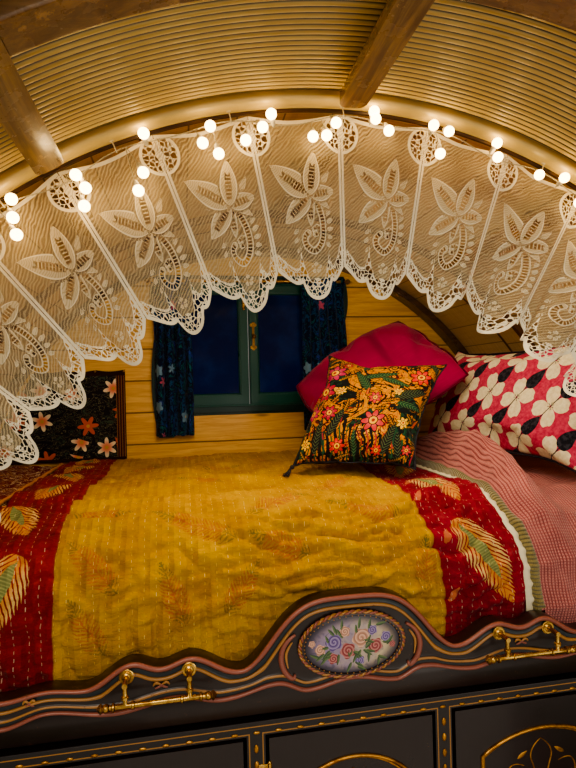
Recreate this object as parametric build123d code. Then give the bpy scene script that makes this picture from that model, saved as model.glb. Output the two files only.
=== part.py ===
from build123d import *
import math
import os

# Rear berth section of a bow-top living wagon: the bed bay under the arched
# roof, from just ahead of the bed front to the rear end wall, standing on its
# own sills. Millimetres, +X right, +Y to the rear end wall, +Z up. The origin
# is the centre of the footprint, at the underside of the sills.

os.makedirs("parts", exist_ok=True)

# ---- driving dimensions -------------------------------------------------
SPRING = 940.0        # height of the arch centre, level with the bed front rail
R_LINING = 1030.0     # inside radius of the roof lining
T_LINING = 10.0
T_CANVAS = 5.0
Y_FRONT = -825.0      # front edge of the canvas
Y_WALL = 765.0        # inside face of the rear end wall
T_WALL = 18.0
Y_REAR = 825.0        # rear edge of the rear rail and window sill
FLOOR_TOP = 120.0
T_FLOOR = 25.0
SILL_X, SILL_W = 430.0, 70.0
HALF_LOW = 620.0      # half width between the lower sides
T_LOW = 20.0
LEDGE_Z, T_LEDGE, LEDGE_X = 500.0, 24.0, 1060.0
BOLT_R, BOLT_Y = 7.0, 600.0

BED_FRONT = -345.0    # front face of the carved rail
RAIL_T = 32.0
RAIL_HALF = 985.0
SLIDE = 350.0         # how far the berth front pulls out
BASE_TOP = 910.0      # top of the fixed bed boards
FACE_Y0, FACE_Y1 = -338.0, -316.0
DOOR_GAP = 6.0
DOOR_T = 20.0

WIN_X, WIN_HALF = -45.0, 262.0       # casement window, centre and half opening
WIN_Z0, WIN_Z1 = 1375.0, 1845.0
LEAF_T = 28.0


# ---- helpers -------------------------------------------------------------
def block(x0, x1, y0, y1, z0, z1):
    return Pos((x0 + x1) / 2, (y0 + y1) / 2, (z0 + z1) / 2) * Box(x1 - x0, y1 - y0, z1 - z0)


def prism_y(face, y0, y1):
    """A face drawn with X across and Z up, run from y0 to y1."""
    return extrude(Pos(0, y0, 0) * (Plane.XZ * face), amount=y1 - y0, dir=(0, 1, 0))


def prism_x(face, x0, x1):
    """A face drawn with Y along and Z up, run from x0 to x1."""
    return extrude(Pos(x0, 0, 0) * (Plane.YZ * face), amount=x1 - x0, dir=(1, 0, 0))


def tunnel(r, y0, y1, foot):
    """Half round over two straight legs."""
    face = make_face([
        Line((-r, foot), (r, foot)),
        Line((r, foot), (r, SPRING)),
        ThreePointArc((r, SPRING), (0, SPRING + r), (-r, SPRING)),
        Line((-r, SPRING), (-r, foot)),
    ])
    return prism_y(face, y0, y1)


def arch(r_in, r_out, y0, y1, foot):
    """A hoop: the band between two tunnels, legs down to foot."""
    return tunnel(r_out, y0, y1, foot) - tunnel(r_in, y0 - 1, y1 + 1, foot - 1)


def rod(a, b, r):
    """A round bar from a to b."""
    a, b = Vector(*a), Vector(*b)
    d = b - a
    return Plane(origin=a, z_dir=d.normalized()) * Cylinder(r, d.length, align=(Align.CENTER, Align.CENTER, Align.MIN))


def swing(table, x, crest=1.0):
    """Soft S-curves through a short table of (x, z); a crest above 1 gives the first one full shoulders."""
    for k, ((xa, za), (xb, zb)) in enumerate(zip(table, table[1:])):
        if x <= xb:
            h = ((x - xa) / (xb - xa)) ** (1.0 if k else crest)
            t = (1 - math.cos(math.pi * h)) / 2
            return za + (zb - za) * t
    return table[-1][1]


def pad(w, d, h, soft):
    """A soft block: rounded all round."""
    s = Box(w, d, h)
    return fillet(s.edges(), soft)


def save(name, shape):
    export_step(shape, f"parts/{name}.step")


def both(solid):
    """The piece and its mirror across the centre line."""
    return Compound(children=[solid, mirror(solid, about=Plane.YZ)])


# ---- sills, bearers and floor --------------------------------------------
sills, bearers = [], []
for side in (-1, 1):
    s = block(side * SILL_X - SILL_W / 2, side * SILL_X + SILL_W / 2, -815, 783, 0, FLOOR_TOP - T_FLOOR)
    for y in (-BOLT_Y, BOLT_Y):
        s -= rod((side * SILL_X, y, -1), (side * SILL_X, y, 200), BOLT_R)
    sills.append(s)
save("sills", Compound(children=sills))
for y in (-760, -250, 250, 740):
    bearers.append(block(-SILL_X + SILL_W / 2, SILL_X - SILL_W / 2, y - 30, y + 30, 15, FLOOR_TOP - T_FLOOR))
    for side in (-1, 1):
        x0, x1 = sorted((side * (SILL_X + SILL_W / 2), side * HALF_LOW))
        bearers.append(block(x0, x1, y - 30, y + 30, 15, FLOOR_TOP - T_FLOOR))
save("floor_bearers", Compound(children=bearers))

floor = block(-HALF_LOW, HALF_LOW, -820, Y_WALL + T_WALL, FLOOR_TOP - T_FLOOR, FLOOR_TOP)
for side in (-1, 1):
    for y in (-BOLT_Y, BOLT_Y):
        floor -= rod((side * SILL_X, y, 50), (side * SILL_X, y, 200), BOLT_R)
save("floor_boards", floor)

# ---- lower sides with ribs, ledges on scroll brackets ---------------------
BRACKET_Y = (-700, -330, 40, 410, 760)
side = block(HALF_LOW, HALF_LOW + T_LOW, -820, Y_WALL + T_WALL, 40, LEDGE_Z)
for a, b in zip(BRACKET_Y, BRACKET_Y[1:]):
    for k in (1, 2, 3):
        y = a + (b - a) * k / 4
        side += block(HALF_LOW + T_LOW, HALF_LOW + T_LOW + 12, y - 10, y + 10, 70, LEDGE_Z - 30)
save("lower_sides", both(side))

brackets = []
for y in BRACKET_Y:
    x0, x1 = HALF_LOW + T_LOW, 1010
    f = make_face([
        Line((x0, LEDGE_Z), (x1, LEDGE_Z)),
        Line((x1, LEDGE_Z), (x1, LEDGE_Z - 22)),
        ThreePointArc((x1, LEDGE_Z - 22), (880, LEDGE_Z - 62), (800, LEDGE_Z - 120)),
        ThreePointArc((800, LEDGE_Z - 120), (725, LEDGE_Z - 190), (690, LEDGE_Z - 290)),
        ThreePointArc((690, LEDGE_Z - 290), (672, LEDGE_Z - 345), (x0, LEDGE_Z - 380)),
        Line((x0, LEDGE_Z - 380), (x0, LEDGE_Z)),
    ])
    brackets.append(prism_y(f, y - 12, y + 12))
save("ledge_brackets", Compound(children=brackets + [mirror(b, about=Plane.YZ) for b in brackets]))

ledge = block(HALF_LOW, LEDGE_X, -820, Y_WALL + T_WALL, LEDGE_Z, LEDGE_Z + T_LEDGE)
save("ledges", both(ledge))
DECK = LEDGE_Z + T_LEDGE

# ---- upper sides, waist rails, roof --------------------------------------
R_OUT = R_LINING + T_LINING
upper = block(R_LINING, R_OUT, -820, Y_WALL + T_WALL, DECK, SPRING - 15)
save("upper_sides", both(upper))
waist = block(R_LINING, R_OUT, -820, Y_WALL + T_WALL, SPRING - 15, SPRING + 15)
save("waist_rails", both(waist))
above = block(-1200, 1200, -900, 900, SPRING + 15, 2200)
save("roof_lining_front", arch(R_LINING, R_OUT, -820, BED_FRONT, DECK) & above)
save("roof_lining_rear", arch(R_LINING, R_OUT, BED_FRONT, Y_WALL + T_WALL, DECK) & above)
save("roof_canvas", arch(R_OUT + 1, R_OUT + 1 + T_CANVAS, Y_FRONT, 811, DECK + 16))

# name, inner radius, front, rear
HOOPS = [
    ("front_hoop", 1000, -745, -685),
    ("valance_hoop", 1012, -395, BED_FRONT),
    ("middle_hoop", 1010, 275, 395),
    ("rear_hoop", 1005, 700, Y_WALL),
]
PURLIN_W, PURLIN_R, PURLIN_T = 48.0, 985.0, 18.0
PURLINS = (-59, -29.6, 0, 29.6, 59)      # angle from the crown, degrees


def purlin(angle, y0, y1, hoops):
    """A flat moulded runner on a narrower packer that meets the lining between hoops."""
    flange = block(-PURLIN_W / 2, PURLIN_W / 2, y0, y1, PURLIN_R, PURLIN_R + PURLIN_T)
    flange = fillet(flange.edges().filter_by(Axis.Z), 16)
    web = block(-10, 10, y0 + 14, y1 - 14, PURLIN_R + PURLIN_T, R_LINING + 2)
    web &= Pos(0, (y0 + y1) / 2, 0) * Rot(90, 0, 0) * Cylinder(R_LINING - 0.2, y1 - y0)
    for _, r, ya, yb in hoops:
        if y0 < ya < y1:
            web -= block(-12, 12, ya - 0.5, yb + 0.5, 900, 1100)
    return Pos(0, 0, SPRING) * Rot(0, angle, 0) * (flange + web)


purlins = []
for a in PURLINS:
    purlins.append(purlin(a, -812, -425, HOOPS))
    if abs(a) < 45:
        purlins.append(purlin(a, -318, 262, HOOPS))
save("roof_purlins", Compound(children=purlins))
for name, r, y0, y1 in HOOPS:
    hoop = arch(r, R_LINING - 0.2, y0, y1, DECK)
    if name == "front_hoop":
        for a in PURLINS:
            hoop -= Pos(0, 0, SPRING) * Rot(0, a, 0) * block(-PURLIN_W / 2 - 0.3, PURLIN_W / 2 + 0.3, y0 - 1, y1 + 1, 980, PURLIN_R + PURLIN_T + 0.3)
    save(name, hoop)

# ---- rear end wall --------------------------------------------------------
wall = tunnel(R_LINING - 0.5, Y_WALL, Y_WALL + T_WALL, DECK)
wall -= block(WIN_X - 290.3, WIN_X + 290.3, 700, 900, WIN_Z0 - 27.3, WIN_Z1 + 25.3)
for k in range(12):
    z = SPRING + 542 + 116 * (k - 8)      # board joints, V-cut on both faces
    for y in (Y_WALL, Y_WALL + T_WALL):
        v = Pos(0, y, z) * Rot(45, 0, 0) * Box(2200, 5, 5)
        wall -= v
save("rear_wall", wall)
save("rear_wall_lower", block(-HALF_LOW, HALF_LOW, Y_WALL, Y_WALL + T_WALL, FLOOR_TOP, DECK))
save("rear_crown_board", arch(998, R_OUT, Y_WALL + T_WALL, 801, 584))
rear_rail = block(-R_OUT, R_OUT, Y_WALL + T_WALL, Y_REAR, DECK, 584)
save("rear_rail", chamfer(rear_rail.edges().filter_by(Axis.X).group_by(Axis.Y)[-1], 12))

# ---- window ---------------------------------------------------------------
frame = block(WIN_X - 290, WIN_X + 290, 762, 803, WIN_Z0 - 27, WIN_Z1 + 25)
frame -= block(WIN_X - WIN_HALF, WIN_X + WIN_HALF, 770, 900, WIN_Z0, WIN_Z1)
frame -= block(WIN_X - WIN_HALF + 10, WIN_X + WIN_HALF - 10, 700, 900, WIN_Z0 + 10, WIN_Z1 - 10)
save("window_frame", frame)
sill = block(WIN_X - 320, WIN_X + 320, Y_WALL + T_WALL, Y_REAR, WIN_Z0 - 50, WIN_Z0 - 27)
save("window_sill", chamfer(sill.edges().filter_by(Axis.X).group_by(Axis.Y)[-1].group_by(Axis.Z)[-1], 10))

SUR = 375.0   # half width of the shaped surround
sx = -32.0
left = [((sx - SUR + 22, 1272), (sx - SUR, 1470), (sx - SUR + 20, 1673)),
        ((sx - SUR + 20, 1673), (sx - SUR, 1765), (sx - SUR + 14, 1868))]
edges = [ThreePointArc(*a) for a in left]
edges += [ThreePointArc(*[(2 * sx - x, z) for x, z in a]) for a in left]
edges += [Line((sx - SUR + 14, 1868), (sx + SUR - 14, 1868)), Line((sx - SUR + 22, 1272), (sx + SUR - 22, 1272))]
surround = prism_y(make_face(edges), 750, Y_WALL) & tunnel(1000, 700, 800, DECK)
surround -= block(WIN_X - 290.3, WIN_X + 290.3, 761.7, 900, WIN_Z0 - 27.3, WIN_Z1 + 25.3)
surround -= block(WIN_X - WIN_HALF + 4, WIN_X + WIN_HALF - 4, 700, 900, WIN_Z0 + 4, WIN_Z1 - 4)
surround -= block(WIN_X - 286, WIN_X + 286, 700, 900, 1200, WIN_Z0 - 19)
save("window_surround", surround)

STILE, TOP_RAIL, LOW_RAIL = 30.0, 32.0, 96.0 - 56.0
leaf_y0, leaf_y1 = 803 - LEAF_T, 803.0
for name, x0, x1 in (
    ("left", WIN_X - WIN_HALF + 5, WIN_X - 3),
    ("right", WIN_X + 3, WIN_X + WIN_HALF - 5),
):
    z0, z1 = WIN_Z0 + 5, WIN_Z1 - 5
    leaf = block(x0, x1, leaf_y0, leaf_y1, z0, z1)
    hole = block(x0 + STILE, x1 - STILE, 700, 900, z0 + LOW_RAIL, z1 - TOP_RAIL)
    save(f"casement_{name}", leaf - hole)
    save(f"glass_{name}", block(x0 + STILE, x1 - STILE, 787, 791, z0 + LOW_RAIL, z1 - TOP_RAIL))

lx = WIN_X + 3 + 15.0     # latch on the meeting stile of the right leaf
latch = block(lx - 4, lx + 4, 771, leaf_y0, 1604, 1680)
for z, s in ((1600, -1), (1684, 1)):
    for dx, dz in ((0, s * 6), (-7, 0), (7, 0)):
        latch += rod((lx + dx, 771, z + dz), (lx + dx, leaf_y0, z + dz), 6)
latch += rod((lx, 752, 1640), (lx, 772, 1640), 4)
latch += Pos(lx, 750, 1640) * Sphere(8.5)
save("casement_latch", latch)

curtain_rod = rod((-400, 735, 1845), (325, 735, 1845), 6)
for x in (-385, 310):
    curtain_rod += block(x - 5, x + 5, 735, 750, 1838, 1852)
save("curtain_rod", curtain_rod)
curtains = [block(x0, x1, 718, 746, 1278, 1837) for x0, x1 in ((-398, -262), (152, 328))]
save("curtains", Compound(children=[fillet(c.edges().filter_by(Axis.Z), 10) for c in curtains]))
HANGING = [(-500, 1525), (-806, 1525), (-896, 1385), (-950, 1250), (-950, 1206), (-500, 1206)]
save("wall_hanging", prism_y(make_face(Polyline(*HANGING, close=True)), 757, 762))

# ---- bed box ---------------------------------------------------------------
face = block(-R_LINING + 2, R_LINING - 2, FACE_Y0, FACE_Y1, DECK, 848)
face += block(-HALF_LOW + 2, HALF_LOW - 2, FACE_Y0, FACE_Y1, FLOOR_TOP, DECK)
# name, hinge side x, free side x
DOORS = [("left", -575.0, -205.0), ("centre", -158.0, 158.0), ("right", 575.0, 205.0)]
DOOR_Z0, DOOR_Z1 = 190.0, 815.0
for name, xh, xf in DOORS:
    x0, x1 = min(xh, xf), max(xh, xf)
    face -= block(x0 - DOOR_GAP, x1 + DOOR_GAP, -400, -300, DOOR_Z0 - DOOR_GAP, DOOR_Z1 + DOOR_GAP)
    door = block(x0, x1, FACE_Y0, FACE_Y0 + DOOR_T, DOOR_Z0, DOOR_Z1)
    m, rise = 56.0, 40.0
    panel = make_face([
        Line((x0 + m, DOOR_Z0 + m), (x1 - m, DOOR_Z0 + m)),
        Line((x1 - m, DOOR_Z0 + m), (x1 - m, DOOR_Z1 - m - rise)),
        ThreePointArc((x1 - m, DOOR_Z1 - m - rise), ((x0 + x1) / 2, DOOR_Z1 - m), (x0 + m, DOOR_Z1 - m - rise)),
        Line((x0 + m, DOOR_Z1 - m - rise), (x0 + m, DOOR_Z0 + m)),
    ])
    door -= prism_y(panel, FACE_Y0 - 1, FACE_Y0 + 6)
    save(f"cupboard_door_{name}", door)
    kx = xf + (26 if xf < xh else -26)
    knob = rod((kx, FACE_Y0 - 16, 560), (kx, FACE_Y0, 560), 6)
    knob += Pos(kx, FACE_Y0 - 22, 560) * Sphere(13)
    knob += rod((kx, FACE_Y0 - 3, 560), (kx, FACE_Y0, 560), 15)
    save(f"cupboard_knob_{name}", knob)
save("bed_face", face)

# cleats carry the fixed boards and guide the pull-out boards below them
CLEAT_Y0, CLEAT_Y1 = FACE_Y1, Y_WALL
cleat = block(968, 1000, CLEAT_Y0 + 6, CLEAT_Y1, 835, BASE_TOP - 20)
cleat += block(935, 1000, CLEAT_Y0 + 6, CLEAT_Y1, 820, 855)
cleat -= block(900, 1003, 690, 800, 800, 900) & block(1004, 1100, 690, 800, 800, 900)
save("bed_cleats", both(cleat))
boards = []
for k in range(9):
    y0 = -295 + k * 116.5
    boards.append(block(-999, 999, y0, y0 + 112, BASE_TOP - 20, BASE_TOP))
save("bed_boards", Compound(children=boards))

# carved front rail: top and lower edges, half of each (x, height from the arch centre)
RAIL_TOP = [(0, 124), (207, 10), (295, 43), (345, 31), (392, 44), (475, 8), (530, 13), (605, 4),
            (700, 36), (790, 10), (880, 30), (985, 6)]
RAIL_LOW = [(0, -34), (85, -47), (140, -29), (240, -45), (320, -31), (425, -45), (531, -30), (606, -48),
            (700, -30), (800, -46), (900, -30), (985, -44)]
xs = [i * RAIL_HALF / 72 for i in range(73)]
top = [(x, SPRING + swing(RAIL_TOP, x, 1.9)) for x in xs]
low = [(x, SPRING + swing(RAIL_LOW, x)) for x in xs]
ring = top + low[::-1] + [(-x, z) for x, z in low[1:]] + [(-x, z) for x, z in top[:0:-1]]
rail = prism_y(make_face(Polyline(*ring, close=True)), BED_FRONT, BED_FRONT + RAIL_T)
rail += block(-RAIL_HALF, RAIL_HALF, BED_FRONT + 12, BED_FRONT + RAIL_T, 855, 915)
save("bed_rail", rail)
save("crest_medallion", prism_y(Pos(0, SPRING + 34) * Ellipse(102, 60), BED_FRONT - 8, BED_FRONT))
handles = []
for s in (-1, 1):
    hx, hz = s * 350, SPRING - 14
    h = rod((hx - 84, BED_FRONT - 30, hz), (hx + 84, BED_FRONT - 30, hz), 4.5)
    for e in (-84, 84):
        h += Pos(hx + e, BED_FRONT - 30, hz) * Sphere(7)
    for e in (-53, 53):
        h += rod((hx + e, BED_FRONT - 30, hz), (hx + e, BED_FRONT - 30, hz + 36), 4)
        h += rod((hx + e, BED_FRONT - 34, hz + 34), (hx + e, BED_FRONT, hz + 34), 4.5)
        h += rod((hx + e, BED_FRONT - 4, hz + 34), (hx + e, BED_FRONT, hz + 34), 11)
    handles.append(h)
save("pull_handles", Compound(children=handles))
slats = [block(-925, 925, BED_FRONT + RAIL_T, BED_FRONT + RAIL_T + 470, 860, 882)]
save("slide_boards", slats[0])

# ---- bedding (soft) --------------------------------------------------------
mattress = prism_x(make_face([
    Line((-258, BASE_TOP + 0.5), (745, BASE_TOP + 0.5)),
    Line((745, BASE_TOP + 0.5), (745, 1128)),
    ThreePointArc((745, 1128), (736, 1149), (715, 1158)),
    Line((715, 1158), (-150, 1158)),
    ThreePointArc((-150, 1158), (-226.4, 1126.4), (-258, 1050)),
    Line((-258, 1050), (-258, BASE_TOP + 0.5)),
]), -975, 975)
save("mattress", mattress)


def drape(x0, x1, t, y_end=740.0, foot=920.0):
    """A cover that lies on the mattress and rolls down behind the rail."""
    g = 1.5
    return prism_x(make_face([
        Line((-258 - g, foot), (-258 - g, 1050)),
        ThreePointArc((-258 - g, 1050), (-150 - (108 + g) * 0.70711, 1050 + (108 + g) * 0.70711), (-150, 1158 + g)),
        Line((-150, 1158 + g), (y_end, 1158 + g)),
        Line((y_end, 1158 + g), (y_end, 1158 + g + t)),
        Line((y_end, 1158 + g + t), (-150, 1158 + g + t)),
        ThreePointArc((-150, 1158 + g + t), (-150 - (108 + g + t) * 0.70711, 1050 + (108 + g + t) * 0.70711), (-258 - g - t, 1050)),
        Line((-258 - g - t, 1050), (-258 - g - t, foot)),
        Line((-258 - g - t, foot), (-258 - g, foot)),
    ]), x0, x1)


save("quilt", drape(-705, 392, 43))
save("bed_spread", drape(-965, -709, 38))
throw = drape(396, 965, 44)
ridge = block(402, 492, -215, 250, 1195, 1300)
ridge = fillet(ridge.edges().filter_by(Axis.Y).group_by(Axis.Z)[-1] + ridge.edges().filter_by(Axis.X).group_by(Axis.Z)[-1], 34)
save("knitted_throw", throw + ridge)

# name, size (w, d, h), centre, tilt about x, y, z
CUSHIONS = [
    ("patterned_pillow", (640, 140, 360, 60), (628, 135, 1394), (-24, 0, -80.5)),
    ("magenta_cushion", (390, 110, 390, 50), (302, 357, 1452), (-42, -45, -37.5)),
    ("embroidered_cushion", (332, 112, 345, 50), (219, 118, 1380), (-35, 9.5, -30)),
]
for name, (w, d, h, soft), c, (rx, ry, rz) in CUSHIONS:
    s = Pos(*c) * Rot(0, 0, rz) * Rot(rx, 0, 0) * Rot(0, ry, 0) * pad(w, d, h, soft)
    save(name, s)

# ---- lace valance -----------------------------------------------------------
LACE_Y0, LACE_Y1 = -362.0, -350.0
LACE_R0, LACE_R1, LACE_LOBE = 740.0, 1011.0, 66.0
LACE_PITCH, LACE_COUNT = 9.75, 16
half = LACE_PITCH * LACE_COUNT / 2


def polar(angle, r, y=0.0):
    a = math.radians(angle)
    return (r * math.sin(a), y, SPRING + r * math.cos(a))


pts = [polar(-half, LACE_R0), polar(0, LACE_R0), polar(half, LACE_R0), polar(half, LACE_R1), polar(0, LACE_R1), polar(-half, LACE_R1)]
q = [(p[0], p[2]) for p in pts]
lace = prism_y(make_face([
    ThreePointArc(q[0], q[1], q[2]), Line(q[2], q[3]), ThreePointArc(q[3], q[4], q[5]), Line(q[5], q[0]),
]), LACE_Y0, LACE_Y1)
for k in range(LACE_COUNT):
    a = -half + LACE_PITCH * (k + 0.5)
    x, _, z = polar(a, LACE_R0 + 4)
    lace += rod((x, LACE_Y0, z), (x, LACE_Y1, z), LACE_LOBE)
save("lace_valance", lace)

# ---- light string, clipped along the valance hoop ---------------------------
WIRE_R, WIRE_Y = 1.4, -376.0
route = []
for i in range(27):
    a = -76 + i * 152 / 26
    r = 1001 if i % 2 else 978 - 7 * math.sin(i * 1.7)
    x, _, z = polar(a, r)
    route.append((x, WIRE_Y + 3 * math.sin(i * 2.3), z))
route += [(1001, WIRE_Y, 1085), (1002, WIRE_Y, 1000), (1003, WIRE_Y, 898), (1003, WIRE_Y, 796)]
radii = []
for a, b, c in zip(route, route[1:], route[2:]):
    u, v = Vector(*b) - Vector(*a), Vector(*c) - Vector(*b)
    turn = math.radians(u.get_angle(v))
    radii.append(0.45 * min(u.length, v.length) / math.tan(turn / 2))
print("light string radii", [round(r, 1) for r in radii])
path = FilletPolyline(*route, radius=radii)
d0 = Vector(*route[1]) - Vector(*route[0])
wire = sweep(Plane(origin=route[0], z_dir=d0.normalized()) * Circle(WIRE_R), path=path)
print("light string length", round(path.length, 1), "volume ratio", round(wire.volume / (math.pi * WIRE_R ** 2 * path.length), 4))
save("light_string", wire)
save("battery_box", block(988, 1012, -392, -352, 706, 796))

# bulbs in bunches: bunch angle, then (angle offset, radius) of each
BUNCHES = [
    (-35, ((0.9, 991), (0.0, 966), (-0.7, 941))),
    (-28, ((0.1, 977), (0.3, 952), (-0.7, 927))),
    (-22, ((1.6, 1000), (0.1, 940), (-1.1, 915))),
    (-14.4, ((0.4, 985), (-0.8, 960), (0.5, 937))),
    (-9, ((-1.8, 952), (0.2, 971), (1.3, 992))),
    (-2.4, ((-1.2, 950), (0.3, 952), (1.4, 975))),
    (4, ((-0.7, 988), (0.8, 970), (-0.9, 1001))),
    (10.6, ((-0.9, 996), (0.9, 992), (0.3, 947))),
    (17.4, ((-0.3, 1000), (0.2, 975))),
    (24.2, ((-1.3, 977), (1.6, 996))),
    (30, ((-1.4, 968), (0.6, 990), (1.9, 950))),
]
for k in range(1, 7):      # the bunches the same way down each side
    BUNCHES.append((-35 - 6.6 * k, ((0.6, 985), (-0.7, 958 + 4 * (k % 3)))))
    BUNCHES.append((30 + 7.2 * k, ((-0.6, 983), (0.8, 955 + 5 * (k % 2)))))
BULB_R, BULB_Y = 9.5, -390.5
bulbs = []
for a, group in BUNCHES:
    for da, r in group:
        x, _, z = polar(a + da, r)
        bulbs.append(Pos(x, BULB_Y, z) * Sphere(BULB_R))
save("light_bulbs", Compound(children=bulbs))
print("bulbs", len(bulbs))
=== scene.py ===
import math

import bpy
import numpy as np
from mathutils import Matrix, Vector


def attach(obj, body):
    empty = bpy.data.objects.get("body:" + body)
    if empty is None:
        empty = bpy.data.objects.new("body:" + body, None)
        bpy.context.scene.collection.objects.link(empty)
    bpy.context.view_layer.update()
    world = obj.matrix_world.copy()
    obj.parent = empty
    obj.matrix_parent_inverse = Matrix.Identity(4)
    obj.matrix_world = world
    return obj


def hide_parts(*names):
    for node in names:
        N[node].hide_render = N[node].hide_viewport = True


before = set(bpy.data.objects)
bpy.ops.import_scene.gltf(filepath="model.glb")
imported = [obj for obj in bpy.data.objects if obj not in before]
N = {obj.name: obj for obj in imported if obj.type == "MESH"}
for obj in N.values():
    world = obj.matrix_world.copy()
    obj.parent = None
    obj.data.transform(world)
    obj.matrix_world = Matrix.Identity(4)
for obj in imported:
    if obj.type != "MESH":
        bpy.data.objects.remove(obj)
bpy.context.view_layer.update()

ROOT = "section"
SPRING = 0.940          # height of the arch centre
PI = math.pi
SC = bpy.context.scene


# =====================================================================
# camera, floor and light
# =====================================================================
def set_camera():
    psi, th, roll = 0.1854, 0.0015, -0.0262
    f = Vector((math.sin(psi) * math.cos(th), math.cos(psi) * math.cos(th), math.sin(th)))
    r0 = Vector((math.cos(psi), -math.sin(psi), 0.0))
    u0 = r0.cross(f)
    right = math.cos(roll) * r0 + math.sin(roll) * u0
    up = -math.sin(roll) * r0 + math.cos(roll) * u0
    m = Matrix((right, up, -f)).transposed().to_4x4()
    m.translation = (-0.2949, -1.345, 1.4539)
    data = bpy.data.cameras.new("camera")
    data.sensor_width, data.sensor_fit, data.lens = 36.0, "AUTO", 26.25
    data.clip_start, data.clip_end = 0.02, 60.0
    cam = bpy.data.objects.new("camera", data)
    SC.collection.objects.link(cam)
    cam.matrix_world = m
    SC.camera = cam


def lin(*c):
    """0-255 display colour to the linear RGBA that the sockets take."""
    out = [(v / 255) / 12.92 if v / 255 <= 0.04045 else ((v / 255 + 0.055) / 1.055) ** 2.4 for v in c]
    return (*out, 1.0)


def area_light(name, loc, aim, size, power, colour):
    d = bpy.data.lights.new(name, "AREA")
    d.shape, d.size, d.size_y, d.energy, d.color = "RECTANGLE", size[0], size[1], power, colour
    o = bpy.data.objects.new(name, d)
    SC.collection.objects.link(o)
    o.location = loc
    o.rotation_mode = "QUATERNION"
    o.rotation_quaternion = (Vector(aim) - Vector(loc)).to_track_quat("-Z", "Y")
    o.visible_camera = False
    o.visible_glossy = name != "inside"


set_camera()
area_light("key", (-0.7, -2.9, 2.85), (0.05, 0.1, 1.10), (2.0, 1.2), 40, (1.0, 0.90, 0.74))
area_light("fill_low", (0.9, -2.6, 0.9), (0.0, -0.3, 0.95), (1.6, 1.0), 8, (1.0, 0.92, 0.80))
area_light("inside", (0.0, -0.24, 1.80), (0.0, 0.30, 1.12), (0.8, 0.16), 6, (1.0, 0.84, 0.60))
area_light("back", (1.2, 3.4, 2.6), (0.0, 0.8, 1.1), (2.5, 2.0), 90, (1.0, 0.97, 0.93))
area_light("side_left", (-3.4, 0.2, 2.2), (-0.9, 0.0, 1.0), (2.2, 2.0), 70, (1.0, 0.97, 0.93))
area_light("side_right", (3.4, -0.4, 2.2), (0.9, 0.0, 1.0), (2.2, 2.0), 60, (1.0, 0.97, 0.93))
world = bpy.data.worlds.new("studio")
world.use_nodes = True
world.node_tree.nodes["Background"].inputs[0].default_value = (1.0, 0.94, 0.86, 1.0)
world.node_tree.nodes["Background"].inputs[1].default_value = 0.34
SC.world = world
SC.view_settings.view_transform = "AgX"
SC.view_settings.look = "AgX - Medium High Contrast"
SC.view_settings.exposure = 0.0


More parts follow.
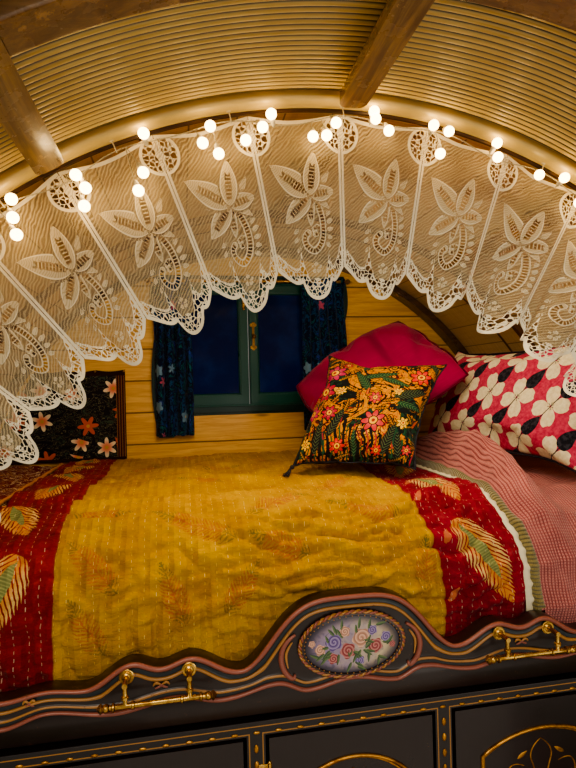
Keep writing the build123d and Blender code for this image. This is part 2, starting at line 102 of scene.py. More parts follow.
# =====================================================================
# materials: a small node writer
# =====================================================================
class Mat:
    """A material on one Principled shader; the methods return sockets."""

    def __init__(self, name, **fixed):
        self.m = bpy.data.materials.new(name)
        self.m.use_nodes = True
        self.t = self.m.node_tree
        self.t.nodes.clear()
        self.out = self.t.nodes.new("ShaderNodeOutputMaterial")
        self.b = self.t.nodes.new("ShaderNodeBsdfPrincipled")
        self.t.links.new(self.b.outputs[0], self.out.inputs[0])
        for k, v in fixed.items():
            self.put(k, v)

    def put(self, key, value):
        key = {"base": "Base Color", "rough": "Roughness", "metal": "Metallic", "normal": "Normal", "alpha": "Alpha",
               "coat": "Coat Weight", "coat_rough": "Coat Roughness", "sheen": "Sheen Weight", "sheen_rough": "Sheen Roughness",
               "sheen_tint": "Sheen Tint", "spec": "Specular IOR Level", "ior": "IOR", "trans": "Transmission Weight",
               "emit": "Emission Color", "emit_power": "Emission Strength", "sss": "Subsurface Weight",
               "sss_radius": "Subsurface Radius", "sss_scale": "Subsurface Scale"}[key]
        s = self.b.inputs[key]
        if isinstance(value, bpy.types.NodeSocket):
            self.t.links.new(value, s)
        else:
            s.default_value = value
        return self

    def n(self, kind, ins=(), **props):
        node = self.t.nodes.new("ShaderNode" + kind)
        for k, v in props.items():
            setattr(node, k, v)
        for i, v in (ins.items() if isinstance(ins, dict) else enumerate(ins)):
            if v is None:
                continue
            if isinstance(v, bpy.types.NodeSocket):
                self.t.links.new(v, node.inputs[i])
            else:
                node.inputs[i].default_value = v
        return node

    def math(self, op, a, b=None, c=None, clamp=False):
        return self.n("Math", (a, b, c), operation=op, use_clamp=clamp).outputs[0]

    def mul(self, a, b): return self.math("MULTIPLY", a, b)
    def add(self, a, b): return self.math("ADD", a, b)
    def sub(self, a, b): return self.math("SUBTRACT", a, b)
    def mx(self, a, b): return self.math("MAXIMUM", a, b)
    def mn(self, a, b): return self.math("MINIMUM", a, b)
    def gt(self, a, b): return self.math("GREATER_THAN", a, b)
    def lt(self, a, b): return self.math("LESS_THAN", a, b)
    def absv(self, a): return self.math("ABSOLUTE", a)
    def fract(self, a): return self.math("FRACT", a)
    def inv(self, a): return self.math("SUBTRACT", 1.0, a)

    def band(self, v, lo, hi, soft=0.0):
        """1 where lo < v < hi."""
        if soft <= 0:
            return self.mul(self.gt(v, lo), self.lt(v, hi))
        return self.mul(self.ramp01(v, lo - soft, lo + soft), self.inv(self.ramp01(v, hi - soft, hi + soft)))

    def ramp01(self, v, a, b, smooth=True):
        return self.n("MapRange", {0: v, 1: a, 2: b, 3: 0.0, 4: 1.0}, interpolation_type="SMOOTHSTEP" if smooth else "LINEAR").outputs[0]

    def span(self, v, a, b, c, d):
        return self.n("MapRange", {0: v, 1: a, 2: b, 3: c, 4: d}).outputs[0]

    def mix(self, f, a, b, mode="MIX"):
        return self.n("Mix", {0: f, 6: a, 7: b}, data_type="RGBA", blend_type=mode, clamp_factor=True).outputs[2]

    def ramp(self, f, stops, interp="LINEAR"):
        node = self.n("ValToRGB", (f,))
        cr = node.color_ramp
        cr.interpolation = interp
        while len(cr.elements) < len(stops):
            cr.elements.new(0.5)
        for e, (p, c) in zip(cr.elements, stops):
            e.position, e.color = p, c
        return node.outputs[0]

    def obj(self): return self.n("TexCoord").outputs["Object"]
    def uv(self, name="UVMap"): return self.n("UVMap", uv_map=name).outputs[0]
    def attr(self, name, fac=True): return self.n("Attribute", attribute_name=name).outputs["Fac" if fac else "Color"]
    def attrv(self, name): return self.n("Attribute", attribute_name=name).outputs["Vector"]

    def sep(self, v):
        o = self.n("SeparateXYZ", (v,)).outputs
        return o[0], o[1], o[2]

    def comb(self, x=0.0, y=0.0, z=0.0): return self.n("CombineXYZ", (x, y, z)).outputs[0]

    def map(self, v, scale=(1, 1, 1), rot=(0, 0, 0), loc=(0, 0, 0)):
        return self.n("Mapping", {0: v, 1: loc, 2: rot, 3: scale}).outputs[0]

    def noise(self, v, scale, detail=3.0, rough=0.5, dist=0.0, colour=False):
        node = self.n("TexNoise", {"Vector": v, "Scale": scale, "Detail": detail, "Roughness": rough, "Distortion": dist})
        return node.outputs[1 if colour else 0]

    def voro(self, v, scale, feature="F1", random=1.0, out="Distance"):
        node = self.n("TexVoronoi", {"Vector": v, "Scale": scale, "Randomness": random}, feature=feature)
        return node.outputs[out]

    def wave(self, v, scale, dist=0.0, detail=2.0, dscale=1.0, axis="X", profile="SIN"):
        return self.n("TexWave", {"Vector": v, "Scale": scale, "Distortion": dist, "Detail": detail, "Detail Scale": dscale},
                      bands_direction=axis, wave_profile=profile).outputs[1]

    def white(self, v, colour=False):
        node = self.n("TexWhiteNoise", {"Vector": v})
        return node.outputs[1 if colour else 0]

    def bump(self, h, strength=0.3, dist=0.001, normal=None):
        return self.n("Bump", {"Strength": strength, "Distance": dist, "Height": h, "Normal": normal}).outputs[0]

    def radius(self):
        """Distance from the arch axis, and the angle from the crown in radians."""
        x, y, z = self.sep(self.obj())
        dz = self.sub(z, SPRING)
        return self.math("SQRT", self.add(self.mul(x, x), self.mul(dz, dz))), self.math("ARCTAN2", x, dz), x, y, z


def stretch(mat, axis, along=1.0, across=14.0):
    """Object coordinates drawn out along one axis, for grain."""
    s = {"X": (along, across, across), "Y": (across, along, across), "Z": (across, across, along)}[axis]
    return mat.map(mat.obj(), scale=s)


def wood(name, light, dark, axis="X", rough=0.45, coat=0.0, grain=5.0, bump=0.25, wear=None, worn=0.0, spec=0.5):
    """Sawn or planed board: long fibres, growth bands and pores, all along one axis."""
    m = Mat(name, coat=coat, coat_rough=0.16, spec=spec)
    g = stretch(m, axis, 1.0, 13.0)
    bands = m.noise(g, grain, 5.0, 0.62, 0.9)
    fibres = m.noise(stretch(m, axis, 3.0, 190.0), 3.0, 3.0, 0.6)
    pores = m.noise(stretch(m, axis, 14.0, 420.0), 2.2, 2.0, 0.7)
    tone = m.mix(m.ramp01(bands, 0.30, 0.72), dark, light)
    tone = m.mix(m.mul(m.ramp01(fibres, 0.42, 0.72), 0.35), tone, dark)
    tone = m.mix(m.mul(m.ramp01(pores, 0.60, 0.74), 0.35), tone, tuple(v * 0.35 for v in dark[:3]) + (1.0,))
    cloud = m.noise(m.obj(), 4.0, 3.0, 0.55)
    tone = m.mix(m.span(cloud, 0.3, 0.75, 0.0, 0.22), tone, tuple(v * 0.5 for v in dark[:3]) + (1.0,))
    if wear is not None:
        # light speckles: worn patches on the hoops, a painted sheen on the purlins
        rub_and_sheen_speckle = m.ramp01(m.noise(m.obj(), 31.0, 6.0, 0.68), 0.60 - worn, 0.66)
        tone = m.mix(m.mul(rub_and_sheen_speckle, 0.7), tone, wear)
    m.put("base", tone)
    m.put("rough", m.span(m.noise(m.obj(), 23.0, 4.0, 0.6), 0.25, 0.8, rough - 0.10, rough + 0.16))
    h = m.add(m.mul(fibres, 0.7), m.mul(pores, 0.5))
    m.put("normal", m.bump(h, bump, 0.0006))
    return m


def paint(name, colour, under, rough=0.32, coat=0.35, chips=0.0, axis="X"):
    """Brush-painted wood: faint brush lines, cloudy gloss, small chips showing the undercoat."""
    m = Mat(name, coat=coat, coat_rough=0.12)
    brush = m.noise(stretch(m, axis, 2.0, 120.0), 4.0, 3.0, 0.6)
    cloud = m.noise(m.obj(), 7.0, 4.0, 0.6)
    tone = m.mix(m.span(cloud, 0.3, 0.75, 0.0, 0.30), colour, tuple(v * 0.62 for v in colour[:3]) + (1.0,))
    tone = m.mix(m.span(brush, 0.35, 0.75, 0.0, 0.16), tone, tuple(min(1.0, v * 1.35 + 0.01) for v in colour[:3]) + (1.0,))
    chip = m.ramp01(m.noise(m.obj(), 42.0, 7.0, 0.72), 0.735 - chips, 0.75 - chips)
    tone = m.mix(chip, tone, under)
    m.put("base", tone)
    m.put("rough", m.add(m.span(cloud, 0.25, 0.8, rough - 0.08, rough + 0.12), m.mul(chip, 0.3)))
    m.put("normal", m.bump(m.sub(m.mul(brush, 0.6), m.mul(chip, 0.9)), 0.25, 0.0005))
    m.tone, m.chip = tone, chip
    return m


# =====================================================================
# meshes: writers and small builders
# =====================================================================
def quads(nu, nv, close_u=False, close_v=False):
    idx = np.arange(nu * nv).reshape(nu, nv)
    if close_u:
        idx = np.concatenate([idx, idx[:1]], 0)
    if close_v:
        idx = np.concatenate([idx, idx[:, :1]], 1)
    return np.stack([idx[:-1, :-1], idx[1:, :-1], idx[1:, 1:], idx[:-1, 1:]], -1).reshape(-1, 4)


class Build:
    """Collects shells into one mesh."""

    def __init__(self):
        self.v, self.l, self.s, self.mi, self.uvs, self.n = [], [], [], [], [], 0
        self.cols = []

    def add(self, v, f, mat=0, uv=None, col=None):
        v = np.asarray(v, float).reshape(-1, 3)
        if isinstance(f, np.ndarray):
            loops, sizes = f.ravel(), np.full(len(f), f.shape[1])
        else:
            loops, sizes = np.concatenate([np.asarray(x) for x in f]), np.array([len(x) for x in f])
        self.v.append(v)
        self.l.append(loops + self.n)
        self.s.append(sizes)
        self.mi.append(np.full(len(sizes), mat))
        self.uvs.append(np.zeros((len(loops), 2)) if uv is None else np.asarray(uv, float).reshape(-1, 2)[loops])
        self.cols.append(np.ones((len(v), 3)) if col is None else np.broadcast_to(np.asarray(col, float), (len(v), 3)))
        self.n += len(v)
        return self

    def obj(self, name, mats, body=ROOT, slot=None, replaces=(), smooth=True, angle=None, col=False):
        v, l, s = np.concatenate(self.v), np.concatenate(self.l), np.concatenate(self.s)
        me = bpy.data.meshes.new(name)
        me.vertices.add(len(v))
        me.vertices.foreach_set("co", v.astype(np.float32).ravel())
        me.loops.add(len(l))
        me.loops.foreach_set("vertex_index", l.astype(np.int32))
        me.polygons.add(len(s))
        me.polygons.foreach_set("loop_start", (np.cumsum(s) - s).astype(np.int32))
        me.update(calc_edges=True)
        lay = me.uv_layers.new(name="UVMap")
        lay.uv.foreach_set("vector", np.concatenate(self.uvs).astype(np.float32).ravel())
        for m in (mats if isinstance(mats, (list, tuple)) else [mats]):
            me.materials.append(m.m if isinstance(m, Mat) else m)
        me.polygons.foreach_set("material_index", np.concatenate(self.mi).astype(np.int32))
        me.polygons.foreach_set("use_smooth", np.full(len(s), smooth))
        if col:
            c = np.concatenate(self.cols)
            a = me.color_attributes.new("tint", "FLOAT_COLOR", "POINT")
            a.data.foreach_set("color", np.c_[c, np.ones(len(c))].astype(np.float32).ravel())
        me.validate()
        me.update()
        o = bpy.data.objects.new(name, me)
        SC.collection.objects.link(o)
        if angle is not None:
            sharp_by_angle(me, angle)
        if body:
            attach(o, body)
        if replaces:
            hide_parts(*replaces)
        return o


def sharp_by_angle(me, degrees):
    """Marks edges sharper than this, so smooth shading stops at them."""
    import bmesh
    bm = bmesh.new()
    bm.from_mesh(me)
    lim = math.radians(degrees)
    for e in bm.edges:
        e.smooth = not (len(e.link_faces) == 2 and e.calc_face_angle(0.0) > lim)
    bm.to_mesh(me)
    bm.free()


def frames(path, closed=False):
    """Tangent, side and lift along a polyline, carried without twist."""
    p = np.asarray(path, float)
    t = np.zeros_like(p)
    if closed:
        t = np.roll(p, -1, 0) - np.roll(p, 1, 0)
    else:
        t[1:-1] = p[2:] - p[:-2]
        t[0], t[-1] = p[1] - p[0], p[-1] - p[-2]
    t /= np.linalg.norm(t, axis=1)[:, None] + 1e-12
    ref = np.array((0.0, 0.0, 1.0)) if abs(t[0][2]) < 0.9 else np.array((1.0, 0.0, 0.0))
    a = np.cross(t[0], ref)
    a /= np.linalg.norm(a)
    sides = [a]
    for k in range(1, len(p)):
        a = sides[-1] - np.dot(sides[-1], t[k]) * t[k]
        a /= np.linalg.norm(a) + 1e-12
        sides.append(a)
    sides = np.array(sides)
    return t, sides, np.cross(t, sides)


def tube(path, r, n=8, closed=False, caps=True):
    p = np.asarray(path, float)
    _, a, b = frames(p, closed)
    r = np.broadcast_to(np.asarray(r, float), (len(p),))
    w = np.arange(n) * 2 * PI / n
    v = p[:, None] + r[:, None, None] * (np.cos(w)[None, :, None] * a[:, None] + np.sin(w)[None, :, None] * b[:, None])
    f = [tuple(q) for q in quads(len(p), n, close_u=closed, close_v=True)]
    if caps and not closed:
        f.append(tuple(range(n))[::-1])
        f.append(tuple((len(p) - 1) * n + k for k in range(n)))
    return v.reshape(-1, 3), f


def lathe(profile, origin, axis, n=24):
    """profile: (radius, height) pairs, turned about axis from origin."""
    ax = np.asarray(axis, float) / np.linalg.norm(axis)
    ref = np.array((0.0, 0.0, 1.0)) if abs(ax[2]) < 0.9 else np.array((1.0, 0.0, 0.0))
    a = np.cross(ax, ref)
    a /= np.linalg.norm(a)
    b = np.cross(ax, a)
    w = np.arange(n) * 2 * PI / n
    pr = np.asarray(profile, float)
    v = (np.asarray(origin, float) + pr[:, None, 1:2] * ax
         + pr[:, None, 0:1] * (np.cos(w)[None, :, None] * a + np.sin(w)[None, :, None] * b))
    f = [tuple(q)[::-1] for q in quads(len(pr), n, close_v=True)]
    if pr[0, 0] > 1e-7:
        f.append(tuple(range(n)))
    if pr[-1, 0] > 1e-7:
        f.append(tuple((len(pr) - 1) * n + k for k in range(n))[::-1])
    return v.reshape(-1, 3), f


def brick(lo, hi, c=0.0015):
    """A box with chamfered edges, between two corners."""
    lo, hi = np.asarray(lo, float), np.asarray(hi, float)
    c = min(c, 0.45 * float((hi - lo).min()))
    v, ids = [], {}
    for sx in (0, 1):
        for sy in (0, 1):
            for sz in (0, 1):
                for ax in range(3):
                    p = np.array([hi[0] if sx else lo[0], hi[1] if sy else lo[1], hi[2] if sz else lo[2]])
                    for k, s in enumerate((sx, sy, sz)):
                        if k != ax:
                            p[k] += -c if s else c
                    ids[(sx, sy, sz, ax)] = len(v)
                    v.append(p)
    f = []
    for ax in range(3):
        o = [k for k in range(3) if k != ax]
        for s in (0, 1):
            q = []
            for a, b in ((0, 0), (1, 0), (1, 1), (0, 1)):
                key = [0, 0, 0]
                key[ax], key[o[0]], key[o[1]] = s, a, b
                q.append(ids[(*key, ax)])
            f.append(tuple(q))
        for a in (0, 1):
            for b in (0, 1):
                def key(s, face):
                    k = [0, 0, 0]
                    k[ax], k[o[0]], k[o[1]] = s, a, b
                    return ids[(*k, face)]
                f.append((key(0, o[0]), key(1, o[0]), key(1, o[1]), key(0, o[1])))
    for sx in (0, 1):
        for sy in (0, 1):
            for sz in (0, 1):
                f.append(tuple(ids[(sx, sy, sz, ax)] for ax in range(3)))
    v = np.array(v)
    mid = (lo + hi) / 2
    out = []
    for q in f:
        p = v[list(q)]
        nrm = np.cross(p[1] - p[0], p[2] - p[0])
        out.append(q if np.dot(nrm, p.mean(0) - mid) > 0 else q[::-1])
    return v, out


def ball(centre, r, n=16, squash=(1, 1, 1)):
    k = n // 2
    prof = [(0.0 if i in (0, k) else math.sin(PI * i / k), -math.cos(PI * i / k)) for i in range(k + 1)]
    v, f = lathe([(max(a, 1e-8), b) for a, b in prof], (0, 0, 0), (0, 0, 1), n)
    return v * r * np.asarray(squash) + np.asarray(centre, float), f


def hoop_path(r, foot, steps=96, legs=10):
    """Left leg up, over the arch, right leg down: points as (radial x, z) at radius r, with outward normals."""
    pts, nrm = [], []
    for k in range(legs):
        z = foot + (SPRING - foot) * k / legs
        pts.append((-r, z)); nrm.append((-1.0, 0.0))
    for k in range(steps + 1):
        a = -PI / 2 + PI * k / steps
        pts.append((r * math.sin(a), SPRING + r * math.cos(a))); nrm.append((math.sin(a), math.cos(a)))
    for k in range(1, legs + 1):
        z = SPRING - (SPRING - foot) * k / legs
        pts.append((r, z)); nrm.append((1.0, 0.0))
    return np.array(pts), np.array(nrm)


def hoop_sweep(profile, foot, steps=96, legs=10, r_ref=1.0):
    """Sweeps a closed (r, y) profile along the hoop line."""
    pts, nrm = hoop_path(r_ref, foot, steps, legs)
    prof = np.asarray(profile, float)
    v = np.zeros((len(pts), len(prof), 3))
    v[:, :, 0] = pts[:, None, 0] + nrm[:, None, 0] * (prof[None, :, 0] - r_ref)
    v[:, :, 2] = pts[:, None, 1] + nrm[:, None, 1] * (prof[None, :, 0] - r_ref)
    v[:, :, 1] = prof[None, :, 1]
    f = [tuple(q) for q in quads(len(pts), len(prof), close_v=True)]
    n = len(prof)
    f.append(tuple(range(n))[::-1])
    f.append(tuple((len(pts) - 1) * n + k for k in range(n)))
    return v.reshape(-1, 3), f


def waves(seed, n, lo, hi, dirs=None):
    """Smooth noise as a sum of plane waves of wavelengths lo to hi; returns f(x, y) of about unit size."""
    g = np.random.default_rng(seed)
    lam = np.exp(g.uniform(math.log(lo), math.log(hi), n))
    th = g.uniform(0, 2 * PI, n) if dirs is None else g.normal(dirs[0], dirs[1], n)
    ph = g.uniform(0, 2 * PI, n)
    am = (lam / hi) ** 0.6
    am /= math.sqrt((am ** 2).sum() / 2)
    kx, ky = 2 * PI / lam * np.cos(th), 2 * PI / lam * np.sin(th)

    def f(x, y):
        out = np.zeros(np.broadcast(x, y).shape)
        for a, b, c, d in zip(kx, ky, ph, am):
            out += d * np.sin(a * x + b * y + c)
        return out
    return f


def smooth(x, a, b):
    t = np.clip((np.asarray(x, float) - a) / (b - a), 0, 1)
    return t * t * (3 - 2 * t)


def give(node, mat, bevel=0.0, seg=2, angle=35):
    """Puts a finish on a CAD node; a bevel softens its arrises."""
    o = N[node]
    o.data.materials.clear()
    o.data.materials.append(mat.m if isinstance(mat, Mat) else mat)
    if bevel:
        w = o.modifiers.new("weld", "WELD")
        w.merge_threshold = 0.00005
        b = o.modifiers.new("bevel", "BEVEL")
        b.width, b.segments, b.limit_method, b.angle_limit = bevel, seg, "ANGLE", math.radians(angle)
        b.harden_normals = False
        o.modifiers.new("normals", "WEIGHTED_NORMAL").keep_sharp = True
    return o


# =====================================================================
# the floor it stands on
# =====================================================================
def floor_stage():
    m = Mat("studio_floor")
    m.put("base", m.mix(m.noise(m.obj(), 3.0, 4.0, 0.6), lin(206, 202, 194), lin(214, 210, 203)))
    m.put("rough", m.span(m.noise(m.obj(), 60.0, 3.0, 0.5), 0, 1, 0.55, 0.75))
    g = np.array([(x, y, -0.0005) for x in np.linspace(-12, 12, 5) for y in np.linspace(-12, 12, 5)])
    o = Build().add(g, quads(5, 5)).obj("studio_floor_plane", m, body=None)


floor_stage()


# =====================================================================
# finishes
# =====================================================================
oak = wood("oiled_oak", lin(148, 112, 72), lin(88, 62, 38), "Y", rough=0.55)
oak_x = wood("oiled_oak_x", lin(148, 112, 72), lin(88, 62, 38), "X", rough=0.55)
pine = wood("bare_pine", lin(206, 168, 112), lin(168, 124, 74), "X", rough=0.6, grain=4.0)
pine_y = wood("bare_pine_y", lin(206, 168, 112), lin(168, 124, 74), "Y", rough=0.6, grain=4.0)
hoop_wood = wood("hoop_varnish", lin(150, 112, 66), lin(96, 66, 38), "X", rough=0.26, coat=0.55, grain=4.0,
                 wear=lin(176, 136, 84), worn=-0.02)
# the purlins' light cream-gold speckles are a painted sheen on the varnish
purlin_wood = wood("purlin_varnish", lin(166, 128, 70), lin(104, 74, 38), "Y", rough=0.22, coat=0.6, grain=5.0,
                   wear=lin(190, 150, 88), worn=-0.02)
dark_hoop = wood("dark_hoop", lin(96, 66, 42), lin(52, 34, 22), "X", rough=0.3, coat=0.45)
brass = Mat("aged_brass", metal=1.0)
_c = brass.noise(brass.obj(), 38.0, 5.0, 0.65)
brass.put("base", brass.mix(brass.ramp01(_c, 0.35, 0.7), lin(226, 186, 104), lin(150, 108, 50)))
brass.put("rough", brass.span(_c, 0.3, 0.75, 0.18, 0.42))
brass.put("normal", brass.bump(brass.noise(brass.obj(), 420.0, 3.0, 0.6), 0.12, 0.0003))


def lining_material(name, light, dark, reeded):
    """Varnished cream lining: warm gold, painted shade down in the grooves, soft streaks along each reed."""
    m = Mat(name, coat=0.35, coat_rough=0.2)
    r, ang, x, y, z = m.radius()
    along = m.comb(m.mul(ang, 1.03), m.mul(y, 60.0), 0.0)
    streak = m.noise(along, 3.5, 5.0, 0.62)
    cloud = m.noise(m.obj(), 3.2, 4.0, 0.55)
    tone = m.mix(m.ramp01(streak, 0.30, 0.75), dark, light)
    tone = m.mix(m.span(cloud, 0.35, 0.75, 0.0, 0.35), tone, lin(196, 150, 78))
    if reeded:
        # painted shade: the grooves between the reeds are darkened toward brown-black
        groove_shade = m.ramp01(r, 1.0308, 1.0330)
        tone = m.mix(m.mul(groove_shade, 0.94), tone, lin(40, 28, 14))
        h = m.mul(streak, 0.5)
    else:
        # boards run along the wagon, each a little different
        k = m.math("FLOOR", m.mul(ang, 1.03 / 0.092))
        f = m.fract(m.mul(ang, 1.03 / 0.092))
        grain = m.noise(m.comb(m.mul(ang, 16.0), m.mul(y, 1.2), m.mul(k, 3.7)), 5.0, 5.0, 0.6, 0.6)
        tone = m.mix(m.mul(m.white(m.comb(k, 3.0, 1.0)), 0.25), tone, lin(188, 148, 88))
        tone = m.mix(m.mul(m.ramp01(grain, 0.45, 0.75), 0.35), tone, lin(166, 118, 62))
        joint = m.inv(m.band(f, 0.018, 0.982, 0.010))
        tone = m.mix(m.mul(joint, 0.75), tone, lin(70, 48, 26))
        h = m.sub(m.mul(grain, 0.3), m.mul(joint, 2.0))
    m.put("base", tone)
    m.put("rough", m.span(m.noise(m.obj(), 30.0, 4.0, 0.6), 0.3, 0.75, 0.32, 0.5))
    m.put("normal", m.bump(h, 0.3, 0.0008))
    return m


reeds = lining_material("reeded_lining", lin(224, 200, 124), lin(190, 162, 88), True)
boards_in = lining_material("plain_lining", lin(220, 196, 148), lin(196, 166, 112), False)


# =====================================================================
# roof lining, hoops and runners
# =====================================================================
def reeded_lining():
    """Half-round reeds running across the wagon, one board shell with its back."""
    y0, y1, pitch = -0.820, -0.345, 0.0125
    n = round((y1 - y0) / pitch)
    prof = []
    for k in range(n):
        for t in (0.0, 0.06, 0.16, 0.30, 0.5, 0.70, 0.84, 0.94):
            u = 2 * t - 1
            prof.append((1.0300 + 0.0056 * (1 - math.sqrt(max(0.0, 1 - u * u))), y0 + (k + t) * pitch))
    prof.append((1.0356, y1))
    prof += [(1.0399, y1), (1.0399, y0)]
    lim = math.acos(0.015 / 1.03)
    na = 112
    ang = np.linspace(-lim, lim, na + 1)
    p = np.array(prof)
    v = np.zeros((na + 1, len(p), 3))
    v[:, :, 0] = np.sin(ang)[:, None] * p[None, :, 0]
    v[:, :, 2] = SPRING + np.cos(ang)[:, None] * p[None, :, 0]
    v[:, :, 1] = p[None, :, 1]
    b = Build()
    b.add(v.reshape(-1, 3), [tuple(q) for q in quads(na + 1, len(p), close_v=True)]
          + [tuple(range(len(p)))[::-1], tuple(na * len(p) + k for k in range(len(p)))])
    b.obj("reeded_roof_lining", reeds, slot="lining_cream", replaces=["roof_lining_front"], angle=38)


reeded_lining()


def valance_strip():
    """The cream batten that the lace hangs from: a rounded face, a quirk and a small bead."""
    prof = [(1.0297, -0.395), (1.0215, -0.3950), (1.0175, -0.3936), (1.0145, -0.3905), (1.0128, -0.3860), (1.0120, -0.3790),
            (1.0120, -0.3735), (1.0136, -0.3722), (1.0136, -0.3712), (1.0122, -0.3700), (1.0120, -0.3664), (1.0122, -0.3628),
            (1.0136, -0.3616), (1.0136, -0.3606), (1.0122, -0.3594), (1.0120, -0.3500), (1.0128, -0.3462), (1.0150, -0.3451), (1.0297, -0.3450)]
    m = paint("strip_cream", lin(204, 180, 112), lin(120, 84, 44), rough=0.34, coat=0.3, chips=0.015)
    r, ang, x, y, z = m.radius()
    # painted shade: the batten darkens toward the lining, a shadow line along its upper edge
    shade = m.ramp01(r, 1.0165, 1.0285)
    tone = m.mix(m.mul(shade, 0.7), m.tone, lin(110, 74, 34))
    m.put("base", tone)
    b = Build()
    v, f = hoop_sweep(prof, 0.524, 110, 12)
    b.add(v, f)
    b.obj("valance_batten", m, slot="painted_cream", replaces=["valance_hoop"], angle=50)
    # thin stained edging under the batten, just behind the lace heading
    e = wood("edging_stain", lin(92, 60, 34), lin(52, 32, 18), "X", rough=0.4, coat=0.2)
    edge = [(1.0118, -0.3660), (1.0068, -0.3652), (1.0056, -0.3625), (1.0068, -0.3598), (1.0118, -0.3590)]
    v, f = hoop_sweep(edge, 1.0, 110, 4)
    Build().add(v, f).obj("valance_edging", e, slot="purlin_varnish", angle=50)


valance_strip()

for nm, mt, bv in (("front_hoop", hoop_wood, 0.004), ("rear_hoop", dark_hoop, 0.003), ("roof_purlins", purlin_wood, 0.0025)):
    give(nm, mt, bv, 3)


def middle_hoop_finish():
    """Cream band with stained arrises along both edges."""
    m = lining_material("middle_band", lin(206, 176, 124), lin(178, 144, 92), False)
    y = m.sep(m.obj())[1]
    edge = m.mx(m.lt(y, 0.290), m.gt(y, 0.380))
    base = m.b.inputs["Base Color"].links[0].from_socket
    m.put("base", m.mix(edge, base, lin(86, 54, 30)))
    give("middle_hoop", m, 0.003, 3)


middle_hoop_finish()
give("roof_lining_rear", boards_in)
give("waist_rails", wood("waist_wood", lin(150, 108, 60), lin(98, 66, 36), "Y", rough=0.32, coat=0.4), 0.003, 3)


def upper_side_finish():
    m = Mat("upper_boards", coat=0.3, coat_rough=0.2)
    x, y, z = m.sep(m.obj())
    k = m.math("FLOOR", m.mul(z, 1 / 0.0915))
    f = m.fract(m.mul(z, 1 / 0.0915))
    g = m.noise(m.comb(m.mul(y, 1.3), m.mul(z, 17.0), m.mul(k, 5.0)), 5.0, 5.0, 0.62, 0.7)
    inside = m.lt(m.absv(x), 1.0351)
    tone = m.mix(m.ramp01(g, 0.3, 0.75), lin(186, 146, 86), lin(220, 190, 136))
    out = m.mix(m.ramp01(g, 0.3, 0.75), lin(24, 62, 42), lin(34, 84, 56))
    tone = m.mix(inside, out, tone)
    joint = m.inv(m.band(f, 0.02, 0.98, 0.012))
    m.put("base", m.mix(m.mul(joint, 0.8), tone, lin(40, 28, 16)))
    m.put("rough", m.span(m.noise(m.obj(), 30.0, 4.0, 0.6), 0.3, 0.75, 0.3, 0.5))
    m.put("normal", m.bump(m.sub(m.mul(g, 0.3), m.mul(joint, 2.0)), 0.3, 0.0008))
    give("upper_sides", m)


upper_side_finish()


# =====================================================================
# end wall, window
# =====================================================================
def end_wall_finish():
    """Wide level boards, honey varnish inside; brushed dark green outside."""
    m = Mat("end_boards", coat=0.35, coat_rough=0.18)
    x, y, z = m.sep(m.obj())
    t = m.mul(m.sub(z, SPRING + 0.542), 1 / 0.116)
    k = m.math("FLOOR", t)
    f = m.fract(t)
    off = m.mul(m.white(m.comb(k, 1.0, 5.0)), 11.0)
    g = m.noise(m.comb(m.add(m.mul(x, 1.1), off), m.mul(z, 15.0), 0.0), 4.5, 6.0, 0.62, 1.1)
    fib = m.noise(m.comb(m.mul(x, 4.0), m.mul(z, 210.0), off), 3.0, 3.0, 0.6)
    tone = m.mix(m.ramp01(g, 0.28, 0.78), lin(204, 152, 62), lin(240, 198, 104))
    tone = m.mix(m.mul(m.ramp01(fib, 0.45, 0.72), 0.28), tone, lin(170, 120, 46))
    tone = m.mix(m.mul(m.white(m.comb(k, 7.0, 2.0)), 0.18), tone, lin(184, 138, 58))
    knots = m.voro(m.comb(m.add(m.mul(x, 1.6), off), m.mul(z, 7.0), 0.0), 1.5)
    tone = m.mix(m.mul(m.inv(m.ramp01(knots, 0.03, 0.10)), 0.75), tone, lin(92, 52, 20))
    out = m.mix(m.ramp01(fib, 0.3, 0.75), lin(20, 60, 42), lin(30, 82, 56))
    tone = m.mix(m.gt(y, 0.776), tone, out)
    joint = m.inv(m.band(f, 0.022, 0.978, 0.012))
    m.put("base", m.mix(m.mul(joint, 0.7), tone, lin(44, 28, 10)))
    m.put("rough", m.span(m.noise(m.obj(), 26.0, 4.0, 0.6), 0.3, 0.75, 0.28, 0.48))
    m.put("normal", m.bump(m.add(m.mul(g, 0.3), m.mul(fib, 0.4)), 0.25, 0.0007))
    give("rear_wall", m)


end_wall_finish()
green = paint("window_green_paint", lin(5, 66, 58), lin(150, 140, 110), rough=0.34, coat=0.25, chips=0.01, axis="Z")
give("window_frame", green, 0.0018, 2)
give("window_sill", green, 0.002, 2)
give("casement_left", green, 0.002, 2)
give("casement_right", green, 0.002, 2)
surround_m = paint("surround_paint", lin(10, 44, 42), lin(96, 84, 60), rough=0.36, coat=0.2, chips=0.006, axis="Z")
give("window_surround", surround_m, 0.003, 3)


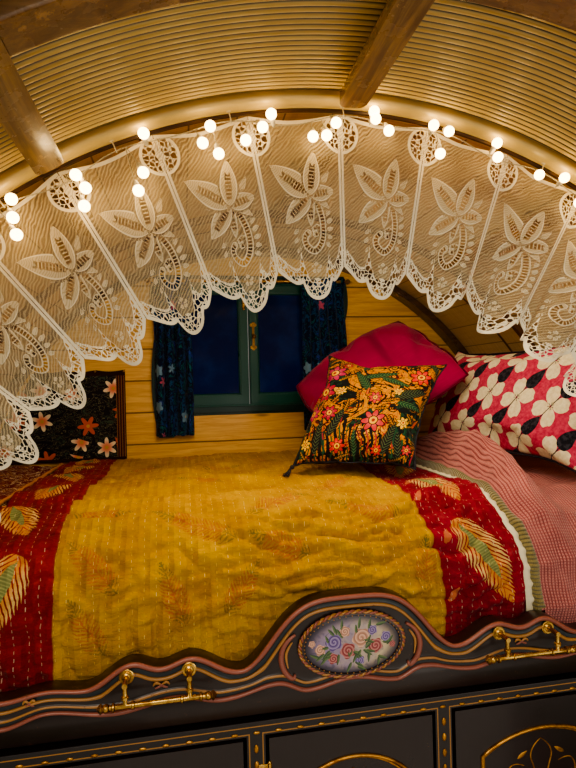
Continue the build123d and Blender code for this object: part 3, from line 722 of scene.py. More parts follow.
def glass_finish():
    """Old drawn glass: faint ripple, dusty corners; its night-blue is painted shade, the dark night beyond the pane
    painted into the glass.
    """
    m = Mat("old_glass", ior=1.5, spec=0.10)
    x, y, z = m.sep(m.obj())
    # painted shade: the navy tone, darker toward the top, and its lighter blue clouds paint the night seen through the
    # pane
    grad = m.ramp01(z, 1.40, 1.82)
    cloud = m.noise(m.obj(), 7.0, 4.0, 0.6)
    tone = m.mix(grad, lin(14, 26, 84), lin(12, 26, 66))
    tone = m.mix(m.mul(m.ramp01(cloud, 0.42, 0.72), 0.45), tone, lin(30, 56, 122))
    m.put("base", tone)
    dust = m.ramp01(m.noise(m.obj(), 90.0, 5.0, 0.7), 0.55, 0.8)
    m.put("rough", m.span(dust, 0, 1, 0.10, 0.30))
    m.put("alpha", m.span(dust, 0, 1, 0.975, 0.99))
    m.put("normal", m.bump(m.noise(m.map(m.obj(), scale=(1.0, 1.0, 0.35)), 16.0, 2.0, 0.4), 0.10, 0.004))
    for nm in ("glass_left", "glass_right"):
        give(nm, m)


glass_finish()
give("casement_latch", brass, 0.0006, 1, 60)
give("curtain_rod", brass, 0.0006, 1, 60)


def window_trim():
    """Glazing beads, butt hinges, draught beads on the meeting edge, the second brass fitting."""
    wx, half = -0.045, 0.262
    for side, x0, x1, body in (("left", wx - half + 0.005, wx - 0.003, "window_left"), ("right", wx + 0.003, wx + half - 0.005, "window_right")):
        gx0, gx1, gz0, gz1 = x0 + 0.030, x1 - 0.030, 1.380 + 0.040, 1.840 - 0.032
        b = Build()
        for y, s in ((0.7870, -1), (0.7910, 1)):
            prof = [(0.0, 0.0), (0.0, s * 0.0075), (0.0022, s * 0.0074), (0.0058, s * 0.0048), (0.0074, s * 0.0016), (0.0076, 0.0)]
            ring = [(gx0, gz0, 1, 1), (gx1, gz0, -1, 1), (gx1, gz1, -1, -1), (gx0, gz1, 1, -1)]
            v = np.array([[(cx + dx * a, y + c, cz + dz * a) for a, c in prof] for cx, cz, dx, dz in ring])
            b.add(v.reshape(-1, 3), [tuple(q) for q in quads(4, len(prof), close_u=True, close_v=True)])
        b.obj(f"glazing_beads_{side}", green, body=body, slot="window_green", angle=40)
        hx = x0 if side == "left" else x1
        out = -1 if side == "left" else 1
        b = Build()
        for hz in (1.455, 1.765):
            xa, xb = sorted((hx - out * 0.0042, hx - out * 0.021))
            b.add(*brick((xa, 0.8032, hz - 0.03), (xb, 0.8048, hz + 0.03), 0.0005))
            for sz in (-0.019, 0.019):
                b.add(*lathe([(0.0026, 0.0), (0.0026, 0.0012), (0.0014, 0.0018), (1e-8, 0.0019)], (hx - out * 0.012, 0.8048, hz + sz), (0, 1, 0), 10))
        b.obj(f"window_hinge_leaf_{side}", brass, body=body, slot="brass", angle=40)
        b = Build()
        for hz in (1.455, 1.765):
            for lo, hi in ((-0.030, -0.0102), (-0.0095, 0.0095), (0.0102, 0.030)):
                b.add(*tube([(hx, 0.8030, hz + lo), (hx, 0.8030, hz + hi)], 0.0040, 16))
        b.obj(f"window_hinge_pin_{side}", brass, slot="brass", angle=40)
        # draught bead on the meeting edge: one leaf's at the outer face, the other's at the inner, their tips not crossing
        b = Build()
        if side == "left":
            b.add(*brick((wx - 0.0036, 0.7950, 1.3815), (wx - 0.0004, 0.8000, 1.8385), 0.0006))
        else:
            b.add(*brick((wx + 0.0004, 0.7860, 1.3815), (wx + 0.0036, 0.7910, 1.8385), 0.0006))
        b.obj(f"draught_bead_{side}", green, body=body, slot="window_green", angle=40)
    # small fixed catch plate on the left leaf, beside the latch
    b = Build()
    cx, cz = -0.0615, 1.770
    b.add(*brick((cx - 0.005, 0.7722, cz - 0.021), (cx + 0.005, 0.7749, cz + 0.021), 0.0012))
    for s in (-1, 1):
        b.add(*ball((cx, 0.7715, cz + s * 0.024), 0.0052, 12, (1, 0.55, 1)))
    b.add(*lathe([(0.0028, 0.0), (0.0028, 0.006), (0.006, 0.009), (0.0064, 0.012), (0.004, 0.0152), (1e-8, 0.0158)], (cx, 0.7722, cz), (0, -1, 0), 16))
    b.obj("casement_catch", brass, body="window_left", slot="brass", angle=45)


window_trim()


def curtain(name, x0, x1, folds, seed, top=1.8575, foot=1.2790):
    """Gathered cloth on the rod: pinch pleats that open out lower down, with a frilled heading."""
    nu, nv = folds * 14 + 1, 92
    u = np.linspace(0, 1, nu)[:, None]
    v = np.linspace(0, 1, nv)[None, :]
    z = top + (foot - top) * v
    g = np.random.default_rng(seed)
    ph = g.uniform(-0.5, 0.5, 3)
    depth = 0.0045 + 0.0095 * smooth(v, 0.03, 0.35)
    wob = 0.35 * np.sin(2.1 * v + 5.0 * u + ph[0]) * smooth(v, 0.05, 0.6)
    s = np.sin(2 * PI * folds * u + wob * 2)
    s2 = np.sin(4 * PI * folds * u + 1.3 + wob)
    y = 0.7350 + depth * s + 0.0022 * s2 * (0.4 + v)
    y = np.clip(y, 0.7195, 0.7492)
    wide = 1 - 0.05 * smooth(v, 0.0, 0.1) * (1 - smooth(v, 0.2, 0.5))
    mid = (x0 + x1) / 2
    x = mid + (x0 + (x1 - x0) * u - mid) * wide + 0.0045 * np.cos(2 * PI * folds * u + wob * 2) * smooth(v, 0.1, 0.5)
    # rod pocket: the cloth stands out round the rod
    y = np.where(np.abs(z - 1.845) < 0.010, 0.735 + np.sign(s) * np.maximum(np.abs(y - 0.735), 0.0078), y)
    y = np.clip(y, 0.7190, 0.7496)
    z = z + 0.0016 * np.sin(2 * PI * folds * u * 2 + ph[1]) * smooth(v, 0.96, 1.0) + 0 * u
    p = np.stack([x + 0 * v, y, z + 0 * u], -1)
    d = np.linalg.norm(np.diff(p, axis=0), axis=2)[:, nv // 2]
    width = float(d.sum())
    uv = np.stack([np.repeat(np.r_[0, np.cumsum(d)][:, None], nv, 1), z + 0 * u], -1)
    b = Build().add(p.reshape(-1, 3), quads(nu, nv)[:, ::-1], uv=uv.reshape(-1, 2))
    return b, width, top - foot


def curtain_material():
    """Dark navy cotton with a small flower-and-leaf print in teal, blue and dusty pink."""
    m = Mat("curtain_cloth", sheen=0.08, sheen_rough=0.4, spec=0.2)
    uv = m.uv()
    p = m.map(uv, scale=(1, 1, 1))
    ground = m.mix(m.noise(m.obj(), 60.0, 3.0, 0.6), lin(8, 12, 34), lin(16, 24, 58))
    leaf = m.noise(m.map(p, scale=(1.4, 1.0, 1.0)), 20.0, 3.0, 0.6, 1.8)
    tone = m.mix(m.band(leaf, 0.53, 0.60, 0.008), ground, lin(26, 70, 112))
    tone = m.mix(m.band(leaf, 0.64, 0.73, 0.01), tone, lin(44, 64, 150))
    tone = m.mix(m.band(leaf, 0.34, 0.40, 0.008), tone, lin(22, 92, 98))
    cell = m.n("TexVoronoi", {"Vector": p, "Scale": 12.0, "Randomness": 0.75}, feature="F1")
    dist = cell.outputs["Distance"]
    rnd = m.sep(cell.outputs["Color"])[0]
    vec = m.n("VectorMath", (m.n("VectorMath", (m.n("VectorMath", (p, (12.0, 12.0, 12.0)), operation="MULTIPLY").outputs[0],
                                                 m.n("VectorMath", (cell.outputs["Position"], (12.0, 12.0, 12.0)), operation="MULTIPLY").outputs[0]),
                                     operation="SUBTRACT").outputs[0], (1.0, 1.0, 1.0)), operation="MULTIPLY").outputs[0]
    vx, vy, _ = m.sep(vec)
    th = m.math("ARCTAN2", vy, vx)
    petal = m.add(0.26, m.mul(m.math("COSINE", m.mul(m.add(th, m.mul(rnd, 6.0)), 5.0)), 0.045))
    on = m.mul(m.lt(dist, petal), m.gt(rnd, 0.42))
    flower = m.mix(m.gt(rnd, 0.72), lin(104, 138, 164), lin(176, 84, 112))
    tone = m.mix(on, tone, flower)
    tone = m.mix(m.mul(m.lt(dist, 0.065), m.gt(rnd, 0.42)), tone, lin(206, 178, 120))
    weave = m.mul(m.math("SINE", m.mul(m.sep(uv)[0], 2 * PI / 0.0011)), m.math("SINE", m.mul(m.sep(uv)[1], 2 * PI / 0.0011)))
    m.put("base", tone)
    m.put("rough", 0.86)
    m.put("normal", m.bump(m.add(m.mul(weave, 0.4), m.noise(m.obj(), 240.0, 3.0, 0.6)), 0.3, 0.0004))
    return m


def curtains_and_hanging():
    cm = curtain_material()
    for nm, x0, x1, folds, seed in (("curtain_left", -0.398, -0.262, 4, 3), ("curtain_right", 0.152, 0.328, 5, 5)):
        b, w, h = curtain(nm, x0, x1, folds, seed)
        o = b.obj(nm, cm, slot="curtain_print", replaces=["curtains"])
    # rings' place is taken by a pocket; small finials close the rod's ends
    b = Build()
    for x, s in ((-0.400, -1), (0.325, 1)):
        b.add(*lathe([(0.006, -0.002), (0.0085, 0.0), (0.0085, 0.003), (0.005, 0.006), (0.0092, 0.011), (0.0100, 0.016), (0.0070, 0.022), (1e-8, 0.025)],
                     (x, 0.735, 1.845), (s, 0, 0), 20))
    b.obj("rod_finials", brass, slot="brass", angle=50)

    # printed cotton hanging on the wall, tacked along its top edge
    x0, x1, z0, z1 = -0.950, -0.500, 1.199, 1.525
    nu, nv = 90, 70
    u = np.linspace(0, 1, nu)[:, None]
    v = np.linspace(0, 1, nv)[None, :]
    sag = 0.006 * np.abs(np.sin(3 * PI * u)) * (1 - v)
    z = z1 - (z1 - z0) * v - sag
    side = np.interp(z, (z0, 1.250, 1.385, z1), (x0, x0, -0.896, -0.806))      # cut to the roof's curve
    x = side + (x1 - side) * u
    amp = 0.0028 * smooth(v, 0.0, 0.35)
    y = 0.7600 - 0.0012 + amp * (np.sin(5.0 * u * PI + 1.1 + v) * 0.8 + 0.4 * np.sin(11 * u * PI + 2.2 * v)) - 0.004 * smooth(v, 0.8, 1.0)
    y = np.minimum(y, 0.7642)
    b = Build().add(np.stack([x, y, z], -1).reshape(-1, 3), quads(nu, nv)[:, ::-1],
                    uv=np.stack([x + 0.815, z - z0], -1).reshape(-1, 2))
    m = Mat("hanging_cloth", sheen=0.2, sheen_rough=0.5, spec=0.25)
    uv = m.uv()
    ux, uy, _ = m.sep(uv)
    ground = m.mix(m.noise(m.obj(), 70.0, 3.0, 0.6), lin(14, 12, 20), lin(28, 24, 34))
    cell = m.n("TexVoronoi", {"Vector": uv, "Scale": 8.6, "Randomness": 0.62}, feature="F1")
    rel = m.n("VectorMath", (uv, cell.outputs["Position"]), operation="SUBTRACT").outputs[0]
    rx, ry, _ = m.sep(rel)
    rr = m.math("SQRT", m.add(m.mul(rx, rx), m.mul(ry, ry)))
    rnd = m.sep(cell.outputs["Color"])[0]
    th = m.add(m.math("ARCTAN2", ry, rx), m.mul(rnd, 9.0))
    edge = m.add(0.026, m.mul(m.math("COSINE", m.mul(th, 6.0)), 0.0105))
    stem = m.noise(m.map(uv, scale=(1.0, 1.7, 1.0)), 21.0, 2.0, 0.5, 2.2)
    tone = m.mix(m.band(stem, 0.492, 0.512, 0.003), ground, lin(120, 116, 84))
    tone = m.mix(m.band(stem, 0.60, 0.66, 0.006), tone, lin(58, 74, 60))
    petals = m.mix(m.ramp01(rr, 0.008, 0.030), lin(222, 132, 100), lin(236, 220, 186))
    petals = m.mix(m.gt(rnd, 0.6), petals, lin(196, 96, 66))
    tone = m.mix(m.lt(rr, edge), tone, petals)
    tone = m.mix(m.lt(rr, 0.0060), tone, lin(200, 156, 60))
    st = m.fract(m.mul(ux, 1 / 0.009))
    stripes = m.mix(m.gt(st, 0.45), lin(96, 40, 24), lin(34, 16, 14))
    stripes = m.mix(m.band(st, 0.46, 0.56), stripes, lin(196, 150, 84))
    tone = m.mix(m.gt(ux, 0.282), tone, stripes)
    hemline = m.mx(m.lt(uy, 0.012), m.gt(uy, 0.305))
    tone = m.mix(hemline, tone, lin(44, 20, 18))
    m.put("base", tone)
    m.put("rough", 0.88)
    weave = m.mul(m.math("SINE", m.mul(ux, 2 * PI / 0.0012)), m.math("SINE", m.mul(uy, 2 * PI / 0.0012)))
    m.put("normal", m.bump(m.add(m.mul(weave, 0.5), m.noise(m.obj(), 200.0, 3.0, 0.6)), 0.3, 0.0004))
    o = b.obj("printed_hanging", m, slot="hanging_print", replaces=["wall_hanging"])
    tacks = Build()
    for t in (0.0, 1 / 3, 2 / 3, 1.0):
        tx = -0.802 + (x1 + 0.802 - 0.004) * t
        tacks.add(*lathe([(0.0042, 0.0), (0.0040, 0.0012), (0.0024, 0.0026), (1e-8, 0.0030)], (tx, 0.7572, z1 - 0.005), (0, -1, 0), 12))
        tacks.add(*tube([(tx, 0.7572, z1 - 0.005), (tx, 0.7652, z1 - 0.005)], 0.0009, 6))
    tk = tacks.obj("hanging_tacks", brass, slot="brass", angle=50)


curtains_and_hanging()


# =====================================================================
# lace valance
# =====================================================================
LW = 0.172              # a panel's width as cut
PITCH = math.radians(9.75)
LACE_A0 = math.radians(-78.0)
R_HEAD = 1.0062         # radius of the heading at the seams
MIDX = 0.58             # where the flower and the long lobe sit across a panel


def lace_outline(u):
    """Radius of the heading and of the scalloped edge across one panel, u from 0 to 1."""
    head = R_HEAD - 0.013 * np.sin(PI * u) ** 1.2
    a, c, h = MIDX, 0.190, 0.034
    side_l = 0.727 - 0.027 * np.sin(np.clip(u / (a - c), 0, 1) * PI * 0.62) / math.sin(PI * 0.62)
    w = np.clip((1 - u) / (1 - a - c), 0, 1)
    side_r = 0.727 - 0.027 * np.sin(w * PI * 0.62) / math.sin(PI * 0.62)
    side = np.where(u < a, side_l, side_r)
    q = np.clip(1 - ((u - a) / c) ** 2, 0, 1)
    return head, side - h * q ** 0.62


def lace_fold(q, t):
    """How far the cloth stands off its plane; q counts panels across, t metres down."""
    right = smooth(q, 8.6, 11.5)
    left = 1 - smooth(q, 4.0, 6.5)
    amp = (0.0018 + 0.034 * t) * (0.70 + 1.45 * right + 0.22 * left)
    f = np.sin(2 * PI * q * 1.0 + 0.7 * np.sin(0.9 * q) + 0.8 * right * np.sin(2.3 * q))
    f = f + 0.42 * np.sin(2 * PI * q * 2.0 + 1.9 + 1.2 * np.sin(1.7 * q)) * smooth(t, 0.03, 0.25)
    f = f + 0.20 * np.sin(2 * PI * q * 3.0 + 0.4 + 5.0 * t)
    return amp * f


def lace_elements(s, t):
    """The worked motifs of one panel as (a, b, kind, wanted) at the grid points: b under 1 lies inside, a counts holes along."""
    out = []
    cx, cy = MIDX * LW + 0.001, 0.150

    def petal(vx, vy, w, solid=False, bend=0.0, start=0.0):
        ln = math.hypot(vx, vy)
        ex, ey = vx / ln, vy / ln
        dx, dy = s - cx - start * ex, t - cy - start * ey
        a = (dx * ex + dy * ey) / (ln - start)
        b = (-dx * ey + dy * ex) - bend * a * (1 - a) * ln
        half = 0.5 * w * np.sin(PI * np.clip(a, 0.0, 1.0) ** 0.78) ** 0.85
        inside = np.where((a > 0.0) & (a < 1.0), np.abs(b) / np.maximum(half, 0.0006), 9.0)
        if solid:
            return -np.ones_like(a), np.minimum(inside, 9.0), 5.0, inside
        rows = max(3, round(0.56 * ln / 0.0062))
        lad = (a > 0.14) & (a < 0.70) & (np.abs(b) < 0.0068)
        hb = 0.25 + (np.abs(b) - 0.0007) / 0.0050 * 0.25
        return np.where(lad, (a - 0.14) / 0.56 * rows + 1, -1.0), np.where(lad, np.minimum(hb, 0.86), np.minimum(inside, 9.0)), 1.0, inside

    def ribbon(path, half, pitch, kind=2.0):
        p = np.asarray(path, float)
        fine = [p[0]]
        for k in range(len(p) - 1):          # rounded through the points
            p0, p1, p2, p3 = p[max(k - 1, 0)], p[k], p[k + 1], p[min(k + 2, len(p) - 1)]
            for j in range(1, 9):
                h = j / 8
                fine.append(0.5 * ((2 * p1) + (-p0 + p2) * h + (2 * p0 - 5 * p1 + 4 * p2 - p3) * h * h + (-p0 + 3 * p1 - 3 * p2 + p3) * h ** 3))
        fine = np.array(fine)
        best = np.full(s.shape, 9.0)
        along = np.zeros(s.shape)
        total = 0.0
        for a, b in zip(fine, fine[1:]):
            d = b - a
            ln = math.hypot(*d)
            if ln < 1e-9:
                continue
            h = np.clip(((s - a[0]) * d[0] + (t - a[1]) * d[1]) / ln ** 2, 0, 1)
            dist = np.hypot(s - a[0] - h * d[0], t - a[1] - h * d[1])
            near = dist < best
            best = np.where(near, dist, best)
            along = np.where(near, total + h * ln, along)
            total += ln
        n = round(total / pitch)
        return along / total * n + 1.0, best / half, kind, best / half

    def fan(x, y, r, spokes, lo=-9.0, hi=9.0):
        dx, dy = s - x, t - y
        rr = np.hypot(dx, dy) / r
        th = np.arctan2(dy, dx)
        ok = (th >= lo) & (th <= hi)
        return (th / (2 * PI) + 0.5) * spokes + 1.0, np.where(ok, rr, 9.0), 3.0, np.where(ok, rr, 9.0)

    mm = 0.001
    for vx, vy, w in ((14, -81, 34), (-76, -62, 44), (-61, 47, 36), (54, -9, 30), (-4, 60, 16)):
        out.append(petal(vx * mm, vy * mm, w * mm))
    out.append(petal(-52 * mm, -6 * mm, 13 * mm, True))
    out.append(petal(44 * mm, -46 * mm, 13 * mm, True, 0.2, 0.010))
    out.append(petal(40 * mm, 26 * mm, 12 * mm, True, -0.2, 0.012))
    out.append(ribbon([(cx + x * mm, cy + y * mm) for x, y in ((3, 4), (15, 22), (21, 52), (17, 82), (1, 101), (-15, 92), (-19, 76), (-11, 67))],
                      6.4 * mm, 6.0 * mm))
    out.append(ribbon([(cx + x * mm, cy + y * mm) for x, y in ((1, 62), (10, 58), (12, 68), (3, 72))], 4.6 * mm, 5.4 * mm))
    for x0, y0, x1, y1 in ((25, 40, 45, 24), (27, 52, 49, 42), (27, 64, 50, 60), (26, 76, 46, 78), (22, 88, 40, 95), (-26, 58, -46, 66), (-27, 72, -48, 84), (-26, 88, -42, 102)):
        dx, dy = (x1 - x0) * mm, (y1 - y0) * mm
        ln = math.hypot(dx, dy)
        ax = ((s - cx - x0 * mm) * dx + (t - cy - y0 * mm) * dy) / ln ** 2
        bx = (-(s - cx - x0 * mm) * dy + (t - cy - y0 * mm) * dx) / ln
        half = 0.0042 * np.sin(PI * np.clip(ax, 0, 1) ** 0.8)
        ins = np.where((ax > 0) & (ax < 1), np.abs(bx) / np.maximum(half, 0.0005), 9.0)
        out.append((-np.ones_like(ax), np.minimum(ins, 9.0), 5.0, ins))
    # half fans against both seams, near the heading
    out.append(fan(0.0, 0.036, 0.036, 22, -PI / 2, PI / 2))
    out.append(fan(LW, 0.036, 0.036, 22))
    # the long lobe: a small flower above a fan of cells
    lx, ly = MIDX * LW, 0.300
    out.append(fan(lx, ly, 0.0330, 20, 0.06, PI - 0.06))
    for k in range(5):
        a = -PI / 2 + 2 * PI * k / 5
        fx, fy = lx, ly - 0.018
        dx, dy = math.cos(a) * 0.0125, math.sin(a) * 0.0125
        ax = ((s - fx) * dx + (t - fy) * dy) / 0.0125 ** 2
        bx = (-(s - fx) * dy + (t - fy) * dx) / 0.0125
        half = 0.0044 * np.sin(PI * np.clip(ax, 0, 1) ** 1.3) ** 0.7
        ins = np.where((ax > 0) & (ax < 1), np.abs(bx) / np.maximum(half, 0.0005), 9.0)
        out.append((-np.ones_like(ax), np.minimum(ins, 9.0), 5.0, ins))
    return out


def lace_material():
    m = Mat("cotton_lace", sheen=0.15, sheen_rough=0.5, spec=0.2)
    s, t, _ = m.sep(m.uv("UVMap"))
    a, b, _ = m.sep(m.uv("motif"))
    kind = m.attr("kind")
    edge = m.attr("edge")
    # ground: a fine slanting net over a plain thread grid
    d1 = m.fract(m.mul(m.add(s, t), 1 / 0.0026))
    d2 = m.fract(m.mul(m.sub(s, t), 1 / 0.0026))
    wob = m.noise(m.comb(s, t, 0.0), 260.0, 2.0, 0.5)
    thick = m.add(0.085, m.mul(m.ramp01(m.noise(m.comb(s, t, 3.0), 26.0, 3.0, 0.6), 0.38, 0.66), 0.06))
    thick = m.add(thick, m.mul(wob, 0.04))
    # slanting worked rows, dense and open by turns
    lean = m.add(m.mul(s, 0.62), m.mul(t, 0.80))
    lean = m.add(lean, m.mul(m.sub(m.noise(m.comb(s, t, 7.0), 30.0, 2.0, 0.5, 0.6), 0.5), 0.016))
    row = m.ramp01(m.math("SINE", m.mul(lean, 2 * PI / 0.0058)), -0.35, 0.75)
    thick = m.add(thick, m.mul(row, 0.115))
    web = m.voro(m.comb(s, t, 0.0), 112.0, "DISTANCE_TO_EDGE", 0.9)
    thread = m.mx(m.lt(m.absv(m.sub(d1, 0.5)), thick), m.lt(m.absv(m.sub(d2, 0.5)), thick))
    solid = m.lt(b, 1.0)
    on_hole = m.mul(m.gt(a, 0.0), m.band(m.fract(a), 0.16, 0.84))
    first = m.band(b, 0.25, 0.50)
    second = m.mul(m.gt(kind, 2.5), m.band(b, 0.60, 0.84))
    ribbon_row = m.mul(m.band(kind, 1.5, 2.5), m.band(b, 0.06, 0.60))
    hole = m.mul(on_hole, m.mx(m.mx(m.mul(first, m.gt(m.absv(m.sub(kind, 2.0)), 0.5)), second), ribbon_row))
    seam_d = m.mn(s, m.sub(LW, s))
    seam = m.band(seam_d, 0.0007, 0.0056)
    hem = m.lt(edge, 0.0068)
    rim = m.mx(m.mul(solid, m.gt(b, 0.86)), m.mx(hem, seam))
    # cobweb filling of the wheels and of the scalloped edge
    deep = m.add(0.0185, m.mul(m.noise(m.comb(s, t, 1.0), 40.0, 1.0, 0.5), 0.016))
    low = m.mul(m.gt(t, 0.20), m.mul(m.gt(edge, 0.0068), m.lt(edge, deep)))
    border = m.mul(m.gt(t, 0.20), m.band(edge, deep, m.add(deep, 0.0022)))
    wheel = m.mul(m.mul(m.gt(kind, 2.5), m.lt(kind, 3.5)), m.lt(b, 0.84))
    zone = m.mul(m.mx(low, wheel), m.inv(m.mx(seam, hem)))
    strand = m.lt(web, m.add(0.085, m.mul(m.lt(b, 0.20), 0.3)))
    cloth = m.mx(m.mx(m.mx(m.mul(thread, 0.97), solid), border), m.mx(seam, hem))
    gap = m.lt(seam_d, 0.0007)
    alpha = m.mul(m.mul(cloth, m.inv(m.mul(hole, m.inv(m.mx(seam, hem))))), m.inv(m.mul(gap, 0.8)))
    alpha = m.add(m.mul(alpha, m.inv(zone)), m.mul(strand, zone))
    m.put("alpha", alpha)
    tone = m.mix(m.noise(m.obj(), 9.0, 4.0, 0.6), lin(196, 176, 136), lin(220, 202, 164))
    tone = m.mix(m.mul(m.inv(row), m.mul(m.inv(solid), 0.45)), tone, lin(136, 116, 84))
    tone = m.mix(m.mul(solid, 0.75), tone, lin(224, 208, 172))
    tone = m.mix(m.mul(m.mx(rim, m.mx(border, m.mul(strand, zone))), 0.85), tone, lin(246, 236, 208))
    veins = m.ramp01(m.math("SINE", m.mul(m.add(lean, m.mul(b, 0.002)), 2 * PI / 0.0042)), 0.0, 0.8)
    tone = m.mix(m.mul(m.mul(m.mul(solid, m.lt(b, 0.86)), veins), 0.50), tone, lin(170, 148, 108))
    m.put("base", tone)
    m.put("rough", 0.9)
    tw = m.math("SINE", m.mul(m.add(s, m.mul(t, 0.5)), 2 * PI / 0.0012))
    h = m.add(m.mul(cloth, 0.5), m.add(m.mul(rim, 0.8), m.mul(tw, 0.12)))
    m.put("normal", m.bump(h, 0.6, 0.0006))
    m.m.blend_method = "HASHED"
    return m


def lace():
    mat = lace_material()
    nu, nv = 42, 84
    ug = np.linspace(0, 1, nu + 1)
    vg = np.linspace(0, 1, nv + 1)
    uu, vv = np.meshgrid(ug, vg, indexing="ij")
    head, foot = lace_outline(uu)
    rad = head + (foot - head) * vv
    t = R_HEAD - rad
    s = uu * LW
    drop = (head - foot) * (1 - vv)
    slope = np.gradient(foot[:, 0], ug * LW)[:, None]
    edge = np.minimum(drop / np.sqrt(1 + slope ** 2), (head - foot) * vv + 0.0005)
    els = lace_elements(s, t)
    # rows of cells that follow the two side scallops
    el = np.r_[0, np.cumsum(np.hypot(np.diff(ug * LW), np.diff(foot[:, 0])))][:, None] + 0 * vv
    e2 = drop / np.sqrt(1 + slope ** 2)
    outer = (np.abs(uu - MIDX) > 0.17) & (uu > 0.04) & (uu < 0.96)
    rowb = np.where(outer, 1.02 - (e2 - 0.0065) / 0.0225, 9.0)
    rowb = np.where(e2 > 0.0300, 9.0, rowb)
    rowb = np.abs(rowb)
    els.append((el / 0.0068 + 1.0, rowb, 3.0, np.where(outer & (e2 < 0.029), 0.5, 9.0)))
    idx = quads(nu + 1, nv + 1)
    aa = np.full((len(idx), 4), -1.0)
    bb = np.full((len(idx), 4), 5.0)
    kk = np.zeros(len(idx))
    taken = np.zeros(len(idx), bool)
    relief = np.zeros(s.size)
    for a, b, kind, ins in els:
        a, b, ins = a.ravel(), b.ravel(), ins.ravel()
        use = (ins[idx].min(1) < 1.05) & ~taken
        aa[use], bb[use], kk[use] = a[idx][use], b[idx][use], kind
        taken |= use
        relief = np.maximum(relief, np.where(ins < 1.0, 0.45 + 0.55 * (ins > 0.78), 0.0))
    relief = np.maximum(relief, (edge.ravel() < 0.0068) * 1.0)
    relief = np.maximum(relief, (np.minimum(s, LW - s).ravel() < 0.0056) * 1.0)
    relief = relief.reshape(s.shape)
    areas = 0.0
    for part in range(4):
        vs, fs, uvs, mot, kinds, edges = [], [], [], [], [], []
        count = 0
        for k in range(part * 4, part * 4 + 4):
            q = k + uu
            fold = lace_fold(q, t)
            ang = LACE_A0 + q * PITCH
            shift = 0.22 * (lace_fold(q + 0.25, t)) * smooth(t, 0.02, 0.2)
            g = np.sin(q * 12.9898) * 0.0
            r = rad - 0.0025 * np.sin(1.3 * k + 1.0) * smooth(vv, 0.2, 1.0) + g
            x = r * np.sin(ang) + shift * np.cos(ang)
            z = SPRING + r * np.cos(ang) - shift * np.sin(ang)
            y = -0.3575 + fold - 0.0010 * relief
            y = np.where(t < 0.012, np.minimum(y, -0.3540), y)
            p = np.stack([x, y, z], -1)
            vs.append(p.reshape(-1, 3))
            fs.append(idx + count)
            count += s.size
            uvs.append(np.stack([s, t], -1).reshape(-1, 2)[idx])
            mot.append(np.stack([aa, bb], -1))
            kinds.append(kk)
            edges.append(edge.ravel())
            d1 = np.diff(p, axis=0)[:, :-1]
            d2 = np.diff(p, axis=1)[:-1]
            areas += float(np.linalg.norm(np.cross(d1, d2), axis=2).sum())
        b = Build()
        b.add(np.concatenate(vs), np.concatenate(fs))
        o = b.obj(f"lace_valance_{part + 1}", mat, slot="lace_cream", replaces=["lace_valance"])
        me = o.data
        me.uv_layers["UVMap"].uv.foreach_set("vector", np.concatenate(uvs).astype(np.float32).ravel())
        me.uv_layers.new(name="motif").uv.foreach_set("vector", np.concatenate(mot).astype(np.float32).ravel())
        me.attributes.new("kind", "FLOAT", "FACE").data.foreach_set("value", np.concatenate(kinds).astype(np.float32))
        me.attributes.new("edge", "FLOAT", "POINT").data.foreach_set("value", np.concatenate(edges).astype(np.float32))
    return areas


lace()


# =====================================================================
# fairy lights
# =====================================================================
WIRE_PTS = []
for _i in range(27):
    _a = math.radians(-76 + _i * 152 / 26)
    _r = 1.001 if _i % 2 else 0.978 - 0.007 * math.sin(_i * 1.7)
    WIRE_PTS.append((_r * math.sin(_a), -0.376 + 0.003 * math.sin(_i * 2.3), SPRING + _r * math.cos(_a)))
WIRE_PTS += [(1.001, -0.376, 1.085), (1.002, -0.376, 1.000), (1.003, -0.376, 0.898), (1.003, -0.376, 0.796)]
BUNCHES = [
    (-35, ((0.9, 991), (0.0, 966), (-0.7, 941))),
    (-28, ((0.1, 977), (0.3, 952), (-0.7, 927))),
    (-22, ((1.6, 1000), (0.1, 940), (-1.1, 915))),
    (-14.4, ((0.4, 985), (-0.8, 960), (0.5, 937))),
    (-9, ((-1.8, 952), (0.2, 971), (1.3, 992))),
    (-2.4, ((-1.2, 950), (0.3, 952), (1.4, 975))),
    (4, ((-0.7, 988), (0.8, 970), (-0.9, 1001))),
    (10.6, ((-0.9, 996), (0.9, 992), (0.3, 947))),
    (17.4, ((-0.3, 1000), (0.2, 975))),
    (24.2, ((-1.3, 977), (1.6, 996))),
    (30, ((-1.4, 968), (0.6, 990), (1.9, 950))),
]
for _k in range(1, 7):
    BUNCHES.append((-35 - 6.6 * _k, ((0.6, 985), (-0.7, 958 + 4 * (_k % 3)))))
    BUNCHES.append((30 + 7.2 * _k, ((-0.6, 983), (0.8, 955 + 5 * (_k % 2)))))
BULB_R, BULB_Y = 0.0095, -0.3905


def bspline(points, per=10):
    """A smooth quadratic line with the points as its control points."""
    p = np.asarray(points, float)
    out = [p[0]]
    for k in range(1, len(p) - 1):
        a = p[0] if k == 1 else (p[k - 1] + p[k]) / 2
        c = p[-1] if k == len(p) - 2 else (p[k] + p[k + 1]) / 2
        for j in range(1, per + 1):
            h = j / per
            out.append((1 - h) ** 2 * a + 2 * h * (1 - h) * p[k] + h * h * c)
    return np.array(out)


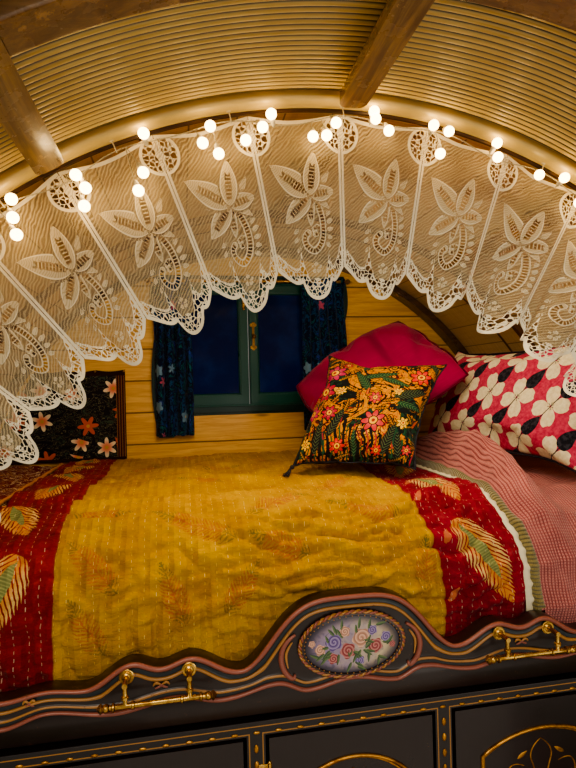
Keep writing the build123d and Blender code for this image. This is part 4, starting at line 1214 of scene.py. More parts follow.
def twisted(path, r, lay, gap):
    """Two insulated strands wound round each other."""
    p = np.asarray(path, float)
    d = np.r_[0, np.cumsum(np.linalg.norm(np.diff(p, axis=0), axis=1))]
    n = max(8, int(d[-1] / (lay / 5)))
    q = np.linspace(0, d[-1], n)
    p = np.stack([np.interp(q, d, p[:, k]) for k in range(3)], 1)
    _, a, b = frames(p)
    w = 2 * PI * q / lay
    res = []
    for ph in (0, PI):
        c = p + gap * (np.cos(w + ph)[:, None] * a + np.sin(w + ph)[:, None] * b)
        res.append(tube(c, r, 5))
    return res


def fairy_lights():
    wire_m = Mat("wire_pvc", spec=0.4, coat=0.2, coat_rough=0.2)
    wire_m.put("base", wire_m.mix(wire_m.noise(wire_m.obj(), 30.0, 3.0, 0.6), lin(206, 196, 166), lin(170, 158, 126)))
    wire_m.put("rough", wire_m.span(wire_m.noise(wire_m.obj(), 120.0, 3.0, 0.6), 0.2, 0.8, 0.3, 0.5))
    sock_m = Mat("socket_pvc", spec=0.4)
    sock_m.put("base", sock_m.mix(sock_m.noise(sock_m.obj(), 80.0, 3.0, 0.6), lin(196, 186, 158), lin(226, 218, 196)))
    sock_m.put("rough", sock_m.span(sock_m.noise(sock_m.obj(), 300.0, 2.0, 0.6), 0.2, 0.8, 0.32, 0.52))
    glow = Mat("frosted_globe", rough=0.42, emit_power=13.0)
    r = glow.noise(glow.obj(), 160.0, 3.0, 0.6)
    glow.put("base", glow.mix(r, lin(255, 236, 196), lin(255, 246, 224)))
    glow.put("emit", glow.mix(r, lin(255, 205, 130), lin(255, 222, 160)))
    glow.put("normal", glow.bump(r, 0.15, 0.0003))
    line = bspline(WIRE_PTS, 12)
    b = Build()
    for v, f in twisted(line, 0.00072, 0.014, 0.00070):
        b.add(v, f)
    # short leads from the run to each bunch, and sockets with their globes
    sockets, globes = Build(), Build()
    g = np.random.default_rng(21)
    for ang, group in BUNCHES:
        for da, rr in group:
            a = math.radians(ang + da)
            rr = rr / 1000
            c = np.array((rr * math.sin(a), BULB_Y, SPRING + rr * math.cos(a)))
            near = line[np.argmin(np.abs(np.arctan2(line[:, 0], line[:, 2] - SPRING) - (a + math.radians(g.uniform(-0.8, 0.8)))))]
            tip = near - c
            tip[1] = max(tip[1], 0.004)
            up = np.array((math.sin(a), 0.0, math.cos(a)))
            d = tip / (np.linalg.norm(tip) + 1e-9)
            d = d + 0.6 * up * (1 if rr < np.hypot(near[0], near[2] - SPRING) else -1) + np.array((0, 0.25, 0))
            d /= np.linalg.norm(d)
            globes.add(*lathe([(1e-8, -BULB_R)] + [(BULB_R * math.sin(t), -BULB_R * math.cos(t)) for t in np.linspace(0.3, PI * 0.86, 9)] + [(0.0040, BULB_R * 0.99), (1e-8, BULB_R * 1.0)],
                              c, d, 15))
            sockets.add(*lathe([(0.0046, BULB_R * 0.84), (0.0050, BULB_R * 0.92), (0.0050, BULB_R + 0.0042), (0.0042, BULB_R + 0.0052), (0.0042, BULB_R + 0.0085), (0.0022, BULB_R + 0.0112), (0.0010, BULB_R + 0.0118)],
                               c, d, 14))
            end = c + d * (BULB_R + 0.011)
            mid = (end + near) / 2 + d * 0.25 * np.linalg.norm(near - end) + np.array((0, -0.002, 0))
            lead = bspline([end, end + d * 0.006, mid, near], 6)
            for v, f in twisted(lead, 0.0006, 0.011, 0.0006):
                b.add(v, f)
    b.obj("light_wire", wire_m, slot="wire_pale", replaces=["light_string"])
    sockets.obj("light_sockets", sock_m, slot="wire_pale", angle=50)
    globes.obj("light_globes", glow, slot="bulb_warm", replaces=["light_bulbs"])
    # clear clips hold the run to the batten
    clips = Build()
    for k in range(1, 27, 2):
        p = np.array(WIRE_PTS[k])
        a = math.atan2(p[0], p[2] - SPRING)
        up = np.array((math.sin(a), 0, math.cos(a)))
        side = np.array((math.cos(a), 0, -math.sin(a)))
        near = line[np.argmin(np.linalg.norm(line - p, axis=1))]
        pts = [near + up * h + np.array((0, y, 0)) for h, y in ((0.018, 0.002), (0.008, -0.003), (-0.0005, -0.0032), (-0.0034, 0.0), (-0.0005, 0.0032), (0.003, 0.0028))]
        pts[0] = up * 1.0132 + np.array((0, -0.3735, SPRING))
        pts[1] = pts[0] * 0.45 + pts[2] * 0.55 + np.array((0, -0.0012, 0))
        v, f = tube(bspline(pts, 5), 0.0011, 6)
        clips.add(v, f)
        clips.add(*lathe([(0.0045, 0.0), (0.0045, 0.0012), (0.0030, 0.0020), (1e-8, 0.0022)], up * 1.0134 + np.array((0, -0.3735, SPRING)), -up, 12))
    clips.obj("wire_clips", sock_m, slot="wire_pale", angle=50)
    box_m = Mat("battery_plastic", spec=0.45)
    box_m.put("base", box_m.mix(box_m.noise(box_m.obj(), 50.0, 4.0, 0.6), lin(226, 222, 210), lin(206, 200, 186)))
    box_m.put("rough", box_m.span(box_m.noise(box_m.obj(), 600.0, 2.0, 0.5), 0.3, 0.7, 0.38, 0.56))
    box_m.put("normal", box_m.bump(box_m.noise(box_m.obj(), 900.0, 2.0, 0.5), 0.15, 0.0002))
    give("battery_box", box_m, 0.0028, 3)
    lid = Build()
    lid.add(*brick((0.9862, -0.3900, 0.712), (0.9878, -0.3540, 0.772), 0.0006))
    for k in range(4):
        lid.add(*brick((0.9852, -0.3820, 0.718 + k * 0.0032), (0.9866, -0.3620, 0.7196 + k * 0.0032), 0.0004))
    lid.add(*brick((0.9838, -0.3765, 0.7800), (0.9880, -0.3675, 0.7880), 0.0010))
    lid.add(*lathe([(0.0032, 0.0), (0.0030, 0.007), (0.0016, 0.010)], (1.003, -0.376, 0.7955), (0, 0, 1), 12))
    lid.obj("battery_lid_and_switch", box_m, slot="box_white", angle=40)


fairy_lights()


# =====================================================================
# printed motifs: each face carries the frame of the two motifs nearest to it
# =====================================================================
def stamp(o, pts, elements, reach=1.35):
    """pts: the print's own x, y for each vertex (a third value 1 leaves the face plain). elements: (x, y, angle, length, width, kind, tint)."""
    me = o.data
    p = np.asarray(pts, float)
    n = len(me.polygons)
    start = np.empty(n, np.int32)
    me.polygons.foreach_get("loop_start", start)
    total = np.empty(n, np.int32)
    me.polygons.foreach_get("loop_total", total)
    vi = np.empty(len(me.loops), np.int32)
    me.loops.foreach_get("vertex_index", vi)
    c = np.add.reduceat(p[vi], start, axis=0) / total[:, None]
    best = np.full((2, n), 1e9)
    who = np.zeros((2, n), int)
    for k, (x, y, a, ln, w, kind, tint) in enumerate(elements):
        dx, dy = c[:, 0] - x, c[:, 1] - y
        u, v = (dx * math.cos(a) + dy * math.sin(a)) / (ln / 2), (-dx * math.sin(a) + dy * math.cos(a)) / (w / 2)
        q = u * u + v * v
        if p.shape[1] > 2:
            q = q + np.where(c[:, 2] > 0.5, 1e8, 0)
        first = q < best[0]
        best[1] = np.where(first, best[0], np.minimum(best[1], q))
        who[1] = np.where(first, who[0], np.where(q <= best[1], k, who[1]))
        best[0] = np.where(first, q, best[0])
        who[0] = np.where(first, k, who[0])
    e = np.array([(x, y, a, ln, w, kind + min(0.99, max(0.0, tint))) for x, y, a, ln, w, kind, tint in elements])
    for lay in (0, 1):
        on = best[lay] < reach ** 2
        m = np.where(on[:, None], e[who[lay]], np.array((9.0, 9.0, 0.0, 1.0, 1.0, 0.0)))
        me.attributes.new(f"ma{lay}", "FLOAT_VECTOR", "FACE").data.foreach_set("vector", m[:, :3].astype(np.float32).ravel())
        me.attributes.new(f"mb{lay}", "FLOAT_VECTOR", "FACE").data.foreach_set("vector", m[:, 3:].astype(np.float32).ravel())
    q = np.zeros((len(p), 3), np.float32)
    q[:, :p.shape[1]] = p
    me.attributes.new("print", "FLOAT_VECTOR", "POINT").data.foreach_set("vector", q.ravel())


def motif(m, lay, wobble=0.0):
    """Along (-1 to 1), across (-1 to 1), in metres along and across, kind, tint of the motif on this face."""
    x, y, _ = m.sep(m.attrv("print"))
    if wobble:
        w = m.noise(m.attrv("print"), 55.0, 2.0, 0.5, colour=True)
        wx, wy, _ = m.sep(w)
        x, y = m.add(x, m.mul(m.sub(wx, 0.5), wobble)), m.add(y, m.mul(m.sub(wy, 0.5), wobble))
    cx, cy, a = m.sep(m.attrv(f"ma{lay}"))
    ln, w, k = m.sep(m.attrv(f"mb{lay}"))
    dx, dy = m.sub(x, cx), m.sub(y, cy)
    ca, sa = m.math("COSINE", a), m.math("SINE", a)
    am = m.add(m.mul(dx, ca), m.mul(dy, sa))
    bm = m.sub(m.mul(dy, ca), m.mul(dx, sa))
    kind = m.math("FLOOR", k)
    return m.math("DIVIDE", am, m.mul(ln, 0.5)), m.math("DIVIDE", bm, m.mul(w, 0.5)), am, bm, kind, m.fract(k)


def is_kind(m, kind, k):
    return m.band(kind, k - 0.5, k + 0.5)


# =====================================================================
# bedding
# =====================================================================
BV1, BR, NOM = 0.088, 0.108, 0.0445
BV2 = BV1 + (BR + NOM) * PI / 2
FOOT = -0.044


def bed_point(x, v, d, back=0.748):
    """A point d off the mattress. v runs up its front, round the edge, back along the top and down at the wall."""
    x, v, d = np.broadcast_arrays(x, v, d)
    rb = 0.034
    v3 = BV2 + back - rb + 0.150
    v4 = v3 + rb * PI / 2
    th = np.clip((v - BV1) / (BR + NOM), 0, PI / 2)
    ph = np.clip((v - v3) / rb, 0, PI / 2)
    y = np.where(v < BV1, -0.258 - d, -0.150 - (BR + d) * np.cos(th))
    z = np.where(v < BV1, 0.962 + v, 1.050 + (BR + d) * np.sin(th))
    y = np.where(v >= BV2, -0.150 + (v - BV2), y)
    y = np.where(v >= v3, back - rb + rb * np.sin(ph), y)
    z = np.where(v >= v3, 1.158 + d - rb * (1 - np.cos(ph)), z)
    z = np.where(v >= v4, 1.158 + d - rb - (v - v4), z)
    return np.stack([x, y, z], -1)


def rail_top(x):
    return 0.940 + curve_at(RAIL_TOP, np.abs(x))


RAIL_TOP = [(0, 124), (207, 10), (295, 43), (345, 31), (392, 44), (475, 8), (530, 13), (605, 4), (700, 36), (790, 10), (880, 30), (985, 6)]
RAIL_LOW = [(0, -34), (85, -47), (140, -29), (240, -45), (320, -31), (425, -45), (531, -30), (606, -48), (700, -30), (800, -46), (900, -30), (985, -44)]


def curve_at(table, x):
    """Height in metres at x metres: smooth swings from one turning point to the next, full-shouldered over the crest."""
    t = np.array(table, float) / 1000
    x = np.clip(np.asarray(x, float), 0, t[-1, 0])
    k = np.clip(np.searchsorted(t[:, 0], x, side="right") - 1, 0, len(t) - 2)
    h = (x - t[k, 0]) / (t[k + 1, 0] - t[k, 0])
    if table is RAIL_TOP:
        h = np.where(k == 0, h ** 1.9, h)
    return t[k, 1] + (t[k + 1, 1] - t[k, 1]) * (1 - np.cos(PI * h)) / 2


def clear_of_rail(x, v, d):
    """Low on the front the cloth is pressed flat by the rail in front of it."""
    z = 0.962 + v
    room = 0.0525 + 0.05 * smooth(z - rail_top(x), 0.004, 0.05)
    return np.where(v < BV2, np.minimum(d, room), d)


def drift(x, v):
    """Sideways pull of the cloth toward the middle at the front edge, on the right."""
    return (-0.026 * np.exp(-((v - 0.26) / 0.10) ** 2) + 0.006 * np.exp(-((v - 0.02) / 0.08) ** 2)) * smooth(x, -0.05, 0.36)


def ridge(phase, sharp):
    return (1 - np.abs(np.sin(phase / 2))) ** sharp


def puff(phase, k=0.6):
    """Soft rolls with a tight crease between them."""
    return np.abs(np.sin(phase / 2)) ** k - 0.6


def quilt_off(x, v):
    big = waves(41, 14, 0.14, 0.55)
    mid = waves(42, 22, 0.045, 0.12, (PI / 2, 0.55))
    fine = waves(43, 26, 0.018, 0.036, (PI / 2, 0.45))
    left = smooth(-x, -0.10, 0.35)
    d = NOM + 0.0050 * big(x, v) + 0.0022 * mid(x, v) + 0.0013 * fine(x, v)
    d = d + 0.015 * np.exp(-((v - 0.385) / 0.045) ** 2) * (0.30 + 0.70 * left) - 0.010 * np.exp(-((v - 0.465) / 0.045) ** 2) * left
    d = d + 0.008 * np.exp(-((v - 0.66 - 0.12 * x) / 0.05) ** 2) * smooth(-x, -0.25, 0.2)
    sway, vary = waves(44, 9, 0.12, 0.5), waves(45, 12, 0.05, 0.16, (PI / 2, 0.7))
    a = smooth(x, -0.30, -0.10) * (1 - smooth(x, 0.27, 0.38)) * smooth(v, 0.0, 0.04) * (1 - smooth(v, 0.25, 0.38))
    ph = 2 * PI * (v / 0.041 + 0.50 * np.sin(2 * PI * x / 0.62 + 0.9) + 0.16 * np.sin(2 * PI * x / 0.19) + 0.22 * sway(x, v))
    d = d + a * 0.0190 * puff(ph, 0.5) * (0.75 + 0.45 * vary(x, v))
    ph = 2 * PI * (v / 0.0235 + 0.70 * np.sin(2 * PI * x / 0.47 + 2.0) + 0.18 * np.sin(2 * PI * x / 0.13) + 0.30 * sway(x + 3, v))
    d = d + a * 0.0060 * puff(ph, 0.7) * (0.7 + 0.5 * vary(x + 5, v))
    ph = 2 * PI * (v / 0.060 + 0.40 * np.sin(2 * PI * x / 0.83 + 2.4) + 0.12 * np.sin(2 * PI * x / 0.27) + 0.3 * sway(x, v + 2))
    b = smooth(v, 0.02, 0.10) * (1 - smooth(v, 0.30, 0.44)) * (1 - smooth(np.abs(x + 0.32), 0.20, 0.34))
    d = d + b * 0.0105 * puff(ph, 0.65) * (0.7 + 0.5 * vary(x, v + 4))
    c = smooth(v, 0.36, 0.48)
    ph = 2 * PI * (v / 0.105 + 0.45 * np.sin(2 * PI * x / 0.9 + 0.4) + 0.35 * sway(x + 7, v))
    d = d + c * 0.0060 * puff(ph, 0.7) * (0.6 + 0.6 * vary(x, v + 8))
    g = smooth(-x, 0.16, 0.28) * (1 - smooth(-x, 0.60, 0.69)) * (1 - smooth(v, 0.08, 0.26))
    ph = 2 * PI * (x / 0.056 + 0.45 * np.sin(2 * PI * v / 0.27 + 0.6) + 0.5 * v / 0.06 * (0.5 + x) + 0.25 * sway(x, v))
    d = d + g * 0.0150 * puff(ph, 0.65)
    g2 = smooth(x, 0.18, 0.26) * (1 - smooth(v, 0.06, 0.20))
    ph = 2 * PI * (x / 0.050 + 0.40 * np.sin(2 * PI * v / 0.24 + 1.1))
    d = d + g2 * 0.0080 * puff(ph, 0.7)
    pk = np.abs(np.sin(PI * x / 0.022)) ** 0.8
    dash = 0.72 + 0.28 * np.cos(2 * PI * (v / 0.0132 + 0.37 * np.floor(x / 0.022 + 0.5)))
    return d + 0.0019 * pk * dash


def side_round(x, x0, x1, width=0.024, low=0.0035):
    """Brings the offset down to the mattress at both long edges."""
    e = np.clip(np.minimum(x - x0, x1 - x) / width, 0, 1)
    return np.sqrt(np.clip(1 - (1 - e) ** 2, 0, 1)) * (1 - low) + low


QX0, QX1 = -0.7055, 0.3925
QLEN = BV2 + 0.748 - 0.034 + 0.150 + 0.034 * PI / 2 + 0.030


def cloth_grid(name, xs, vs, off, mat, slot, node, lay_on, print_shift=True, flip=False, **kw):
    x, v = np.meshgrid(xs, vs, indexing="ij")
    d = off(x, v)
    p = bed_point(x + drift(x, v), v, d)
    f = quads(len(xs), len(vs))
    b = Build().add(p.reshape(-1, 3), f, uv=np.stack([x, v], -1).reshape(-1, 2))
    o = b.obj(name, mat, slot=slot, replaces=[node] if node else [], **kw)
    return o, x, v, p


def quilt_elements():
    """Block-printed feathers on the yellow and plumed leaves on the crimson borders."""
    out = []

    def add(x0, v0, x1, v1, w, kind, tint=0.3):
        dx, dv = x1 - x0, v1 - v0
        out.append(((x0 + x1) / 2, (v0 + v1) / 2, math.atan2(dv, dx), math.hypot(dx, dv), w, kind, tint))

    feathers = [(-0.518, 0.32, -0.40, 0.305), (-0.200, 0.205, -0.365, 0.290), (-0.172, 0.262, -0.020, 0.350), (0.172, 0.232, -0.006, 0.292), (-0.200, 0.575, -0.328, 0.672),
                (0.012, 0.44, 0.150, 0.570), (-0.355, 0.640, -0.490, 0.775), (0.010, 1.000, -0.125, 1.040), (-0.060, 0.165, -0.180, 0.215), (0.158, 0.085, 0.192, 0.185),
                (-0.225, 0.070, -0.160, 0.165), (-0.420, 0.125, -0.520, 0.235), (-0.445, 0.015, -0.505, 0.125), (-0.30, 0.060, -0.345, 0.175), (0.060, 0.045, -0.040, 0.105),
                (-0.060, 0.620, 0.055, 0.735), (0.120, 0.700, 0.170, 0.850), (-0.470, 0.940, -0.360, 1.030), (-0.245, 0.850, -0.120, 0.910), (-0.300, 1.060, -0.210, 1.150), (-0.390, 0.430, -0.270, 0.500),
                (-0.130, 0.455, -0.020, 0.480), (0.075, 0.930, 0.165, 1.010), (-0.140, 0.745, -0.250, 0.770)]
    for a in feathers:
        add(*a, 0.056, 1, 0.3)
    for k, (x0, v0, x1, v1) in enumerate([(0.262, 0.470, 0.322, 0.270), (0.272, 0.215, 0.352, 0.035), (0.345, 0.740, 0.270, 0.560), (0.272, 0.985, 0.345, 0.810), (0.340, 1.200, 0.280, 1.040)]):
        add(x0, v0, x1, v1, 0.088, 2, 0.3 + 0.1 * (k % 3))
    for k, (x0, v0, x1, v1) in enumerate([(-0.590, 0.690, -0.632, 0.500), (-0.600, 1.075, -0.655, 0.930), (-0.648, 0.900, -0.590, 0.740), (-0.655, 0.400, -0.590, 0.255), (-0.590, 0.205, -0.650, 0.060), (-0.610, 1.210, -0.650, 1.100)]):
        add(x0, v0, x1, v1, 0.082, 2, 0.35 + 0.1 * (k % 3))
    for k in range(10):
        add(0.215 + 0.012 * (k % 2), 0.05 + 0.115 * k, 0.235 + 0.012 * (k % 2), 0.08 + 0.115 * k, 0.016, 3, 0.2)
    return out


def quilt_material():
    m = Mat("kantha_quilt", sheen=0.05, sheen_rough=0.4, spec=0.18)
    uv = m.uv()
    x, v, _ = m.sep(uv)
    wob = m.mul(m.sub(m.noise(uv, 5.0, 2.0, 0.5), 0.5), 0.012)
    xw = m.add(x, wob)
    red = m.mx(m.lt(xw, -0.530), m.gt(xw, 0.205))
    cloud = m.noise(uv, 9.0, 4.0, 0.6)
    slub = m.noise(m.map(uv, scale=(900.0, 55.0, 1.0)), 1.0, 3.0, 0.6)
    slub2 = m.noise(m.map(uv, scale=(60.0, 820.0, 1.0)), 1.0, 3.0, 0.6)
    mott = m.noise(uv, 46.0, 5.0, 0.68)
    yellow = m.mix(m.ramp01(cloud, 0.30, 0.72), lin(168, 117, 2), lin(197, 150, 5))
    yellow = m.mix(m.mul(m.ramp01(mott, 0.50, 0.74), 0.34), yellow, lin(208, 170, 20))
    yellow = m.mix(m.mul(m.ramp01(m.add(slub, slub2), 1.02, 1.32), 0.30), yellow, lin(168, 112, 8))
    crimson = m.mix(m.ramp01(cloud, 0.30, 0.72), lin(116, 10, 26), lin(158, 22, 48))
    crimson = m.mix(m.lt(x, 0.0), crimson, m.mix(m.ramp01(cloud, 0.3, 0.72), lin(112, 12, 12), lin(150, 24, 22)))
    crimson = m.mix(m.mul(m.ramp01(mott, 0.52, 0.76), 0.40), crimson, lin(196, 84, 84))
    tone = m.mix(red, yellow, crimson)
    # a darker, faintly patterned line where the border meets the ground
    near = m.mn(m.absv(m.sub(xw, -0.530)), m.absv(m.sub(xw, 0.205)))
    tone = m.mix(m.mul(m.inv(m.ramp01(near, 0.0, 0.006)), 0.35), tone, lin(120, 40, 16))
    for lay in (1, 0):
        a, b, am, bm, kind, tint = motif(m, lay, 0.004)
        a1 = m.mul(m.add(a, 1.0), 0.5)
        ba = m.absv(b)
        jit = m.mul(m.sub(m.noise(uv, 60.0, 2.0, 0.5), 0.5), 1.5)
        bar = m.fract(m.add(m.sub(m.mul(am, 128.0), m.mul(m.absv(bm), 110.0)), jit))
        stroke = m.mul(m.band(bar, 0.08, 0.62, 0.10), m.ramp01(m.noise(uv, 330.0, 2.0, 0.6), 0.36, 0.50))
        env = m.math("POWER", m.math("SINE", m.mul(PI, m.math("POWER", m.mx(m.mn(a1, 1.0), 0.0), 0.70))), 0.75)
        jag = m.add(0.70, m.mul(bar, 0.34))
        inside = m.mul(m.mul(m.lt(ba, m.mul(env, jag)), m.gt(a1, 0.01)), m.lt(a1, 0.99))
        spine = m.mul(m.lt(m.absv(bm), 0.0012), m.band(a1, 0.0, 0.95))
        # feathers
        f1 = is_kind(m, kind, 1)
        fc = m.mix(m.gt(a1, 0.72), m.mix(m.noise(uv, 70.0, 2.0, 0.5), lin(142, 66, 44), lin(190, 96, 70)), lin(58, 92, 62))
        fc = m.mix(m.lt(a1, 0.16), fc, lin(84, 92, 60))
        ink = m.mul(m.mx(m.mul(inside, stroke), spine), f1)
        fade = m.span(m.noise(uv, 38.0, 3.0, 0.6), 0.3, 0.7, 0.34, 0.90)
        tone = m.mix(m.mul(ink, fade), tone, fc)
        tone = m.mix(m.mul(m.mul(inside, f1), 0.12), tone, lin(186, 122, 50))
        # plumes
        f2 = is_kind(m, kind, 2)
        bar2 = m.fract(m.sub(m.mul(am, 78.0), m.mul(m.absv(bm), 105.0)))
        jag2 = m.add(0.62, m.mul(bar2, 0.42))
        in2 = m.mul(m.mul(m.lt(ba, m.mul(env, jag2)), m.gt(a1, 0.01)), m.lt(a1, 0.99))
        pc = m.mix(m.ramp01(ba, 0.2, 0.9), lin(214, 146, 62), lin(226, 196, 120))
        pc = m.mix(m.band(bar2, 0.0, 0.26, 0.05), pc, lin(170, 62, 44))
        core = m.mul(m.lt(ba, m.mul(m.math("SINE", m.mul(PI, m.mx(m.mn(m.mul(m.sub(a1, 0.06), 1.55), 1.0), 0.0))), 0.30)), m.band(a1, 0.06, 0.70))
        pc = m.mix(core, pc, m.mix(m.band(m.fract(m.mul(am, 190.0)), 0.1, 0.5), lin(118, 132, 76), lin(150, 156, 96)))
        ray = m.inv(m.mul(m.band(bar2, 0.0, 0.36, 0.05), m.gt(ba, 0.26)))
        tone = m.mix(m.mul(m.mul(m.mul(in2, f2), ray), 0.90), tone, pc)
        # border sprigs
        f3 = is_kind(m, kind, 3)
        tone = m.mix(m.mul(m.mul(m.lt(ba, env), f3), 0.7), tone, lin(206, 120, 72))
    # running stitch, rows 22 mm apart
    col = m.add(m.mul(x, 1 / 0.022), 0.5)
    k = m.math("FLOOR", col)
    off = m.mul(m.white(m.comb(k, 2.0, 0.0)), 1.0)
    sway = m.mul(m.sub(m.noise(m.comb(m.mul(k, 3.1), m.mul(v, 9.0), 0.0), 1.0, 2.0, 0.5), 0.5), 0.10)
    across = m.absv(m.add(m.sub(m.fract(col), 0.5), sway))
    f = m.fract(m.add(m.mul(v, 1 / 0.0132), off))
    dash = m.white(m.comb(k, m.math("FLOOR", m.add(m.mul(v, 1 / 0.0132), off)), 7.0))
    thread = m.mul(m.lt(across, m.span(dash, 0, 1, 0.024, 0.036)), m.band(f, 0.12, m.span(dash, 0, 1, 0.42, 0.66)))
    worn = m.span(m.noise(uv, 15.0, 3.0, 0.6), 0.32, 0.68, 0.22, 0.80)
    tone = m.mix(m.mul(m.mul(thread, worn), m.span(dash, 0, 1, 0.55, 1.0)), tone, m.mix(red, lin(238, 214, 140), lin(232, 208, 176)))
    m.put("base", tone)
    m.put("rough", m.span(mott, 0.3, 0.7, 0.78, 0.92))
    # puckers drawn in by the stitches
    lines = m.mul(m.math("POWER", m.math("SINE", m.mul(m.fract(col), PI)), 0.7), 1.0)
    cr = m.noise(m.map(uv, scale=(46.0, 120.0, 1.0)), 1.0, 4.0, 0.62, 0.5)
    cr2 = m.noise(m.map(uv, scale=(17.0, 52.0, 1.0)), 1.0, 3.0, 0.6, 0.8)
    h = m.add(m.add(m.mul(cr, 1.4), m.mul(cr2, 1.1)), m.mul(thread, -0.35))
    h = m.add(h, m.mul(m.inv(lines), 0.7))
    h = m.add(h, m.mul(m.add(slub, slub2), 0.16))
    m.put("normal", m.bump(h, 1.0, 0.0032))
    return m


def quilt():
    mat = quilt_material()
    xs = np.linspace(QX0, QX1, 281)
    vs = np.concatenate([np.linspace(FOOT, 0.42, 116)[:-1], np.linspace(0.42, QLEN, 76)])
    off = lambda x, v: clear_of_rail(x, v, quilt_off(x, v) * side_round(x, QX0, QX1, 0.020, 0.16))
    o, x, v, p = cloth_grid("kantha_quilt", xs, vs, off, mat, "quilt_cotton", "quilt", ["mattress"])
    stamp(o, np.stack([x, v], -1).reshape(-1, 2), quilt_elements(), 1.08)
    # bound edge on the left, loose frilled lining on the right
    t = np.linspace(FOOT, QLEN, 420)
    d = clear_of_rail(QX0 + 0.004 + 0 * t, t, NOM * 0.86 + 0.0016 * np.sin(t * 91.0))
    bind = Mat("quilt_binding", sheen=0.2, sheen_rough=0.5, spec=0.25)
    cv = bind.sep(bind.obj())[1]
    bind.put("base", bind.mix(bind.noise(bind.obj(), 120.0, 3.0, 0.6), lin(196, 112, 24), lin(222, 150, 50)))
    bind.put("rough", 0.85)
    bind.put("normal", bind.bump(bind.math("SINE", bind.mul(cv, 2 * PI / 0.0042)), 0.4, 0.0006))
    path = bed_point(QX0 + 0.003 + 0 * t, t, d * 0.80)
    e1 = Build().add(*tube(path, 0.0055, 8)).obj("quilt_binding_left", bind, slot="quilt_cotton")
    lining = Mat("quilt_lining", sheen=0.2, sheen_rough=0.5, spec=0.2)
    lining.put("base", lining.mix(lining.noise(lining.obj(), 90.0, 4.0, 0.6), lin(222, 208, 168), lin(240, 230, 200)))
    lining.put("rough", 0.88)
    lining.put("normal", lining.bump(lining.noise(lining.map(lining.obj(), scale=(1, 6, 1)), 60.0, 4.0, 0.6), 0.5, 0.001))
    tt = np.linspace(FOOT, QLEN, 520)[None, :]
    s = np.linspace(0, 1, 9)[:, None]
    fr = np.sin(2 * PI * tt / 0.034 + 1.6 * np.sin(tt * 17)) * 0.5 + 0.3 * np.sin(2 * PI * tt / 0.017 + 1)
    xx = QX1 - 0.012 + 0.024 * s + 0.0035 * fr * s ** 1.5
    dd = clear_of_rail(xx + 0 * tt, tt + 0 * s, 0.0435 + 0.0045 * np.sin(PI * s) + 0.004 * fr * s - 0.010 * s ** 2)
    pp = bed_point(xx + drift(xx, tt), tt + 0 * s, dd)
    e2 = Build().add(pp.reshape(-1, 3), quads(9, 520)).obj("quilt_lining_frill", lining, slot="quilt_cotton")


quilt()


def bed_spread():
    """The older cover that shows beyond the quilt on the left: dark red with cream scrolls."""
    m = Mat("scroll_spread", sheen=0.05, sheen_rough=0.4, spec=0.18)
    uv = m.uv()
    n1 = m.noise(uv, 15.0, 2.5, 0.55, 1.6)
    n2 = m.noise(m.map(uv, loc=(3.1, 1.7, 0.0)), 26.0, 2.0, 0.5, 2.4)
    tone = m.mix(m.noise(uv, 40.0, 4.0, 0.6), lin(96, 14, 22), lin(128, 26, 32))
    tone = m.mix(m.band(n1, 0.485, 0.515, 0.004), tone, lin(226, 204, 160))
    tone = m.mix(m.band(n1, 0.585, 0.607, 0.004), tone, lin(214, 176, 120))
    tone = m.mix(m.band(n2, 0.62, 0.70, 0.006), tone, lin(196, 130, 62))
    tone = m.mix(m.band(n2, 0.645, 0.675, 0.006), tone, lin(110, 24, 28))
    tone = m.mix(m.band(n2, 0.33, 0.36, 0.004), tone, lin(206, 178, 130))
    m.put("base", tone)
    m.put("rough", m.span(m.noise(uv, 60.0, 3.0, 0.6), 0.3, 0.7, 0.78, 0.92))
    x, v, _ = m.sep(uv)
    weave = m.mul(m.math("SINE", m.mul(x, 2 * PI / 0.0014)), m.math("SINE", m.mul(v, 2 * PI / 0.0014)))
    m.put("normal", m.bump(m.add(m.mul(weave, 0.3), m.noise(m.map(uv, scale=(40.0, 90.0, 1.0)), 1.0, 4.0, 0.6)), 0.55, 0.0012))
    x0, x1 = -0.968, -0.7065
    big, fine = waves(51, 12, 0.10, 0.35), waves(52, 18, 0.03, 0.07, (PI / 2, 0.6))
    off = lambda x, v: clear_of_rail(x, v, (0.0375 + 0.0035 * big(x, v) + 0.0012 * fine(x, v)) * side_round(x, x0, x1, 0.022, 0.12))
    o, x, v, p = cloth_grid("scroll_spread", np.linspace(x0, x1, 56), np.linspace(FOOT, QLEN - 0.01, 190), off, m, "spread_cotton", "bed_spread", ["mattress"])
    t = np.linspace(FOOT, QLEN - 0.01, 360)
    path = bed_point(x1 - 0.010 + 0 * t, t, 0.0400 + 0.001 * np.sin(t * 60))
    pm = Mat("gold_piping", sheen=0.15, sheen_rough=0.4, spec=0.35)
    cv = pm.sep(pm.obj())[1]
    pm.put("base", pm.mix(pm.noise(pm.obj(), 90.0, 3.0, 0.6), lin(190, 112, 30), lin(226, 156, 58)))
    pm.put("rough", 0.7)
    pm.put("normal", pm.bump(pm.math("SINE", pm.mul(cv, 2 * PI / 0.003)), 0.5, 0.0005))
    e = Build().add(*tube(path, 0.0046, 8)).obj("spread_piping", pm, slot="spread_cotton")


bed_spread()


